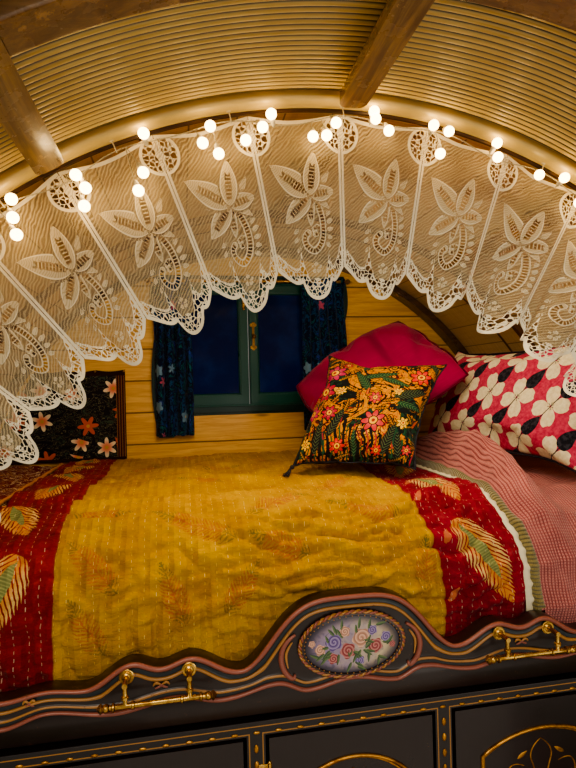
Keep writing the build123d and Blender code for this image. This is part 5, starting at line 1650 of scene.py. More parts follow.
def knitted_throw():
    m = Mat("knitted_throw", sheen=0.14, sheen_rough=0.5, spec=0.12)
    uv = m.uv()
    x, v, _ = m.sep(uv)
    wx = m.add(x, m.mul(m.sub(m.noise(uv, 14.0, 2.0, 0.5), 0.5), 0.004))
    rib = m.fract(m.mul(wx, 1 / 0.0062))
    rr = m.absv(m.sub(rib, 0.5))
    vst = m.fract(m.add(m.mul(v, 1 / 0.0058), m.mul(rr, 1.1)))
    stitch = m.mul(m.math("SINE", m.mul(vst, PI)), m.math("SINE", m.mul(rib, PI)))
    rib_gap_shade = m.inv(m.ramp01(m.mn(rib, m.inv(rib)), 0.0, 0.20))
    cloud = m.noise(uv, 10.0, 4.0, 0.6)
    fleck = m.noise(uv, 300.0, 3.0, 0.7)
    tone = m.mix(m.ramp01(cloud, 0.3, 0.7), lin(166, 86, 84), lin(196, 112, 104))
    # painted highlight: the crown of each stitch is lightened
    tone = m.mix(m.mul(m.ramp01(stitch, 0.35, 0.95), 0.60), tone, lin(226, 160, 146))
    # painted shade: the gaps between the ribs are darkened
    tone = m.mix(m.mul(rib_gap_shade, 0.82), tone, lin(92, 34, 40))
    tone = m.mix(m.mul(m.ramp01(fleck, 0.55, 0.75), 0.35), tone, lin(236, 196, 184))
    m.put("base", tone)
    m.put("rough", 0.93)
    m.put("normal", m.bump(m.add(m.mul(stitch, 1.0), m.mul(fleck, 0.25)), 0.85, 0.0020))
    x0, x1 = 0.3965, 0.968
    big, fine = waves(61, 14, 0.10, 0.40), waves(62, 20, 0.030, 0.08, (0.15, 0.5))

    def off(x, v):
        y = -0.150 + (v - BV2)
        ys = np.array([-0.60, -0.33, -0.22, -0.10, 0.05, 0.16, 0.28, 0.40, 0.52, 0.9])
        hs = np.array([0.0, 0.010, 0.030, 0.078, 0.108, 0.110, 0.092, 0.045, 0.0, 0.0])
        xc = np.interp(y, [-0.6, -0.2, 0.05, 0.3], [0.470, 0.478, 0.482, 0.462])
        crest = np.interp(y, ys, hs)
        left = smooth(x, 0.400, xc)
        right = 1 - smooth(x, xc + 0.004, xc + 0.060)
        d = 0.044 + crest * np.where(x < xc, left, right)
        d = d + 0.0045 * big(x, v) + 0.0016 * fine(x, v)
        along = smooth(y, -0.35, -0.1) * (1 - smooth(y, 0.35, 0.5)) * smooth(x, 0.405, 0.43) * (1 - smooth(x, xc, xc + 0.03))
        d = d + along * 0.006 * ridge(2 * PI * (x - 0.05 * np.sin(5 * y)) / 0.026, 1.3)
        d = d + 0.006 * ridge(2 * PI * (v / 0.09 + 0.3 * np.sin(9 * x)), 1.6) * (1 - smooth(v, 0.2, 0.34))
        under = np.interp(x, [0.50, 0.56, 0.70, 0.968], [0.2, 1.0, 1.0, 0.6]) * smooth(y, -0.30, -0.18)
        d = d - 0.006 * under
        return clear_of_rail(x, v, np.maximum(d, 0.006) * side_round(x, x0, x1, 0.018, 0.35))
    o, x, v, p = cloth_grid("knitted_throw", np.concatenate([np.linspace(x0, 0.56, 52), np.linspace(0.5645, x1, 56)]), np.linspace(FOOT, QLEN - 0.01, 262), off, m, "throw_knit", "knitted_throw", ["mattress"])
    # ribbed olive edge
    om = Mat("throw_edge", sheen=0.35, sheen_rough=0.6, spec=0.15)
    ux, uy, _ = om.sep(om.uv())
    rb = om.fract(om.mul(uy, 1 / 0.0080))
    hump = om.math("SINE", om.mul(rb, PI))
    tn = om.mix(om.noise(om.obj(), 60.0, 4.0, 0.6), lin(118, 104, 54), lin(154, 138, 82))
    # painted shade: the troughs between the rib humps are darkened
    tn = om.mix(om.mul(om.inv(om.ramp01(hump, 0.15, 0.6)), 0.75), tn, lin(58, 54, 30))
    tn = om.mix(om.mul(om.ramp01(om.noise(om.obj(), 330.0, 3.0, 0.7), 0.56, 0.76), 0.3), tn, lin(182, 172, 118))
    om.put("base", tn)
    om.put("rough", 0.93)
    twist = om.math("SINE", om.mul(om.add(ux, om.mul(hump, 0.0006)), 2 * PI / 0.0034))
    om.put("normal", om.bump(om.add(hump, om.mul(twist, 0.2)), 0.7, 0.0022))
    ss = np.linspace(0, 1, 15)[:, None]
    tt = np.linspace(FOOT, QLEN - 0.04, 640)[None, :]
    wide = 0.017 + 0.007 * (1 - smooth(tt, 0.25, 0.6))
    xx = 0.3935 + wide * ss + 0.0015 * np.sin(tt * 47) * (1 - ss)
    base = off(np.clip(xx, x0 + 0.019, 1.0), tt + 0 * ss)
    dd = base + 0.0052 - 0.030 * (1 - ss) ** 6 - 0.004 * ss ** 8 + 0.0012 * np.sin(2 * PI * tt / 0.008)
    dd = clear_of_rail(xx + 0 * tt, tt + 0 * ss, dd)
    pp = bed_point(xx + drift(xx, tt), tt + 0 * ss, dd)
    e = Build().add(pp.reshape(-1, 3), quads(15, 640), uv=np.stack([xx + 0 * tt, tt + 0 * ss], -1).reshape(-1, 2)).obj("throw_ribbed_edge", om, slot="throw_knit")


knitted_throw()


def mattress():
    """Ticking-covered mattress: crowned panels, rolled edges with piping."""
    m = Mat("ticking", sheen=0.15, sheen_rough=0.5, spec=0.25)
    x, y, z = m.sep(m.obj())
    st = m.fract(m.mul(x, 1 / 0.024))
    tone = m.mix(m.noise(m.obj(), 20.0, 4.0, 0.6), lin(206, 196, 170), lin(226, 218, 196))
    tone = m.mix(m.band(st, 0.40, 0.60, 0.02), tone, lin(72, 84, 108))
    tone = m.mix(m.mx(m.band(st, 0.30, 0.34, 0.01), m.band(st, 0.66, 0.70, 0.01)), tone, lin(110, 116, 130))
    m.put("base", tone)
    m.put("rough", 0.85)
    tw = m.math("SINE", m.mul(m.add(x, m.add(y, z)), 2 * PI / 0.0016))
    m.put("normal", m.bump(m.add(m.mul(tw, 0.3), m.noise(m.obj(), 40.0, 4.0, 0.6)), 0.4, 0.001))
    nx, ring = 90, []
    z0, z1, y0, y1 = 0.9108, 1.1570, -0.2575, 0.7445
    r = [(y0 + 0.012, z0), (0.24, z0), (y1 - 0.012, z0)]
    for a in np.linspace(-PI / 2, 0, 5):
        r.append((y1 - 0.014 + 0.014 * math.cos(a), z0 + 0.014 + 0.014 * math.sin(a)))
    for t in np.linspace(0.1, 0.9, 9):
        r.append((y1 - 0.002 * math.sin(PI * t), z0 + 0.014 + (z1 - z0 - 0.044) * t))
    for a in np.linspace(0, PI / 2, 7):
        r.append((y1 - 0.030 + 0.030 * math.cos(a), z1 - 0.030 + 0.030 * math.sin(a)))
    for t in np.linspace(0.02, 0.98, 60):
        r.append((y1 - 0.030 + (-0.150 - y1 + 0.030) * t, z1))
    for a in np.linspace(PI / 2, PI, 16):
        r.append((-0.150 + 0.1075 * math.cos(a), z1 - 0.1075 + 0.1075 * math.sin(a)))
    for t in np.linspace(0.1, 0.95, 8):
        r.append((y0, z1 - 0.1075 + (z0 + 0.014 - z1 + 0.1075) * t))
    for a in np.linspace(PI, 1.5 * PI, 5):
        r.append((y0 + 0.014 + 0.014 * math.cos(a), z0 + 0.014 + 0.014 * math.sin(a)))
    r = np.array(r)
    xs = np.concatenate([-0.975 + 0.02 * (1 - np.cos(np.linspace(0, PI / 2, 6))), np.linspace(-0.94, 0.94, nx), 0.975 - 0.02 * (1 - np.cos(np.linspace(PI / 2, 0, 6)))])
    c = np.array((0.24, 1.034))
    big = waves(71, 10, 0.15, 0.5)
    v = np.zeros((len(xs), len(r), 3))
    for i, xx in enumerate(xs):
        e = min(1.0, (0.975 - abs(xx)) / 0.02)
        k = 1 - 0.055 * (1 - math.sqrt(max(0.0, 1 - (1 - e) ** 2)))
        q = c + (r - c) * np.array((1 - (1 - k) * 0.4, k))
        v[i, :, 0], v[i, :, 1], v[i, :, 2] = xx, q[:, 0], q[:, 1]
    top = v[:, :, 2] > 1.12
    v[:, :, 2] -= np.where(top, 0.0012 + 0.0012 * big(v[:, :, 0], v[:, :, 1]), 0)
    b = Build().add(v.reshape(-1, 3), [tuple(q) for q in quads(len(xs), len(r), close_v=True)] + [tuple(range(len(r)))[::-1], tuple((len(xs) - 1) * len(r) + k for k in range(len(r)))])
    o = b.obj("ticking_mattress", m, slot="mattress_ticking", replaces=["mattress"], angle=60)
    pipe = Build()
    for xx in (-0.9735, 0.9735):
        q = c + (r - c) * np.array((0.985, 0.962))
        pts = np.c_[np.full(len(q), xx), q]
        pipe.add(*tube(pts, 0.0040, 8, closed=True))
    pm = Mat("mattress_piping", spec=0.3)
    pm.put("base", pm.mix(pm.noise(pm.obj(), 120.0, 3.0, 0.6), lin(60, 70, 94), lin(84, 94, 118)))
    pm.put("rough", 0.8)
    pipe.obj("mattress_piping", pm, slot="mattress_ticking")


mattress()


# =====================================================================
# cushions: two panels sewn round the edge and blown up by a cloth solver
# =====================================================================
def cushion_frame(centre, turn):
    rx, ry, rz = (math.radians(t) for t in turn)
    return (Matrix.Translation(Vector(centre) / 1000) @ Matrix.Rotation(rz, 4, "Z") @ Matrix.Rotation(rx, 4, "X") @ Matrix.Rotation(ry, 4, "Y"))


def cushion_shape(w, h, t, step, pull, ear, seed, flat=1.0):
    """A closed shell in its own frame: front at -y, back at +y. Returns points, faces, print coordinates, and the seam loop."""
    nx, nz = round(w / step), round(h / step)
    u = np.linspace(-1, 1, nx + 1)[:, None] + np.zeros(nz + 1)[None, :]
    v = np.linspace(-1, 1, nz + 1)[None, :] + np.zeros(nx + 1)[:, None]
    px, pz = w / 2 * u, h / 2 * v
    # the sides pull in between the corners
    x = px * (1 - pull * (1 - v ** 2) ** 1.0 * np.abs(u) ** 3)
    z = pz * (1 - pull * (1 - u ** 2) ** 1.0 * np.abs(v) ** 3)
    x = x * (1 - ear * (1 - np.abs(v)) * 0)
    crown = np.clip(1 - np.abs(u) ** 2.6, 0, 1) ** 0.62 * np.clip(1 - np.abs(v) ** 2.6, 0, 1) ** 0.62
    g = waves(seed, 12, 0.10, 0.4)
    th = t / 2 * crown * flat
    front = np.stack([x, -th * (1 + 0.05 * g(px, pz)), z], -1)
    back = np.stack([x, th * (1 + 0.05 * g(px + 3, pz)), z], -1)
    idx = np.arange((nx + 1) * (nz + 1)).reshape(nx + 1, nz + 1)
    rim = np.zeros((nx + 1, nz + 1), bool)
    rim[0, :] = rim[-1, :] = rim[:, 0] = rim[:, -1] = True
    inner = ~rim
    bidx = idx.copy()
    bidx[inner] = idx.size + np.arange(inner.sum())
    pts = np.concatenate([front.reshape(-1, 3), back[inner]])
    pr = np.concatenate([np.stack([px, pz, 0 * px], -1).reshape(-1, 3), np.stack([px[inner], pz[inner], np.ones(inner.sum())], -1)])

    def faces(i, rev):
        f = np.stack([i[:-1, :-1], i[1:, :-1], i[1:, 1:], i[:-1, 1:]], -1).reshape(-1, 4)
        return f[:, ::-1] if rev else f
    f = np.concatenate([faces(idx, False), faces(bidx, True)])
    loop = np.concatenate([idx[:, 0], idx[-1, 1:], idx[-2::-1, -1], idx[0, -2:0:-1]])
    return pts, f, pr, loop


def inflate(name, pts, f, pressure, frames_n, cap, stiff, shrink=0.0):
    """Runs the cloth solver on a copy and returns the settled points, no further than cap from the start."""
    me = bpy.data.meshes.new(name + "_work")
    me.from_pydata(pts.tolist(), [], f.tolist())
    o = bpy.data.objects.new(name + "_work", me)
    SC.collection.objects.link(o)
    mod = o.modifiers.new("cloth", "CLOTH")
    s = mod.settings
    s.quality = 6
    s.mass = 0.25
    s.tension_stiffness = s.compression_stiffness = stiff
    s.shear_stiffness = stiff * 0.5
    s.bending_stiffness = 0.35
    s.tension_damping = s.compression_damping = 12
    s.air_damping = 3
    s.use_pressure = True
    s.uniform_pressure_force = pressure
    s.shrink_min = shrink
    s.effector_weights.gravity = 0.0
    mod.collision_settings.use_collision = False
    mod.collision_settings.use_self_collision = False
    mod.point_cache.frame_start, mod.point_cache.frame_end = 1, frames_n
    for k in range(1, frames_n + 1):
        SC.frame_set(k)
    e = o.evaluated_get(bpy.context.evaluated_depsgraph_get())
    out = np.empty(len(pts) * 3, np.float32)
    e.data.vertices.foreach_get("co", out)
    out = out.reshape(-1, 3).astype(float)
    bpy.data.objects.remove(o)
    bpy.data.meshes.remove(me)
    SC.frame_set(1)
    if not np.isfinite(out).all():
        return pts
    out -= out.mean(0) - pts.mean(0)
    d = out - pts
    ln = np.linalg.norm(d, axis=1)[:, None]
    return pts + d * np.minimum(1.0, cap / np.maximum(ln, 1e-9))


def subdivide(o):
    mod = o.modifiers.new("smooth", "SUBSURF")
    mod.levels = mod.render_levels = 1


def cushion(name, size, centre, turn, mat, slot, elements, seed, step=0.0085, pull=0.06, pressure=3.0, cap=0.030, droop=None, grow=1.03, body=ROOT):
    w, h, t = size
    pts, f, pr, loop = cushion_shape(w * grow, h * grow, t, step, pull, 0.0, seed, 0.72)
    pts = inflate(name, pts, f, pressure, 24, cap, 12.0, 0.02)
    k = t / max(1e-6, float(pts[:, 1].max() - pts[:, 1].min()))
    pts[:, 1] *= min(1.25, max(0.75, k))
    for a, s in ((0, w), (2, h)):
        pts[:, a] *= s / float(pts[:, a].max() - pts[:, a].min())
    if droop is not None:
        pts = droop(pts)
    m4 = np.array(cushion_frame(centre, turn))
    world = pts @ m4[:3, :3].T + m4[:3, 3]
    o = Build().add(world, f).obj(name, mat, body=body, slot=slot, replaces=[name.replace("_cover", "")])
    stamp(o, pr, elements or [(9, 9, 0, 1, 1, 0, 0)], 1.12)
    at = o.data.attributes.new("local", "FLOAT_VECTOR", "POINT")
    at.data.foreach_set("vector", pts.astype(np.float32).ravel())
    subdivide(o)
    return o, world[loop], m4, pts


def seam_cord(name, loop, r, mat, slot, out=0.0015):
    """Piping sewn round the seam."""
    c = loop.mean(0)
    p = loop + (loop - c) / np.linalg.norm(loop - c, axis=1)[:, None] * out
    return Build().add(*tube(p, r, 8, closed=True)).obj(name, mat, slot=slot)


def pillow_material():
    """Raspberry cotton: cream four-petal flowers and charcoal drops on slanting rows."""
    m = Mat("pillow_print", sheen=0.06, sheen_rough=0.4, spec=0.18)
    x, z, back = m.sep(m.attrv("print"))
    w = m.noise(m.attrv("print"), 30.0, 2.0, 0.5, colour=True)
    wx, wz, _ = m.sep(w)
    x, z = m.add(x, m.mul(m.sub(wx, 0.5), 0.007)), m.add(z, m.mul(m.sub(wz, 0.5), 0.007))
    e1, e2 = np.array((0.086, 0.110)), np.array((0.112, -0.018))
    det = e1[0] * e2[1] - e1[1] * e2[0]
    p1 = m.add(m.mul(x, e2[1] / det), m.mul(z, -e2[0] / det))
    p2 = m.add(m.mul(x, -e1[1] / det), m.mul(z, e1[0] / det))
    ln = float(np.linalg.norm(e1))
    d1 = e1 / ln

    def cell(shift):
        f1 = m.sub(m.fract(m.add(p1, 0.5 + shift)), 0.5)
        f2 = m.sub(m.fract(m.add(p2, 0.5)), 0.5)
        rx = m.add(m.mul(f1, float(e1[0])), m.mul(f2, float(e2[0])))
        rz = m.add(m.mul(f1, float(e1[1])), m.mul(f2, float(e2[1])))
        return m.add(m.mul(rx, float(d1[0])), m.mul(rz, float(d1[1]))), m.sub(m.mul(rz, float(d1[0])), m.mul(rx, float(d1[1])))
    a, b = cell(0.0)
    r = m.math("SQRT", m.add(m.mul(a, a), m.mul(b, b)))
    th = m.math("ARCTAN2", b, a)
    lobes = m.math("POWER", m.absv(m.math("SINE", m.mul(th, 2.0))), 0.42)
    reach = m.mul(lobes, m.span(m.absv(m.math("COSINE", th)), 0, 1, 0.0480, 0.0600))
    dent = m.mul(m.inv(m.ramp01(m.absv(m.sub(m.absv(m.math("SINE", m.mul(th, 2.0))), 1.0)), 0.0, 0.05)), 0.0035)
    petals = m.mul(m.lt(r, m.sub(reach, dent)), m.gt(r, 0.0032))
    a2, b2 = cell(0.5)
    q = m.math("DIVIDE", a2, 0.0330)
    half = m.mul(m.math("SQRT", m.mx(m.sub(1.0, m.mul(q, q)), 0.0)), m.span(q, -1, 1, 0.0260, 0.0100))
    drop = m.lt(m.absv(b2), half)
    stem = m.lt(m.absv(b), m.span(m.absv(a), 0.0, 0.05, 0.0011, 0.0019))
    sprig = m.mul(m.lt(r, 0.0100), m.band(m.fract(m.mul(th, 7 / (2 * PI))), 0.38, 0.62))
    g = m.noise(m.attrv("print"), 90.0, 4.0, 0.6)
    tone = m.mix(m.ramp01(g, 0.3, 0.7), lin(182, 44, 76), lin(214, 76, 104))
    cream = m.mix(m.ramp01(g, 0.3, 0.7), lin(228, 212, 166), lin(246, 234, 198))
    cream = m.mix(m.mul(m.inv(m.ramp01(r, 0.004, 0.020)), 0.22), cream, lin(196, 170, 120))
    tone = m.mix(petals, tone, cream)
    dark = m.mix(m.ramp01(g, 0.45, 0.62), lin(26, 26, 34), lin(58, 56, 64))
    tone = m.mix(m.mx(m.mx(drop, stem), sprig), tone, dark)
    m.put("base", tone)
    m.put("rough", 0.86)
    l = m.attrv("local")
    lx, ly, lz = m.sep(l)
    quilted = m.mul(m.math("SINE", m.mul(lx, 2 * PI / 0.0115)), m.math("SINE", m.mul(lz, 2 * PI / 0.0115)))
    weave = m.mul(m.math("SINE", m.mul(lx, 2 * PI / 0.0012)), m.math("SINE", m.mul(lz, 2 * PI / 0.0012)))
    m.put("normal", m.bump(m.add(m.add(m.mul(quilted, 0.5), m.mul(weave, 0.15)), m.mul(m.noise(l, 40.0, 4.0, 0.6), 1.2)), 0.55, 0.0014))
    return m


def magenta_material():
    m = Mat("magenta_cotton", sheen=0.10, sheen_rough=0.4, spec=0.2)
    l = m.attrv("local")
    lx, ly, lz = m.sep(l)
    slub = m.noise(m.map(l, scale=(4.0, 1.0, 240.0)), 3.0, 3.0, 0.6)
    tone = m.mix(m.noise(l, 9.0, 4.0, 0.6), lin(138, 9, 56), lin(172, 22, 80))
    tone = m.mix(m.mul(m.ramp01(slub, 0.52, 0.74), 0.35), tone, lin(204, 48, 108))
    # painted shade in the gathers: the cloth is darkened along each fold, over the upper part of the cushion
    fan = m.math("ARCTAN2", m.add(m.mul(lz, 1 / 0.195), 1.25), m.sub(m.mul(lx, 1 / 0.195), 0.15))
    fan = m.add(m.mul(fan, 13.0), m.mul(m.math("SINE", m.mul(fan, 5.0)), 0.8))
    gather_shade = m.math("POWER", m.mx(m.math("COSINE", m.add(fan, m.mul(m.sub(slub, 0.5), 0.7))), 0.0), 3.0)
    tone = m.mix(m.mul(m.mul(gather_shade, m.ramp01(lz, -0.12, 0.05)), 0.55), tone, lin(96, 6, 42))
    m.put("base", tone)
    m.put("rough", 0.82)
    weave = m.mul(m.math("SINE", m.mul(lx, 2 * PI / 0.0013)), m.math("SINE", m.mul(lz, 2 * PI / 0.0013)))
    m.put("normal", m.bump(m.add(m.add(m.mul(weave, 0.25), m.mul(slub, 0.5)), m.mul(m.noise(m.map(l, scale=(1.0, 1.0, 0.25)), 26.0, 3.0, 0.55), 1.6)), 0.5, 0.0013))
    return m


def embroidered_elements():
    """Leaves, fronds and blooms over the mustard front; metres from the middle of the panel."""
    out = []

    def leaf(x, z, ang, ln, w, tint=0.0):
        out.append((x / 1000, z / 1000, math.radians(ang), ln / 1000, w / 1000, 1, tint))

    def bloom(x, z, r, tint, ang=0):
        out.append((x / 1000, z / 1000, math.radians(ang), 2 * r / 1000, 2 * r / 1000, 2, tint))

    def frond(x, z, ang, ln, w, tint):
        out.append((x / 1000, z / 1000, math.radians(ang), ln / 1000, w / 1000, 3, tint))

    def curl(x, z, r, tint, ang=0):
        out.append((x / 1000, z / 1000, math.radians(ang), 2 * r / 1000, 2 * r / 1000, 4, tint))
    # blooms: pink and magenta up the left side, orange-red at the top right, rose low in the middle
    for x, z, r, t in ((-110, 86, 38, 0.15), (-116, 20, 35, 0.22), (-134, -44, 25, 0.15), (-86, -44, 24, 0.22), (-84, 128, 17, 0.22), (122, 98, 33, 0.50), (34, -62, 36, 0.35), (22, 6, 21, 0.35),
                       (-48, -132, 24, 0.50), (112, -60, 20, 0.70), (60, -140, 19, 0.50), (-14, 138, 16, 0.70), (78, 34, 15, 0.70), (-70, 22, 15, 0.70), (-136, -128, 18, 0.70), (138, -132, 17, 0.35)):
        bloom(x, z, r, t, ang=x)
    for x, z, a, ln, w, t in ((-26, 62, 128, 86, 34, 0.30), (18, 84, 18, 92, 30, 0.30), (62, 66, -14, 80, 28, 0.30), (112, 34, 24, 92, 44, 0.05), (118, -6, -6, 72, 30, 0.30), (-62, -66, 70, 88, 30, 0.05),
                              (84, -104, 78, 92, 36, 0.05), (112, -120, 104, 70, 28, 0.05), (-104, -104, 84, 96, 26, 0.05), (-6, -126, 96, 76, 24, 0.30), (-150, 140, 50, 56, 22, 0.05), (148, 148, 130, 52, 24, 0.05)):
        frond(x, z, a, ln, w, t)
    for x, z, r, t in ((44, 122, 19, 0.02), (82, 128, 15, 0.02), (-50, 96, 15, 0.02), (-18, -20, 15, 0.02), (76, -20, 15, 0.02), (-152, -70, 12, 0.02), (148, -80, 12, 0.02), (6, -96, 12, 0.02), (148, 60, 12, 0.02)):
        curl(x, z, r, t, ang=2 * x)
    g = np.random.default_rng(77)
    for _ in range(420):
        x, z = g.uniform(-164, 164, 2)
        ln = g.uniform(26, 60)
        if all(math.hypot(x - q[0] * 1000, z - q[1] * 1000) > (ln * 0.30 + 0.36 * max(q[3], q[4]) * 1000) for q in out):
            leaf(x, z, g.uniform(0, 180), ln, ln * g.uniform(0.36, 0.54), float(g.choice([0.02, 0.02, 0.02, 0.02, 0.30, 0.30, 0.22])))
    return out


def embroidered_material():
    m = Mat("embroidered_print", sheen=0.04, sheen_rough=0.4, spec=0.18)
    pr = m.attrv("print")
    x, z, back = m.sep(pr)
    g = m.noise(pr, 60.0, 4.0, 0.6)
    patch = m.noise(pr, 8.5, 2.0, 0.5, 0.6)
    ground = m.mix(m.ramp01(patch, 0.56, 0.60), lin(190, 124, 6), lin(208, 154, 50))
    ground = m.mix(m.mul(m.ramp01(g, 0.45, 0.75), 0.35), ground, lin(166, 102, 8))
    vine = m.noise(pr, 15.0, 2.0, 0.5, 1.7)
    tone = m.mix(m.band(vine, 0.462, 0.522, 0.003), ground, lin(14, 12, 12))
    tone = m.mix(m.band(vine, 0.596, 0.650, 0.003), tone, lin(26, 44, 30))

    scrib = m.noise(pr, 25.0, 2.0, 0.5, 2.4)
    tone = m.mix(m.band(scrib, 0.452, 0.486, 0.004), tone, lin(22, 20, 20))
    tone = m.mix(m.band(scrib, 0.562, 0.590, 0.004), tone, lin(140, 30, 36))
    mass = m.noise(pr, 15.0, 2.0, 0.5, 1.2)
    tone = m.mix(m.gt(mass, 0.550), tone, m.mix(m.gt(scrib, 0.52), lin(20, 22, 20), lin(26, 58, 40)))
    # tall grasses along the foot
    gx = m.fract(m.mul(m.add(x, m.add(m.mul(m.math("SINE", m.mul(z, 58.0)), 0.0035), m.mul(m.sub(patch, 0.5), 0.05))), 1 / 0.0205))
    blade = m.mx(m.band(gx, 0.06, 0.40), m.band(gx, 0.62, 0.80))
    gc = m.mix(m.gt(gx, 0.5), lin(22, 20, 22), m.mix(m.gt(patch, 0.5), lin(32, 78, 50), lin(150, 44, 60)))
    low = m.lt(m.add(z, m.mul(m.sub(scrib, 0.5), 0.14)), -0.078)
    tone = m.mix(m.mul(blade, low), tone, gc)

    def hue(t):
        c = m.mix(m.gt(t, 0.10), lin(28, 26, 28), lin(176, 34, 84))
        c = m.mix(m.gt(t, 0.19), c, lin(166, 24, 58))
        c = m.mix(m.gt(t, 0.26), c, lin(22, 66, 42))
        c = m.mix(m.gt(t, 0.33), c, lin(186, 52, 58))
        c = m.mix(m.gt(t, 0.43), c, lin(200, 36, 24))
        return m.mix(m.gt(t, 0.60), c, lin(220, 172, 40))
    black = lin(24, 20, 22)
    for lay in (1, 0):
        a, b, am, bm, kind, t = motif(m, lay, 0.004)
        r = m.math("SQRT", m.add(m.mul(a, a), m.mul(b, b)))
        th = m.math("ARCTAN2", b, a)
        col = hue(t)
        # leaf
        env = m.mul(m.math("SQRT", m.mx(m.sub(1.0, m.mul(a, a)), 0.0)), m.span(a, -1, 1, 1.0, 0.45))
        leaf = m.lt(m.absv(b), env)
        rib = m.mx(m.lt(m.absv(bm), 0.0007), m.band(m.fract(m.sub(m.mul(am, 150.0), m.mul(m.absv(bm), 170.0))), 0.0, 0.22))
        lc = m.mix(rib, col, ground)
        lc = m.mix(m.gt(m.absv(b), m.mul(env, 0.78)), lc, black)
        tone = m.mix(m.mul(leaf, is_kind(m, kind, 1)), tone, lc)
        # bloom: ringed petals with a dark outline
        pet = m.add(0.80, m.mul(m.math("COSINE", m.mul(th, 7.0)), 0.17))
        fl = m.lt(r, pet)
        fc = m.mix(m.band(m.fract(m.mul(th, 7 / (2 * PI))), 0.42, 0.58), m.mix(m.ramp01(r, 0.30, 0.62), m.mix(0.10, col, lin(250, 220, 180)), col), black)
        fc = m.mix(m.gt(r, m.sub(pet, 0.11)), fc, black)
        fc = m.mix(m.lt(r, 0.36), fc, black)
        fc = m.mix(m.lt(r, 0.29), fc, lin(222, 170, 44))
        fc = m.mix(m.lt(r, 0.13), fc, lin(150, 40, 34))
        tone = m.mix(m.mul(fl, is_kind(m, kind, 2)), tone, fc)
        # frond: toothed leaflets off a midrib
        bar = m.fract(m.sub(m.mul(am, 118.0), m.mul(m.absv(bm), 128.0)))
        tooth = m.mul(m.lt(m.absv(b), m.mul(env, m.add(0.62, m.mul(bar, 0.40)))), m.mx(m.band(bar, 0.08, 0.74, 0.05), m.lt(m.absv(bm), 0.0022)))
        fr = m.mix(m.band(bar, 0.52, 0.74), col, m.mix(0.45, col, lin(120, 150, 90)))
        tone = m.mix(m.mul(m.lt(m.absv(b), env), m.mul(is_kind(m, kind, 3), 0.92)), tone, black)
        tone = m.mix(m.mul(tooth, is_kind(m, kind, 3)), tone, fr)
        # curl
        sp = m.fract(m.sub(m.mul(r, 2.1), m.mul(th, 1 / (2 * PI))))
        cu = m.mul(m.mul(m.band(sp, 0.18, 0.60), m.lt(r, 0.98)), is_kind(m, kind, 4))
        tone = m.mix(cu, tone, col)
    tone = m.mix(m.gt(back, 0.5), tone, lin(30, 28, 34))
    m.put("base", tone)
    m.put("rough", 0.85)
    l = m.attrv("local")
    lx, ly, lz = m.sep(l)
    weave = m.mul(m.math("SINE", m.mul(lx, 2 * PI / 0.0013)), m.math("SINE", m.mul(lz, 2 * PI / 0.0013)))
    m.put("normal", m.bump(m.add(m.add(m.mul(weave, 0.25), m.mul(g, 0.6)), m.mul(m.noise(l, 22.0, 4.0, 0.6), 1.4)), 0.5, 0.0013))
    return m


def skew(p, u, v, moves):
    """Shifts the four corners (top left, top right, lower right, lower left) by millimetres in the cushion's own plane."""
    u, v = np.clip(u, -1, 1), np.clip(v, -1, 1)
    share = ((1 - u) * (1 + v) / 4, (1 + u) * (1 + v) / 4, (1 + u) * (1 - v) / 4, (1 - u) * (1 - v) / 4)
    for k, (dx, dz) in zip(share, moves):
        p[:, 0] += k * dx / 1000
        p[:, 2] += k * dz / 1000
    return p


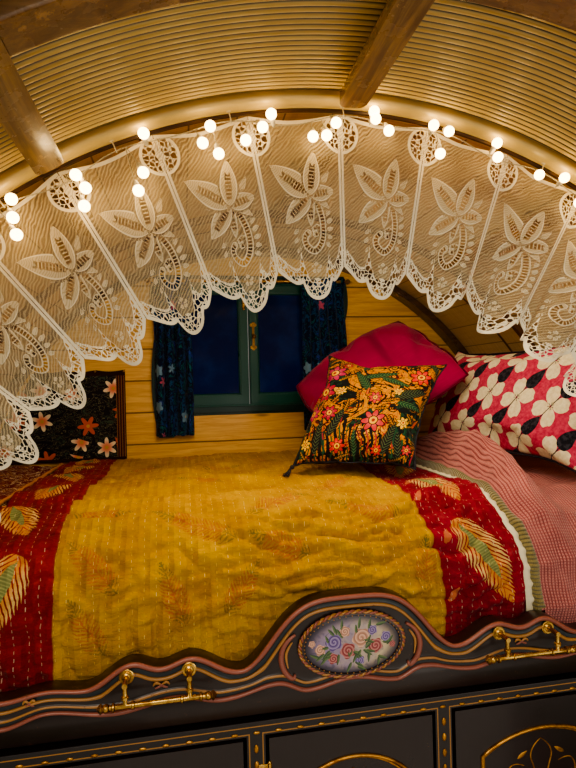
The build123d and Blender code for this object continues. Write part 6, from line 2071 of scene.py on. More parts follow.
def cushions():
    pm = pillow_material()
    o, loop, m4, pts = cushion("patterned_pillow_cover", (0.640, 0.360, 0.140), (628, 135, 1394), (-24, 0, -80.5), pm, "pillow_print", None, 31,
                               step=0.0105, pull=0.015, pressure=2.6, cap=0.034)
    edge = Mat("pillow_edge", spec=0.25)
    edge.put("base", edge.mix(edge.noise(edge.obj(), 90.0, 3.0, 0.6), lin(30, 28, 34), lin(48, 44, 50)))
    edge.put("rough", 0.8)
    seam_cord("pillow_piping", loop, 0.0030, edge, "pillow_print")

    mm = magenta_material()

    def swell(p):
        # plumped up against the wall: the upper left side bows out most
        u, v = p[:, 0] / 0.195, p[:, 2] / 0.195
        p = p.copy()
        p[:, 2] += 0.046 * np.clip(1 - u ** 2, 0, 1) * smooth(v, -0.2, 1.0)
        p[:, 0] += 0.020 * np.clip(1 - v ** 2, 0, 1) * smooth(u, 0.0, 1.0)
        p[:, 0] -= 0.016 * np.clip(1 - v ** 2, 0, 1) * smooth(-u, 0.0, 1.0)
        fan = np.arctan2(v + 1.25, u - 0.15)
        gather = np.clip(np.cos(fan * 13.0 + 0.8 * np.sin(fan * 5.0)), 0, 1) ** 3
        p[:, 1] *= 1.10 * (1 - 0.125 * gather * np.clip(1 - np.maximum(np.abs(u), np.abs(v)) ** 6, 0, 1) * smooth(v, -0.7, 0.2))
        return skew(p, u, v, ((-11, -12), (34, -20), (24, 5), (0, 0)))
    o, loop, m4, pts = cushion("magenta_cushion_cover", (0.390, 0.390, 0.110), (302, 357, 1452), (-42, -45, -37.5), mm, "cushion_magenta", None, 32,
                               step=0.0085, pull=-0.085, pressure=3.2, cap=0.034, droop=swell)
    dark = Mat("cushion_piping_wine", spec=0.25)
    dark.put("base", dark.mix(dark.noise(dark.obj(), 90.0, 3.0, 0.6), lin(84, 10, 34), lin(110, 18, 46)))
    dark.put("rough", 0.8)
    seam_cord("magenta_piping", loop, 0.0030, dark, "cushion_magenta")

    em = embroidered_material()

    def ears(p):
        # the top corners stand up like ears, the top edge dips between them, and the whole front leans over
        w, h = 0.167, 0.1735
        u, v = p[:, 0] / w, p[:, 2] / h
        p = p.copy()
        p[:, 2] -= 0.017 * np.exp(-((u + 0.25) / 0.42) ** 2) * smooth(v, 0.3, 1.0)
        p[:, 1] *= 1 + 0.12 * np.exp(-((u + 0.1) / 0.6) ** 2) * (1 - smooth(v, 0.0, 0.9))
        # the left side bellies out, and the foot settles between its corners
        p[:, 0] -= 0.019 * np.clip(1 - (v + 0.15) ** 2, 0, 1) * smooth(-u, 0.1, 1.0)
        p[:, 2] -= 0.007 * np.clip(1 - u ** 2, 0, 1) * smooth(-v, 0.3, 1.0)
        return skew(p, u, v, ((-16, -5), (-5, -1), (-21, 19), (-1, -36)))
    o, loop, m4, pts = cushion("embroidered_cushion_cover", (0.334, 0.347, 0.112), (219, 118, 1380), (-35, 9.5, -30), em, "cushion_embroidered", embroidered_elements(), 33,
                               step=0.0058, pull=0.030, pressure=3.4, cap=0.036, droop=ears)
    seam_cord("embroidered_piping", loop, 0.0024, edge, "cushion_embroidered", 0.0008)
    # a small knotted tassel at the lower left corner
    c = loop[np.argmin(loop[:, 0] * 1.0 + loop[:, 2] * 1.0)]
    tas = Build()
    g = np.random.default_rng(4)
    tas.add(*ball(c + (-0.004, -0.002, -0.002), 0.0062, 12))
    for k in range(26):
        a = g.uniform(-0.9, 0.9)
        q = np.array((-math.cos(a), -0.3 + 0.8 * math.sin(a), 0.0))
        q /= np.linalg.norm(q)
        ln = g.uniform(0.024, 0.034)
        z1 = g.uniform(1.2085, 1.2155)
        pts_ = bspline([c + (-0.005, -0.002, -0.002), c + q * 0.010 + (0, 0, -0.004), np.array((*(c + q * ln * 0.7)[:2], z1)), np.array((*(c + q * ln)[:2], z1 - 0.001))], 4)
        tas.add(*tube(pts_, 0.0008, 5))
    tas.obj("cushion_tassel", edge, slot="cushion_embroidered")


cushions()


# =====================================================================
# carved front rail, medallion, pulls
# =====================================================================
# QUIRK_SHADE is painted shade: near-black laid along the quirks beside the carved beads
ROSE, GILT, QUIRK_SHADE, TEAL, FIELD = lin(150, 86, 70)[:3], lin(176, 124, 64)[:3], lin(22, 14, 12)[:3], lin(22, 34, 40)[:3], lin(38, 24, 19)[:3]


def tinted_paint(name, rough=0.34, coat=0.22, metal=None, wear=0.03):
    """Paint that takes its colour from the piece's own tint, worn at random and darkened in random patches."""
    m = Mat(name, coat=coat, coat_rough=0.14)
    c = m.attr("tint", fac=False)
    n1 = m.noise(m.obj(), 34.0, 5.0, 0.65)
    tone = m.mix(m.span(n1, 0.3, 0.75, 0.0, 0.35), c, m.mix(0.5, c, lin(20, 14, 10)))
    chip = m.mul(m.ramp01(m.noise(m.obj(), 90.0, 6.0, 0.7), 0.66 - wear, 0.70 - wear), 0.75)
    tone = m.mix(chip, tone, lin(92, 60, 38))
    m.put("base", tone)
    m.put("rough", m.span(n1, 0.3, 0.75, rough - 0.06, rough + 0.16))
    if metal is not None:
        m.put("metal", metal)
    grain = m.noise(m.map(m.obj(), scale=(2.0, 30.0, 30.0)), 6.0, 4.0, 0.6)
    m.put("normal", m.bump(m.add(m.mul(grain, 0.4), m.mul(chip, -0.6)), 0.25, 0.0006))
    return m


def lerp_rows(rows):
    return np.array([r[0] for r in rows]), np.array([r[1] for r in rows]), np.array([r[2] for r in rows])


def carved_rail():
    n = 640
    x = np.linspace(-0.985, 0.985, n)
    top = SPRING + curve_at(RAIL_TOP, np.abs(x))
    low = SPRING + curve_at(RAIL_LOW, np.abs(x))
    kt = np.sqrt(1 + np.gradient(top, x) ** 2)
    kl = np.sqrt(1 + np.gradient(low, x) ** 2)
    # the near-black rows along the quirks beside the beads are painted shade
    t_rows = [(0.0000, 0.0000, FIELD), (0.0010, 0.0028, ROSE), (0.0034, 0.0052, ROSE), (0.0064, 0.0052, ROSE), (0.0092, 0.0028, ROSE), (0.0102, 0.0002, QUIRK_SHADE), (0.0110, -0.0020, QUIRK_SHADE),
              (0.0128, -0.0024, TEAL), (0.0172, -0.0024, TEAL), (0.0192, -0.0018, QUIRK_SHADE), (0.0198, 0.0008, GILT), (0.0214, 0.0024, GILT), (0.0240, 0.0024, GILT), (0.0256, 0.0008, GILT), (0.0264, -0.0014, QUIRK_SHADE), (0.0290, -0.0014, FIELD)]
    l_rows = [(0.0000, 0.0000, FIELD), (0.0010, 0.0026, ROSE), (0.0034, 0.0044, ROSE), (0.0062, 0.0040, ROSE), (0.0082, 0.0016, ROSE), (0.0090, -0.0012, QUIRK_SHADE), (0.0125, -0.0016, TEAL), (0.0145, -0.0014, QUIRK_SHADE),
              (0.0152, 0.0006, GILT), (0.0172, 0.0018, GILT), (0.0196, 0.0014, GILT), (0.0206, -0.0006, QUIRK_SHADE), (0.0230, -0.0014, FIELD)]
    ts, tr, tc = lerp_rows(t_rows)
    ls, lr, lc = lerp_rows(l_rows)
    need = (ts[-1] * kt + ls[-1] * kl)
    k = np.minimum(1.0, (top - low) * 0.93 / need)
    z = [top[:, None] - ts[None] * (kt * k)[:, None], low[:, None] + ls[None, ::-1] * (kl * k)[:, None]]
    zt, zl = z[0][:, -1], z[1][:, 0]
    mids = np.linspace(0, 1, 9)[1:-1]
    zm = zt[:, None] + (zl - zt)[:, None] * mids[None]
    # the field swells gently and carries a shallow gouged flute
    hm = np.minimum(1.0, (zt - zl) / 0.05)[:, None] * np.sin(PI * mids)[None] * 0.0016 - 0.0014
    Z = np.concatenate([z[0], zm, z[1]], 1)
    Y = -0.345 - np.concatenate([np.tile(tr, (n, 1)), hm, np.tile(lr[::-1], (n, 1))], 1)
    col = np.concatenate([np.tile(tc, (n, 1, 1)), np.tile(np.array(FIELD), (n, len(mids), 1)), np.tile(lc[::-1], (n, 1, 1))], 1)
    back_z = np.stack([low + 0.0008, (low + top) / 2, top - 0.0008], 1)
    Z = np.concatenate([Z, low[:, None], back_z, top[:, None]], 1)
    Y = np.concatenate([Y, np.full((n, 1), -0.3145), np.full((n, 3), -0.3130), np.full((n, 1), -0.3145)], 1)
    col = np.concatenate([col, np.tile(np.array(FIELD), (n, 5, 1))], 1)
    m = Z.shape[1]
    v = np.stack([np.repeat(x[:, None], m, 1), Y, Z], -1)
    mat = tinted_paint("carved_rail_paint")
    b = Build()
    b.add(v.reshape(-1, 3), [tuple(q) for q in quads(n, m, close_v=True)] + [tuple(range(m))[::-1], tuple((n - 1) * m + i for i in range(m))], col=col.reshape(-1, 3))
    b.add(*brick((-0.985, -0.333, 0.8555), (0.985, -0.3132, 0.9148), 0.003), col=FIELD)
    b.obj("carved_bed_rail", mat, body="berth_front", slot="rail_dark", replaces=["bed_rail"], angle=58, col=True)

    # carved scrolls, leaves and shells laid on the field
    orn = Build()

    def stroke(pts, r0, r1, colour, flat=0.62, y=-0.3462, mirror=True, per=9):
        for s in ((1, -1) if mirror else (1,)):
            p = bspline([(s * a, y, c) for a, c in pts], per)
            t = np.linspace(0, 1, len(p))
            r = r0 * np.sin(PI * np.clip(t * 0.93 + 0.05, 0, 1)) ** 0.6 + r1
            vv, ff = tube(p, r, 9)
            vv[:, 1] = y + (vv[:, 1] - y) * flat
            orn.add(vv, ff, col=colour)
    # curved brackets that clasp the medallion
    stroke([(0.106, 1.000), (0.118, 0.994), (0.131, 0.977), (0.1345, 0.956), (0.128, 0.935), (0.115, 0.921), (0.1085, 0.922), (0.109, 0.929)], 0.0044, 0.0010, ROSE, 0.8)
    stroke([(0.112, 0.987), (0.1215, 0.976), (0.1255, 0.960), (0.121, 0.941)], 0.0022, 0.0006, GILT)
    # three-leaved sprays where the rail is deep enough
    for x0, zc, w in ((0.700, 0.9405, 0.021), (0.880, 0.9390, 0.018), (0.345, 0.9385, 0.014), (0.560, 0.934, 0.010)):
        for d in (-1, 1):
            stroke([(x0, zc), (x0 + d * 0.35 * w, zc + 0.0045), (x0 + d * 0.8 * w, zc + 0.0050), (x0 + d * w, zc)], 0.0020, 0.0005, GILT)
            stroke([(x0, zc), (x0 + d * 0.40 * w, zc - 0.0035), (x0 + d * 0.8 * w, zc - 0.0045)], 0.0016, 0.0005, ROSE)
        orn.add(*ball((x0, -0.3466, zc), 0.0030, 10, (1, 0.6, 1)), col=ROSE)
        orn.add(*ball((-x0, -0.3466, zc), 0.0030, 10, (1, 0.6, 1)), col=ROSE)
    orn.obj("rail_carving", mat, body="berth_front", slot="rail_dark", col=True)


carved_rail()


def medallion():
    """Painted oval on a domed board in a rope frame, with a bunch of roses of our own."""
    cz, rx, rz = 0.974, 0.0965, 0.0560
    rings, seg = 26, 120
    w = np.arange(seg) * 2 * PI / seg
    prof = [(k / rings * 0.925, -0.3515 - 0.0022 * (1 - (k / rings) ** 2)) for k in range(1, rings + 1)] + [(0.94, -0.3506), (0.95, -0.3530), (1.0, -0.3525), (1.0, -0.3452)]
    v = [(0.0, -0.3537, cz)]
    for r, y in prof:
        v += [(r * rx * math.cos(a), y, cz + r * rz * math.sin(a)) for a in w]
    v = np.array(v)
    f = [(0, 1 + k, 1 + (k + 1) % seg) for k in range(seg)]
    for j in range(len(prof) - 1):
        a0, a1 = 1 + j * seg, 1 + (j + 1) * seg
        f += [(a0 + k, a1 + k, a1 + (k + 1) % seg, a0 + (k + 1) % seg) for k in range(seg)]
    f.append(tuple(1 + (len(prof) - 1) * seg + k for k in range(seg))[::-1])
    m = Mat("medallion_oil_paint", coat=0.4, coat_rough=0.12)
    pr = m.attrv("print")
    x, z, _ = m.sep(pr)
    g = m.noise(pr, 26.0, 5.0, 0.65)
    tone = m.mix(m.ramp01(m.add(m.mul(x, 3.0), g), 0.25, 0.85), lin(146, 128, 158), lin(206, 186, 148))
    tone = m.mix(m.mul(m.ramp01(m.noise(pr, 60.0, 4.0, 0.6, 1.0), 0.5, 0.7), 0.6), tone, lin(70, 66, 110))
    rr = m.math("SQRT", m.add(m.mul(m.mul(x, 1 / rx), m.mul(x, 1 / rx)), m.mul(m.mul(z, 1 / rz), m.mul(z, 1 / rz))))
    tone = m.mix(m.ramp01(rr, 0.62, 0.93), tone, lin(44, 38, 52))
    for lay in (1, 0):
        a, b, am, bm, kind, t = motif(m, lay, 0.0012)
        r = m.math("SQRT", m.add(m.mul(a, a), m.mul(b, b)))
        th = m.math("ARCTAN2", b, a)
        env = m.mul(m.math("SQRT", m.mx(m.sub(1.0, m.mul(a, a)), 0.0)), m.span(a, -1, 1, 1.0, 0.5))
        lc = m.mix(m.gt(b, 0.0), lin(52, 78, 44), lin(92, 116, 62))
        tone = m.mix(m.mul(m.lt(m.absv(b), env), is_kind(m, kind, 1)), tone, lc)
        swirl = m.fract(m.add(m.mul(r, 2.6), m.mul(th, 1 / (2 * PI))))
        pet = m.add(0.88, m.mul(m.math("COSINE", m.mul(th, 5.0)), 0.10))
        rose = m.mix(m.gt(t, 0.3), lin(170, 44, 52), lin(222, 160, 128))
        rose = m.mix(m.gt(t, 0.6), rose, lin(104, 84, 168))
        fc = m.mix(m.ramp01(swirl, 0.2, 0.9), m.mix(0.45, rose, lin(60, 12, 24)), m.mix(0.25, rose, lin(250, 232, 214)))
        tone = m.mix(m.mul(m.lt(r, pet), is_kind(m, kind, 2)), tone, fc)
    tone = m.mix(m.gt(rr, 0.935), tone, lin(46, 26, 18))
    m.put("base", tone)
    m.put("rough", m.span(g, 0.3, 0.7, 0.28, 0.42))
    crackle = m.voro(pr, 130.0, "DISTANCE_TO_EDGE")
    m.put("normal", m.bump(m.add(m.mul(m.ramp01(crackle, 0.0, 0.05), 0.5), m.mul(m.noise(pr, 300.0, 3.0, 0.6), 0.4)), 0.3, 0.0004))
    o = Build().add(v, f).obj("painted_medallion", m, body="berth_front", slot="medallion_paint", replaces=["crest_medallion"], angle=50)
    els = []
    for px, pz, r, t in ((-36, 8, 17, 0.7), (-10, -10, 16, 0.1), (16, 11, 19, 0.4), (43, -6, 15, 0.1), (-62, -4, 11, 0.4), (64, 8, 11, 0.7), (-15, 25, 11, 0.4), (38, 23, 10, 0.7), (-38, -22, 11, 0.1), (12, -30, 10, 0.7), (76, -7, 7, 0.1), (-77, 8, 7, 0.4)):
        els.append((px / 1000, pz / 1000, math.radians(px * 3), 2 * r / 1000, 2 * r / 1000, 2, t))
    g2 = np.random.default_rng(9)
    for _ in range(40):
        a, r = g2.uniform(0, 2 * PI), g2.uniform(0.25, 0.84)
        els.append((rx * r * math.cos(a), rz * r * math.sin(a), a + g2.uniform(-0.9, 0.9), 0.021, 0.0075, 1, 0.0))
    stamp(o, np.stack([v[:, 0], v[:, 2] - cz], -1), els, 1.05)
    ring = Build()
    t = np.linspace(0, 2 * PI, 260, endpoint=False)
    for ph in (0, PI):
        q = np.stack([(0.0990 + 0.0020 * np.cos(26 * t + ph)) * np.cos(t), -0.3498 - 0.0020 * np.sin(26 * t + ph), cz + (0.0585 + 0.0020 * np.cos(26 * t + ph)) * np.sin(t)], -1)
        ring.add(*tube(q, 0.0024, 7, closed=True), col=ROSE if ph else GILT)
    for k in range(48):
        a = 2 * PI * k / 48
        ring.add(*ball((0.0915 * math.cos(a), -0.3526, cz + 0.0522 * math.sin(a)), 0.0014, 8), col=GILT)
    ring.obj("medallion_rope_frame", tinted_paint("rope_gilding", rough=0.26), body="berth_front", slot="rail_dark", col=True)


medallion()
give("pull_handles", brass, 0.0006, 1, 60)


def pulls_and_knobs():
    b = Build()
    for s in (-1, 1):
        hx, hz, y = s * 0.350, SPRING - 0.014, -0.375
        for e in (-1, 1):
            b.add(*lathe([(0.0047, -0.0030), (0.0072, -0.0016), (0.0074, 0.0014), (0.0047, 0.0030)], (hx + e * 0.072, y, hz), (1, 0, 0), 20))
            b.add(*lathe([(0.0047, -0.0026), (0.0066, -0.0012), (0.0066, 0.0012), (0.0047, 0.0026)], (hx + e * 0.040, y, hz), (1, 0, 0), 20))
            b.add(*lathe([(0.0060, 0.0), (0.0086, 0.0030), (0.0052, 0.0064), (1e-8, 0.0098)], (hx + e * 0.0895, y, hz), (e, 0, 0), 20))
            b.add(*lathe([(0.0042, 0.010), (0.0064, 0.012), (0.0064, 0.016), (0.0042, 0.018)], (hx + e * 0.053, y, hz), (0, 0, 1), 18))
            b.add(*lathe([(0.0128, 0.0), (0.0128, 0.0014), (0.0104, 0.0026), (0.0086, 0.0028), (0.0076, 0.0044), (0.0048, 0.0056)], (hx + e * 0.053, -0.3452, hz + 0.034), (0, -1, 0), 28))
            for k in range(4):
                a = PI / 4 + PI / 2 * k
                b.add(*ball((hx + e * 0.053 + 0.0098 * math.cos(a), -0.3478, hz + 0.034 + 0.0098 * math.sin(a)), 0.0013, 8, (1, 0.5, 1)))
    b.obj("pull_collars", brass, body="berth_front", slot="brass", angle=40)
    for name, xh, xf in (("left", -0.575, -0.205), ("centre", -0.158, 0.158), ("right", 0.575, 0.205)):
        kx = xf + (0.026 if xf < xh else -0.026)
        k = Build()
        k.add(*lathe([(0.0150, 0.0000), (0.0150, 0.0016), (0.0132, 0.0030), (0.0108, 0.0032), (0.0098, 0.0050), (0.0066, 0.0062), (0.0054, 0.0100), (0.0060, 0.0128), (0.0092, 0.0146), (0.0120, 0.0180), (0.0130, 0.0222),
                      (0.0122, 0.0264), (0.0100, 0.0300), (0.0094, 0.0306), (0.0086, 0.0302), (0.0060, 0.0326), (0.0030, 0.0340), (1e-8, 0.0344)], (kx, -0.338, 0.560), (0, -1, 0), 36))
        k.obj(f"turned_knob_{name}", brass, body=f"door_{name}", slot="brass", replaces=[f"cupboard_knob_{name}"], angle=48)
        e = Build()
        p = [(kx + 0.009 * math.cos(a), -0.3392, 0.508 + 0.016 * math.sin(a)) for a in np.linspace(0, 2 * PI, 28, endpoint=False)]
        e.add(*tube(p, 0.0014, 6, closed=True))
        e.add(np.array([(kx + 0.009 * math.cos(a), -0.3388, 0.508 + 0.016 * math.sin(a)) for a in np.linspace(0, 2 * PI, 28, endpoint=False)]), [tuple(range(28))])
        for s in (-1, 1):
            e.add(*lathe([(0.0017, 0.0), (0.0015, 0.0008), (1e-8, 0.0010)], (kx, -0.3389, 0.508 + s * 0.0125), (0, -1, 0), 10))
        e.obj(f"keyhole_plate_{name}", brass, body=f"door_{name}", slot="brass", angle=40)
        hole = Build()
        hole.add(*lathe([(0.0024, 0.0), (0.0024, 0.0004), (1e-8, 0.0005)], (kx, -0.3389, 0.5105), (0, -1, 0), 14))
        hole.add(*brick((kx - 0.0010, -0.3393, 0.5020), (kx + 0.0010, -0.3389, 0.5100), 0.0001))
        hm = Mat("keyhole_black", rough=0.9)
        hm.put("base", hm.mix(hm.noise(hm.obj(), 90.0), lin(6, 5, 5), lin(14, 12, 11)))
        hole.obj(f"keyhole_{name}", hm, body=f"door_{name}", slot="brass")
        door = -1 if xf < xh else 1        # which way the leaf runs from its hinge
        fixed, moving = Build(), Build()
        for hz in (0.265, 0.740):
            for z0, z1, part in ((-0.030, -0.0105, fixed), (-0.0098, 0.0098, moving), (0.0105, 0.030, fixed)):
                part.add(*tube([(xh, -0.3380, hz + z0), (xh, -0.3380, hz + z1)], 0.0042, 14))
            fixed.add(*ball((xh, -0.3380, hz + 0.0312), 0.0038, 10))
            fixed.add(*ball((xh, -0.3380, hz - 0.0312), 0.0038, 10))
            fixed.add(*brick((xh - door * 0.022 if door > 0 else xh + 0.003, -0.3394, hz - 0.030), (xh - 0.003 if door > 0 else xh + 0.022, -0.3380, hz + 0.030), 0.0004))
            for s in (-0.019, 0.019):
                fixed.add(*lathe([(0.0024, 0.0), (0.0024, 0.0005), (0.0015, 0.0010), (1e-8, 0.0011)], (xh - door * 0.013, -0.3394, hz + s), (0, -1, 0), 12))
        fixed.obj(f"door_hinge_{name}", brass, slot="brass", angle=40)
        moving.obj(f"door_hinge_knuckle_{name}", brass, body=f"door_{name}", slot="brass", angle=40)


pulls_and_knobs()


def door_path(x0, x1, inset, n=20):
    """The arched panel's outline, inset from the door's edge, anticlockwise seen from the front."""
    z0, z1, rise = 0.190 + inset, 0.815 - inset, 0.040
    a, b = x0 + inset, x1 - inset
    w, h = (b - a) / 2, rise
    r = (w * w + h * h) / (2 * h)
    th = math.asin(w / r)
    top = [((a + b) / 2 + r * math.sin(t), z1 - r + r * math.cos(t)) for t in np.linspace(th, -th, n)]
    return [(a, z0), (b, z0)] + top


def cupboards():
    dk = paint("bed_face_paint", lin(26, 16, 13), lin(104, 70, 42), rough=0.34, coat=0.22, chips=0.01, axis="X")
    x, y, z = dk.sep(dk.obj())
    line = None
    for xa, xb in ((-0.575, -0.205), (-0.158, 0.158), (0.205, 0.575)):
        dx = dk.mx(dk.sub(xa, x), dk.sub(x, xb))
        dz = dk.mx(dk.sub(0.190, z), dk.sub(z, 0.815))
        hit = dk.band(dk.mx(dx, dz), 0.0100, 0.0122)
        line = hit if line is None else dk.mx(line, hit)
    line = dk.mx(line, dk.band(z, 0.8380, 0.8400))
    dk.put("base", dk.mix(dk.mul(line, 0.9), dk.tone, lin(170, 118, 48)))
    give("bed_face", dk, 0.0015, 2)
    dp = paint("cupboard_paint", lin(32, 18, 15), lin(110, 74, 44), rough=0.32, coat=0.25, chips=0.01, axis="Z")
    gilt = Mat("gilding", metal=0.85)
    gn = gilt.noise(gilt.obj(), 60.0, 5.0, 0.65)
    gilt.put("base", gilt.mix(gilt.ramp01(gn, 0.4, 0.72), lin(206, 150, 70), lin(120, 74, 34)))
    gilt.put("rough", gilt.span(gn, 0.3, 0.75, 0.28, 0.5))
    for name, x0, x1 in (("left", -0.575, -0.205), ("centre", -0.158, 0.158), ("right", 0.205, 0.575)):
        give(f"cupboard_door_{name}", dp, 0.0012, 2)
        b = Build()
        for inset, y, r in ((0.0545, -0.3388, 0.0034), (0.0600, -0.3340, 0.0022)):
            p = np.array([(a, y, c) for a, c in door_path(x0, x1, inset, 26)])
            vv, ff = tube(p, r, 8, closed=True)
            b.add(vv, ff)
        cx = (x0 + x1) / 2
        w = (x1 - x0) / 2 - 0.085

        def vine(pts, r0=0.0013, r1=0.0005):
            for s in (-1, 1):
                q = bspline([(cx + s * a, -0.3322, c) for a, c in pts], 8)
                t = np.linspace(0, 1, len(q))
                b.add(*tube(q, r0 * np.sin(PI * np.clip(t * 0.9 + 0.08, 0, 1)) ** 0.5 + r1, 6))

        def petal(px, pz, ang, ln, wd):
            for s in (-1, 1):
                t = np.linspace(0, 1, 9)
                c, d = math.cos(ang), math.sin(ang)
                h = wd / 2 * np.sin(PI * t ** 0.8)
                e = np.stack([px + ln * t * c - h * d, pz + ln * t * d + h * c], -1)
                g = np.stack([px + ln * t * c + h * d, pz + ln * t * d - h * c], -1)
                mid = np.stack([px + ln * t * c, pz + ln * t * d], -1)
                v = np.stack([np.r_[[(cx + s * q[0], -0.3322, q[1]) for q in arr]] for arr in (e, mid, g)], 0)
                v[1, :, 1] -= 0.0012 * np.sin(PI * t)
                ff = quads(3, 9)
                b.add(v.reshape(-1, 3), ff if s > 0 else ff[:, ::-1])
        vine([(0.0, 0.30), (w * 0.55, 0.315), (w * 0.85, 0.37), (w * 0.45, 0.41), (w * 0.18, 0.385)])
        vine([(0.0, 0.31), (w * 0.10, 0.40), (w * 0.55, 0.47), (w * 0.88, 0.53), (w * 0.55, 0.585), (w * 0.25, 0.555), (w * 0.38, 0.52)])
        vine([(0.0, 0.44), (w * 0.10, 0.55), (w * 0.45, 0.62), (w * 0.80, 0.645), (w * 0.70, 0.70), (w * 0.38, 0.685)])
        vine([(0.0, 0.60), (w * 0.12, 0.67), (w * 0.30, 0.715), (0.0, 0.735)])
        for px, pz, a in ((0.30, 0.330, 0.5), (0.62, 0.335, 0.9), (0.80, 0.395, 2.2), (0.35, 0.440, 0.2), (0.55, 0.500, 1.2), (0.80, 0.500, 0.2), (0.75, 0.560, 2.3), (0.40, 0.600, 0.4), (0.62, 0.640, 1.3), (0.82, 0.660, 0.9), (0.52, 0.700, 2.6), (0.10, 0.520, 1.0), (0.12, 0.640, 1.1), (0.14, 0.360, 1.1)):
            petal(w * px, pz, a, 0.026, 0.0085)
        for k in range(6):
            a = 2 * PI * k / 6
            petal(0.012 * math.cos(a) if math.cos(a) > 0 else 0.012 * math.cos(a), 0.5 + 0.012 * math.sin(a), a, 0.020, 0.010)
        b.add(*ball((cx, -0.3330, 0.5), 0.0065, 14, (1, 0.4, 1)))
        b.obj(f"door_gilding_{name}", gilt, body=f"door_{name}", slot="brass")
    # turned beads up the stiles between the doors
    b = Build()
    for sx in (-0.1815, 0.1815, -0.598, 0.598):
        for k in range(21):
            b.add(*ball((sx, -0.3382, 0.205 + 0.0297 * k), 0.0052, 12, (0.9, 0.55, 1.5)))
    for sx in np.linspace(-0.94, 0.94, 48):
        b.add(*ball((sx, -0.3382, 0.8280), 0.0036, 10, (1.9, 0.55, 0.8)))
    b.obj("face_beading", gilt, slot="brass")


cupboards()


def boards(name, base, pitch, axis, mat_light, mat_dark, gap=0.012, rough=0.55):
    """Boards side by side along one axis, each with its own tone; joints as fine dark lines."""
    m = Mat(name)
    x, y, z = m.sep(m.obj())
    across, along = (x, y) if axis == "X" else (y, x)
    q = m.mul(m.add(across, 10.0), 1 / pitch)
    k, f = m.math("FLOOR", q), m.fract(q)
    off = m.mul(m.white(m.comb(k, 4.0, 1.0)), 9.0)
    g = m.noise(m.comb(m.add(m.mul(along, 1.2), off), m.mul(across, 17.0), m.mul(z, 17.0)), 4.5, 5.0, 0.62, 0.9)
    fib = m.noise(m.comb(m.mul(along, 4.0), m.mul(across, 220.0), m.add(m.mul(z, 220.0), off)), 2.5, 3.0, 0.6)
    tone = m.mix(m.ramp01(g, 0.3, 0.75), mat_dark, mat_light)
    tone = m.mix(m.mul(m.ramp01(fib, 0.45, 0.72), 0.3), tone, mat_dark)
    tone = m.mix(m.mul(m.white(m.comb(k, 9.0, 2.0)), 0.25), tone, mat_dark)
    joint = m.inv(m.band(f, gap, 1 - gap, 0.006))
    m.put("base", m.mix(m.mul(joint, 0.85), tone, lin(20, 12, 6)))
    m.put("rough", m.span(g, 0.3, 0.7, rough - 0.08, rough + 0.12))
    m.put("normal", m.bump(m.sub(m.add(m.mul(g, 0.3), m.mul(fib, 0.4)), m.mul(joint, 2.0)), 0.3, 0.0008))
    give(base, m, 0.0015, 2)


boards("floor_planks", "floor_boards", 0.1240, "X", lin(186, 146, 96), lin(140, 100, 58))
give("sills", oak, 0.004, 3)
give("floor_bearers", oak_x, 0.003, 3)
give("bed_cleats", pine_y, 0.002, 2)
give("bed_boards", pine, 0.002, 2)
boards("pull_out_boards", "slide_boards", 0.0940, "Y", lin(206, 168, 112), lin(168, 124, 74))


# =====================================================================
# outside: painted sides, carved brackets, canvas roof
# =====================================================================
def lined_paint(name, colour, mask, gold=(206, 156, 60), rough=0.28, chips=0.012, axis="Y"):
    """Coach paint with hand-drawn gold lines where the mask says."""
    m = paint(name, colour, lin(120, 92, 60), rough=rough, coat=0.55, chips=chips, axis=axis)
    x, y, z = m.sep(m.obj())
    w = m.noise(m.obj(), 9.0, 2.0, 0.5)
    m.put("base", m.mix(m.mul(mask(m, x, y, z, m.mul(m.sub(w, 0.5), 0.0012)), 0.92), m.tone, lin(*gold)))
    return m


def side_lines(m, x, y, z, w):
    f = m.fract(m.mul(m.add(y, 0.700 + 9.25), 1 / 0.0925))
    c = m.absv(m.sub(f, 0.5))
    box = m.mx(m.mul(m.sub(c, 0.30), 0.0925), m.mx(m.sub(0.110, z), m.sub(z, 0.455)))
    outer = m.band(m.add(box, w), -0.0012, 0.0012)
    inner = m.band(m.add(box, w), -0.0070, -0.0060)
    return m.mul(m.mx(outer, inner), m.gt(m.absv(x), 0.6395))


def ledge_lines(m, x, y, z, w):
    ax = m.absv(x)
    return m.mx(m.band(m.add(ax, w), 1.0455, 1.0480), m.mx(m.band(ax, 0.650, 0.6524), m.mul(m.band(z, 0.5105, 0.5130), m.gt(ax, 1.058))))


maroon = lined_paint("maroon_coach_paint", lin(104, 16, 22), side_lines)
give("lower_sides", maroon, 0.0025, 2)
give("ledges", lined_paint("green_coach_paint", lin(20, 74, 46), ledge_lines), 0.004, 3)
cream = paint("cream_coach_paint", lin(226, 206, 158), lin(146, 112, 72), rough=0.3, coat=0.5, chips=0.02, axis="Z")
give("ledge_brackets", cream, 0.003, 3)


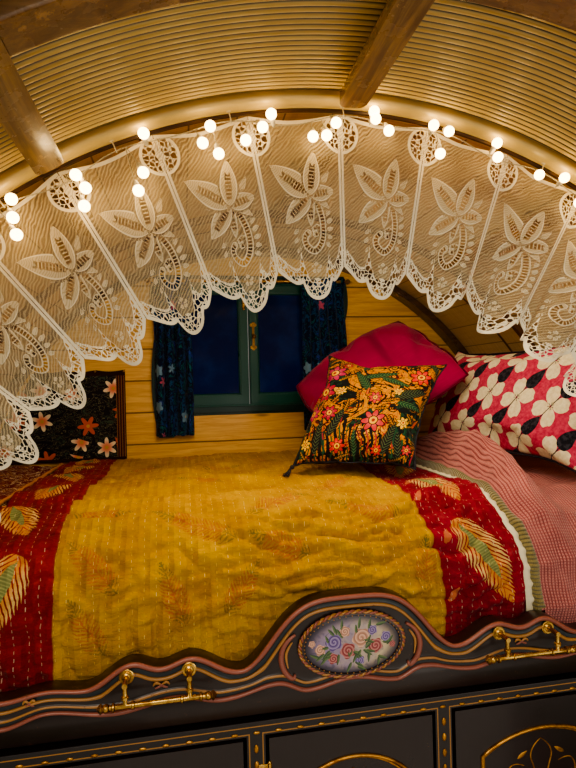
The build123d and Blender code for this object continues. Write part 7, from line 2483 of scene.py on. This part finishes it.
def carved_brackets():
    """Scroll carving laid on both cheeks of every bracket, with turned drops under the outer ends."""
    gm = tinted_paint("bracket_carving_paint", rough=0.28, wear=0.01)
    b = Build()
    red, grn, gld = lin(140, 26, 26)[:3], lin(24, 86, 54)[:3], lin(206, 156, 66)[:3]

    def spiral(cx, cz, r, a0, turns, s):
        t = np.linspace(0, 1, 26)
        a = a0 + s * 2 * PI * turns * t
        rr = r * (1 - 0.86 * t)
        return [(cx + q * math.cos(p), cz + q * math.sin(p)) for q, p in zip(rr, a)]
    L = 0.500
    for side in (-1, 1):
        for y in (-0.700, -0.330, 0.040, 0.410, 0.760):
            for face in (-1, 1):
                yy = y + face * 0.0128
                up = spiral(0.905, L - 0.030, 0.022, PI * 1.15, 1.6, -1)
                lo = spiral(0.668, L - 0.312, 0.016, PI * 0.35, 1.5, 1)
                spine = lo[::-1] + [(0.685, L - 0.240), (0.712, L - 0.175), (0.752, L - 0.118), (0.810, L - 0.075), (0.862, L - 0.052)] + up
                for path, r0, colour in ((spine, 0.0056, gld), ([(0.660, L - 0.215), (0.668, L - 0.150), (0.690, L - 0.098), (0.728, L - 0.060), (0.782, L - 0.034), (0.838, L - 0.022)], 0.0050, grn),
                                         ([(0.664, L - 0.120), (0.676, L - 0.080), (0.700, L - 0.048), (0.738, L - 0.026), (0.780, L - 0.017)], 0.0046, red)):
                    p = bspline([(side * a, yy, c) for a, c in path], 2)
                    t = np.linspace(0, 1, len(p))
                    vv, ff = tube(p, r0 * (0.35 + 0.65 * np.sin(PI * np.clip(t, 0.02, 0.98)) ** 0.5), 7)
                    vv[:, 1] = yy + (vv[:, 1] - yy) * 0.55
                    b.add(vv, ff, col=colour)
                for k in range(5):
                    a = math.radians(200 + 22 * k)
                    c = np.array((side * 0.655, yy, L - 0.020))
                    q = np.array((side * -math.cos(a), 0.0, math.sin(a)))
                    vv, ff = tube(np.array([c + q * t for t in (0.010, 0.022, 0.034, 0.044)]), [0.0020, 0.0038, 0.0032, 0.0008], 8)
                    vv[:, 1] = yy + (vv[:, 1] - yy) * 0.55
                    b.add(vv, ff, col=gld)
            b.add(*lathe([(0.0130, 0.0), (0.0150, 0.004), (0.0110, 0.010), (0.0070, 0.014), (0.0120, 0.022), (0.0150, 0.031), (0.0110, 0.041), (0.0050, 0.048), (1e-8, 0.052)], (side * 0.990, y, L - 0.0215), (0, 0, -1), 20), col=grn)
    b.obj("bracket_carving", gm, slot="painted_cream", col=True, angle=50)
    # moulded edge and drip bead along the ledges
    e = Build()
    for s in (-1, 1):
        for x, z, r in ((1.0603, 0.5120, 0.0050), (0.6450, 0.4985, 0.0045)):
            p = [(s * x, t, z) for t in np.linspace(-0.818, 0.781, 60)]
            e.add(*tube(p, r, 10), col=gld)
        p = [(s * 0.6405, t, 0.062) for t in np.linspace(-0.818, 0.781, 60)]
        e.add(*tube(p, 0.0055, 10), col=lin(226, 206, 158)[:3])
    e.obj("side_mouldings", gm, slot="painted_cream", col=True)


carved_brackets()


def canvas():
    """One sheet over the bows: felled seams across, turned hems, copper tacks along the feet and ends."""
    m = Mat("green_canvas", spec=0.3)
    r, ang, x, y, z = m.radius()
    uv = m.uv()
    ux, uy, _ = m.sep(uv)
    cloud = m.noise(m.obj(), 2.4, 5.0, 0.62)
    stain = m.noise(m.map(m.obj(), scale=(1.0, 3.0, 0.5)), 4.0, 5.0, 0.62)
    tone = m.mix(m.ramp01(cloud, 0.3, 0.7), lin(44, 68, 44), lin(60, 84, 54))
    tone = m.mix(m.mul(m.ramp01(stain, 0.5, 0.78), 0.45), tone, lin(98, 108, 74))
    tone = m.mix(m.mul(m.inv(m.ramp01(z, 0.54, 0.72)), 0.4), tone, lin(52, 48, 34))
    seam = None
    for ys in (-0.28, 0.265):
        for o in (-0.0066, 0.0066):
            h = m.mul(m.lt(m.absv(m.sub(uy, ys + o)), 0.0006), m.band(m.fract(m.mul(ux, 1 / 0.006)), 0.12, 0.72))
            seam = h if seam is None else m.mx(seam, h)
    for o in (-0.8245 + 0.036, 0.8105 - 0.036):
        seam = m.mx(seam, m.mul(m.lt(m.absv(m.sub(uy, o)), 0.0006), m.band(m.fract(m.mul(ux, 1 / 0.006)), 0.12, 0.72)))
    tone = m.mix(m.mul(seam, 0.8), tone, lin(186, 176, 140))
    m.put("base", tone)
    m.put("rough", m.span(stain, 0.3, 0.7, 0.66, 0.86))
    wv = m.mul(m.math("SINE", m.mul(ux, 2 * PI / 0.0022)), m.math("SINE", m.mul(uy, 2 * PI / 0.0022)))
    m.put("normal", m.bump(m.add(m.add(m.mul(wv, 0.3), m.mul(m.noise(m.obj(), 14.0, 5.0, 0.6), 1.6)), m.mul(seam, -0.5)), 0.5, 0.0012))
    legs, arc = 14, 130
    pts, nrm = hoop_path(1.0440, 0.5405, arc, legs)
    d = np.r_[0, np.cumsum(np.linalg.norm(np.diff(pts, axis=0), axis=1))]
    ys = np.unique(np.concatenate([np.linspace(-0.8245, 0.8105, 76), [-0.8245 + 0.034, -0.8245 + 0.0385, 0.8105 - 0.034, 0.8105 - 0.0385],
                                   *[np.array([-0.0100, -0.0090, -0.0030, 0.0, 0.0030, 0.0090, 0.0100]) + q for q in (-0.28, 0.265)]]))
    big, sm = waves(91, 12, 0.25, 0.8), waves(92, 16, 0.06, 0.18)
    D, Y = np.meshgrid(d, ys, indexing="ij")
    off = 0.0007 * big(D, Y) + 0.00035 * sm(D, Y)
    for q in (-0.28, 0.265):
        off = off + 0.0010 * (np.abs(Y - q) < 0.0092)
    end = np.minimum(Y + 0.8245, 0.8105 - Y)
    off = off + 0.0009 * (end < 0.0350)
    foot = np.minimum(D, d[-1] - D)
    off = off + 0.0009 * (foot < 0.034)
    off = off + 0.0011 * np.sin(2 * PI * Y / 0.060) ** 2 * np.clip(1 - foot / 0.10, 0, 1)
    v = np.zeros((len(pts), len(ys), 3))
    v[:, :, 0] = pts[:, None, 0] + nrm[:, None, 0] * off
    v[:, :, 2] = pts[:, None, 1] + nrm[:, None, 1] * off
    v[:, :, 1] = Y
    o = Build().add(v.reshape(-1, 3), quads(len(pts), len(ys))[:, ::-1], uv=np.stack([D, Y], -1).reshape(-1, 2)).obj("roof_canvas_sheet", m, slot="canvas_green", replaces=["roof_canvas"])
    t = Build()
    copper = Mat("copper_tacks", metal=1.0)
    cn = copper.noise(copper.obj(), 90.0, 4.0, 0.6)
    copper.put("base", copper.mix(copper.ramp01(cn, 0.4, 0.7), lin(204, 128, 84), lin(96, 84, 62)))
    copper.put("rough", copper.span(cn, 0.3, 0.7, 0.3, 0.55))
    prof = [(0.0052, 0.0), (0.0048, 0.0012), (0.0030, 0.0024), (1e-8, 0.0029)]
    for s in (-1, 1):
        for yy in np.arange(-0.795, 0.80, 0.060):
            t.add(*lathe(prof, (s * 1.0448, yy, 0.556), (s, 0, 0), 10))
    for yy in (-0.808, 0.794):
        for k in range(61):
            a = -PI / 2 + PI * k / 60
            nn = np.array((math.sin(a), 0, math.cos(a)))
            t.add(*lathe(prof, nn * 1.0448 + np.array((0, yy, SPRING)), nn, 10))
        for s in (-1, 1):
            for zz in np.arange(0.60, 0.93, 0.055):
                t.add(*lathe(prof, (s * 1.0448, yy, zz), (s, 0, 0), 10))
    tk = t.obj("canvas_tacks", copper, slot="brass", angle=50)


canvas()


def rear_face():
    """Carved crown board, lined rail, painted lower wall; a running vine follows the arch."""
    def rail_lines(m, x, y, z, w):
        return m.mul(m.mx(m.band(m.add(z, w), 0.5340, 0.5362), m.band(m.add(z, w), 0.5700, 0.5722)), m.gt(y, 0.80))
    give("rear_rail", lined_paint("maroon_rail_paint", lin(104, 16, 22), rail_lines, axis="X"), 0.003, 2)

    def wall_lines(m, x, y, z, w):
        box = m.mx(m.sub(m.absv(x), 0.560), m.mx(m.sub(0.180, z), m.sub(z, 0.470)))
        return m.mul(m.mx(m.band(m.add(box, w), -0.0015, 0.0015), m.band(m.add(box, w), -0.0105, -0.0092)), m.gt(y, 0.780))
    give("rear_wall_lower", lined_paint("maroon_wall_paint", lin(104, 16, 22), wall_lines, axis="X"), 0.002, 2)
    give("rear_crown_board", paint("crown_board_paint", lin(24, 78, 50), lin(130, 104, 66), rough=0.28, coat=0.55, chips=0.012, axis="X"), 0.003, 3)
    gm = tinted_paint("crown_carving_paint", rough=0.26, wear=0.01)
    gld, red, crm = lin(212, 162, 70)[:3], lin(150, 30, 28)[:3], lin(228, 208, 160)[:3]
    b = Build()

    def at(a, r, y=0.8016):
        return (r * math.sin(a), y, SPRING + r * math.cos(a))
    n = 31
    for r in (1.0030, 1.0352):
        p = [at(a, r) for a in np.linspace(-PI / 2, PI / 2, 150)]
        b.add(*tube(p, 0.0026, 8), col=gld)
    vine = [at(-PI / 2 + 0.03 + (PI - 0.06) * t, 1.0190 + 0.0085 * math.sin(2 * PI * n / 2 * t)) for t in np.linspace(0, 1, 300)]
    b.add(*tube(vine, 0.0022, 7), col=gld)
    for k in range(n):
        t = (k + 0.5) / n
        a = -PI / 2 + 0.03 + (PI - 0.06) * t
        s = 1 if math.sin(2 * PI * n / 2 * t) > 0 else -1
        for j in range(6):
            q = 2 * PI * j / 6
            c = at(a + 0.0048 * math.cos(q), 1.0190 - s * 0.0072 + 0.0048 * math.sin(q), 0.8020)
            b.add(*ball(c, 0.0026, 6, (1, 0.6, 1)), col=red)
        b.add(*ball(at(a, 1.0190 - s * 0.0072, 0.8032), 0.0024, 8), col=gld)
        for d in (-1, 1):
            p = np.array([at(a + d * 0.012, 1.019 + s * 0.004), at(a + d * 0.020, 1.019 - s * 0.002), at(a + d * 0.026, 1.019 - s * 0.008)])
            b.add(*tube(bspline(p, 4), [0.0010, 0.0022, 0.0028, 0.0026, 0.0022, 0.0018, 0.0012, 0.0008, 0.0004][:len(bspline(p, 4))], 6), col=crm)
    for s in (-1, 1):
        for k in range(9):
            b.add(*ball((s * 1.019, 0.8022, 0.620 + 0.036 * k), 0.0068, 12, (1, 0.5, 1.6)), col=gld)
    b.obj("crown_carving", gm, slot="painted_cream", col=True)
    # drip groove bead, sill nosing and little corbels under the window sill
    c = Build()
    for sx in (-0.320, 0.230):
        p = [(sx, 0.7840, 1.322), (sx, 0.8080, 1.318), (sx, 0.8160, 1.300), (sx, 0.7990, 1.276), (sx, 0.7900, 1.245), (sx, 0.7850, 1.232)]
        q = bspline(p, 5)
        c.add(*tube(q, np.linspace(0.0110, 0.0040, len(q)), 12), col=crm)
        c.add(*ball((sx, 0.8040, 1.3080), 0.0120, 14, (1.25, 1, 1)), col=gld)
    p = [(x, 0.8252, 1.3330) for x in np.linspace(-0.362, 0.272, 30)]
    c.add(*tube(p, 0.0040, 8), col=gld)
    # carved architrave bead round the outside of the window
    wx = -0.045
    for off, r, colour in ((0.296, 0.0052, crm), (0.304, 0.0030, gld)):
        z0, z1 = 1.350, 1.870 + (off - 0.290)
        q = [(wx - off, z0), (wx - off, z1), (wx + off, z1), (wx + off, z0)]
        pts = []
        for a, e in zip(q, q[1:]):
            pts += [(a[0] + (e[0] - a[0]) * t, 0.7850, a[1] + (e[1] - a[1]) * t) for t in np.linspace(0, 1, 12)]
        c.add(*tube(pts, r, 10), col=colour)
    c.obj("window_mouldings", gm, slot="painted_cream", col=True, angle=50)
    # coach bolts holding the rear rail
    d = Build()
    for x in np.linspace(-0.96, 0.96, 9):
        d.add(*lathe([(0.0090, 0.0), (0.0088, 0.0022), (0.0060, 0.0048), (1e-8, 0.0058)], (x, 0.8249, 0.5535), (0, 1, 0), 20))
    d.obj("rear_coach_bolts", brass, slot="brass", angle=50)


rear_face()
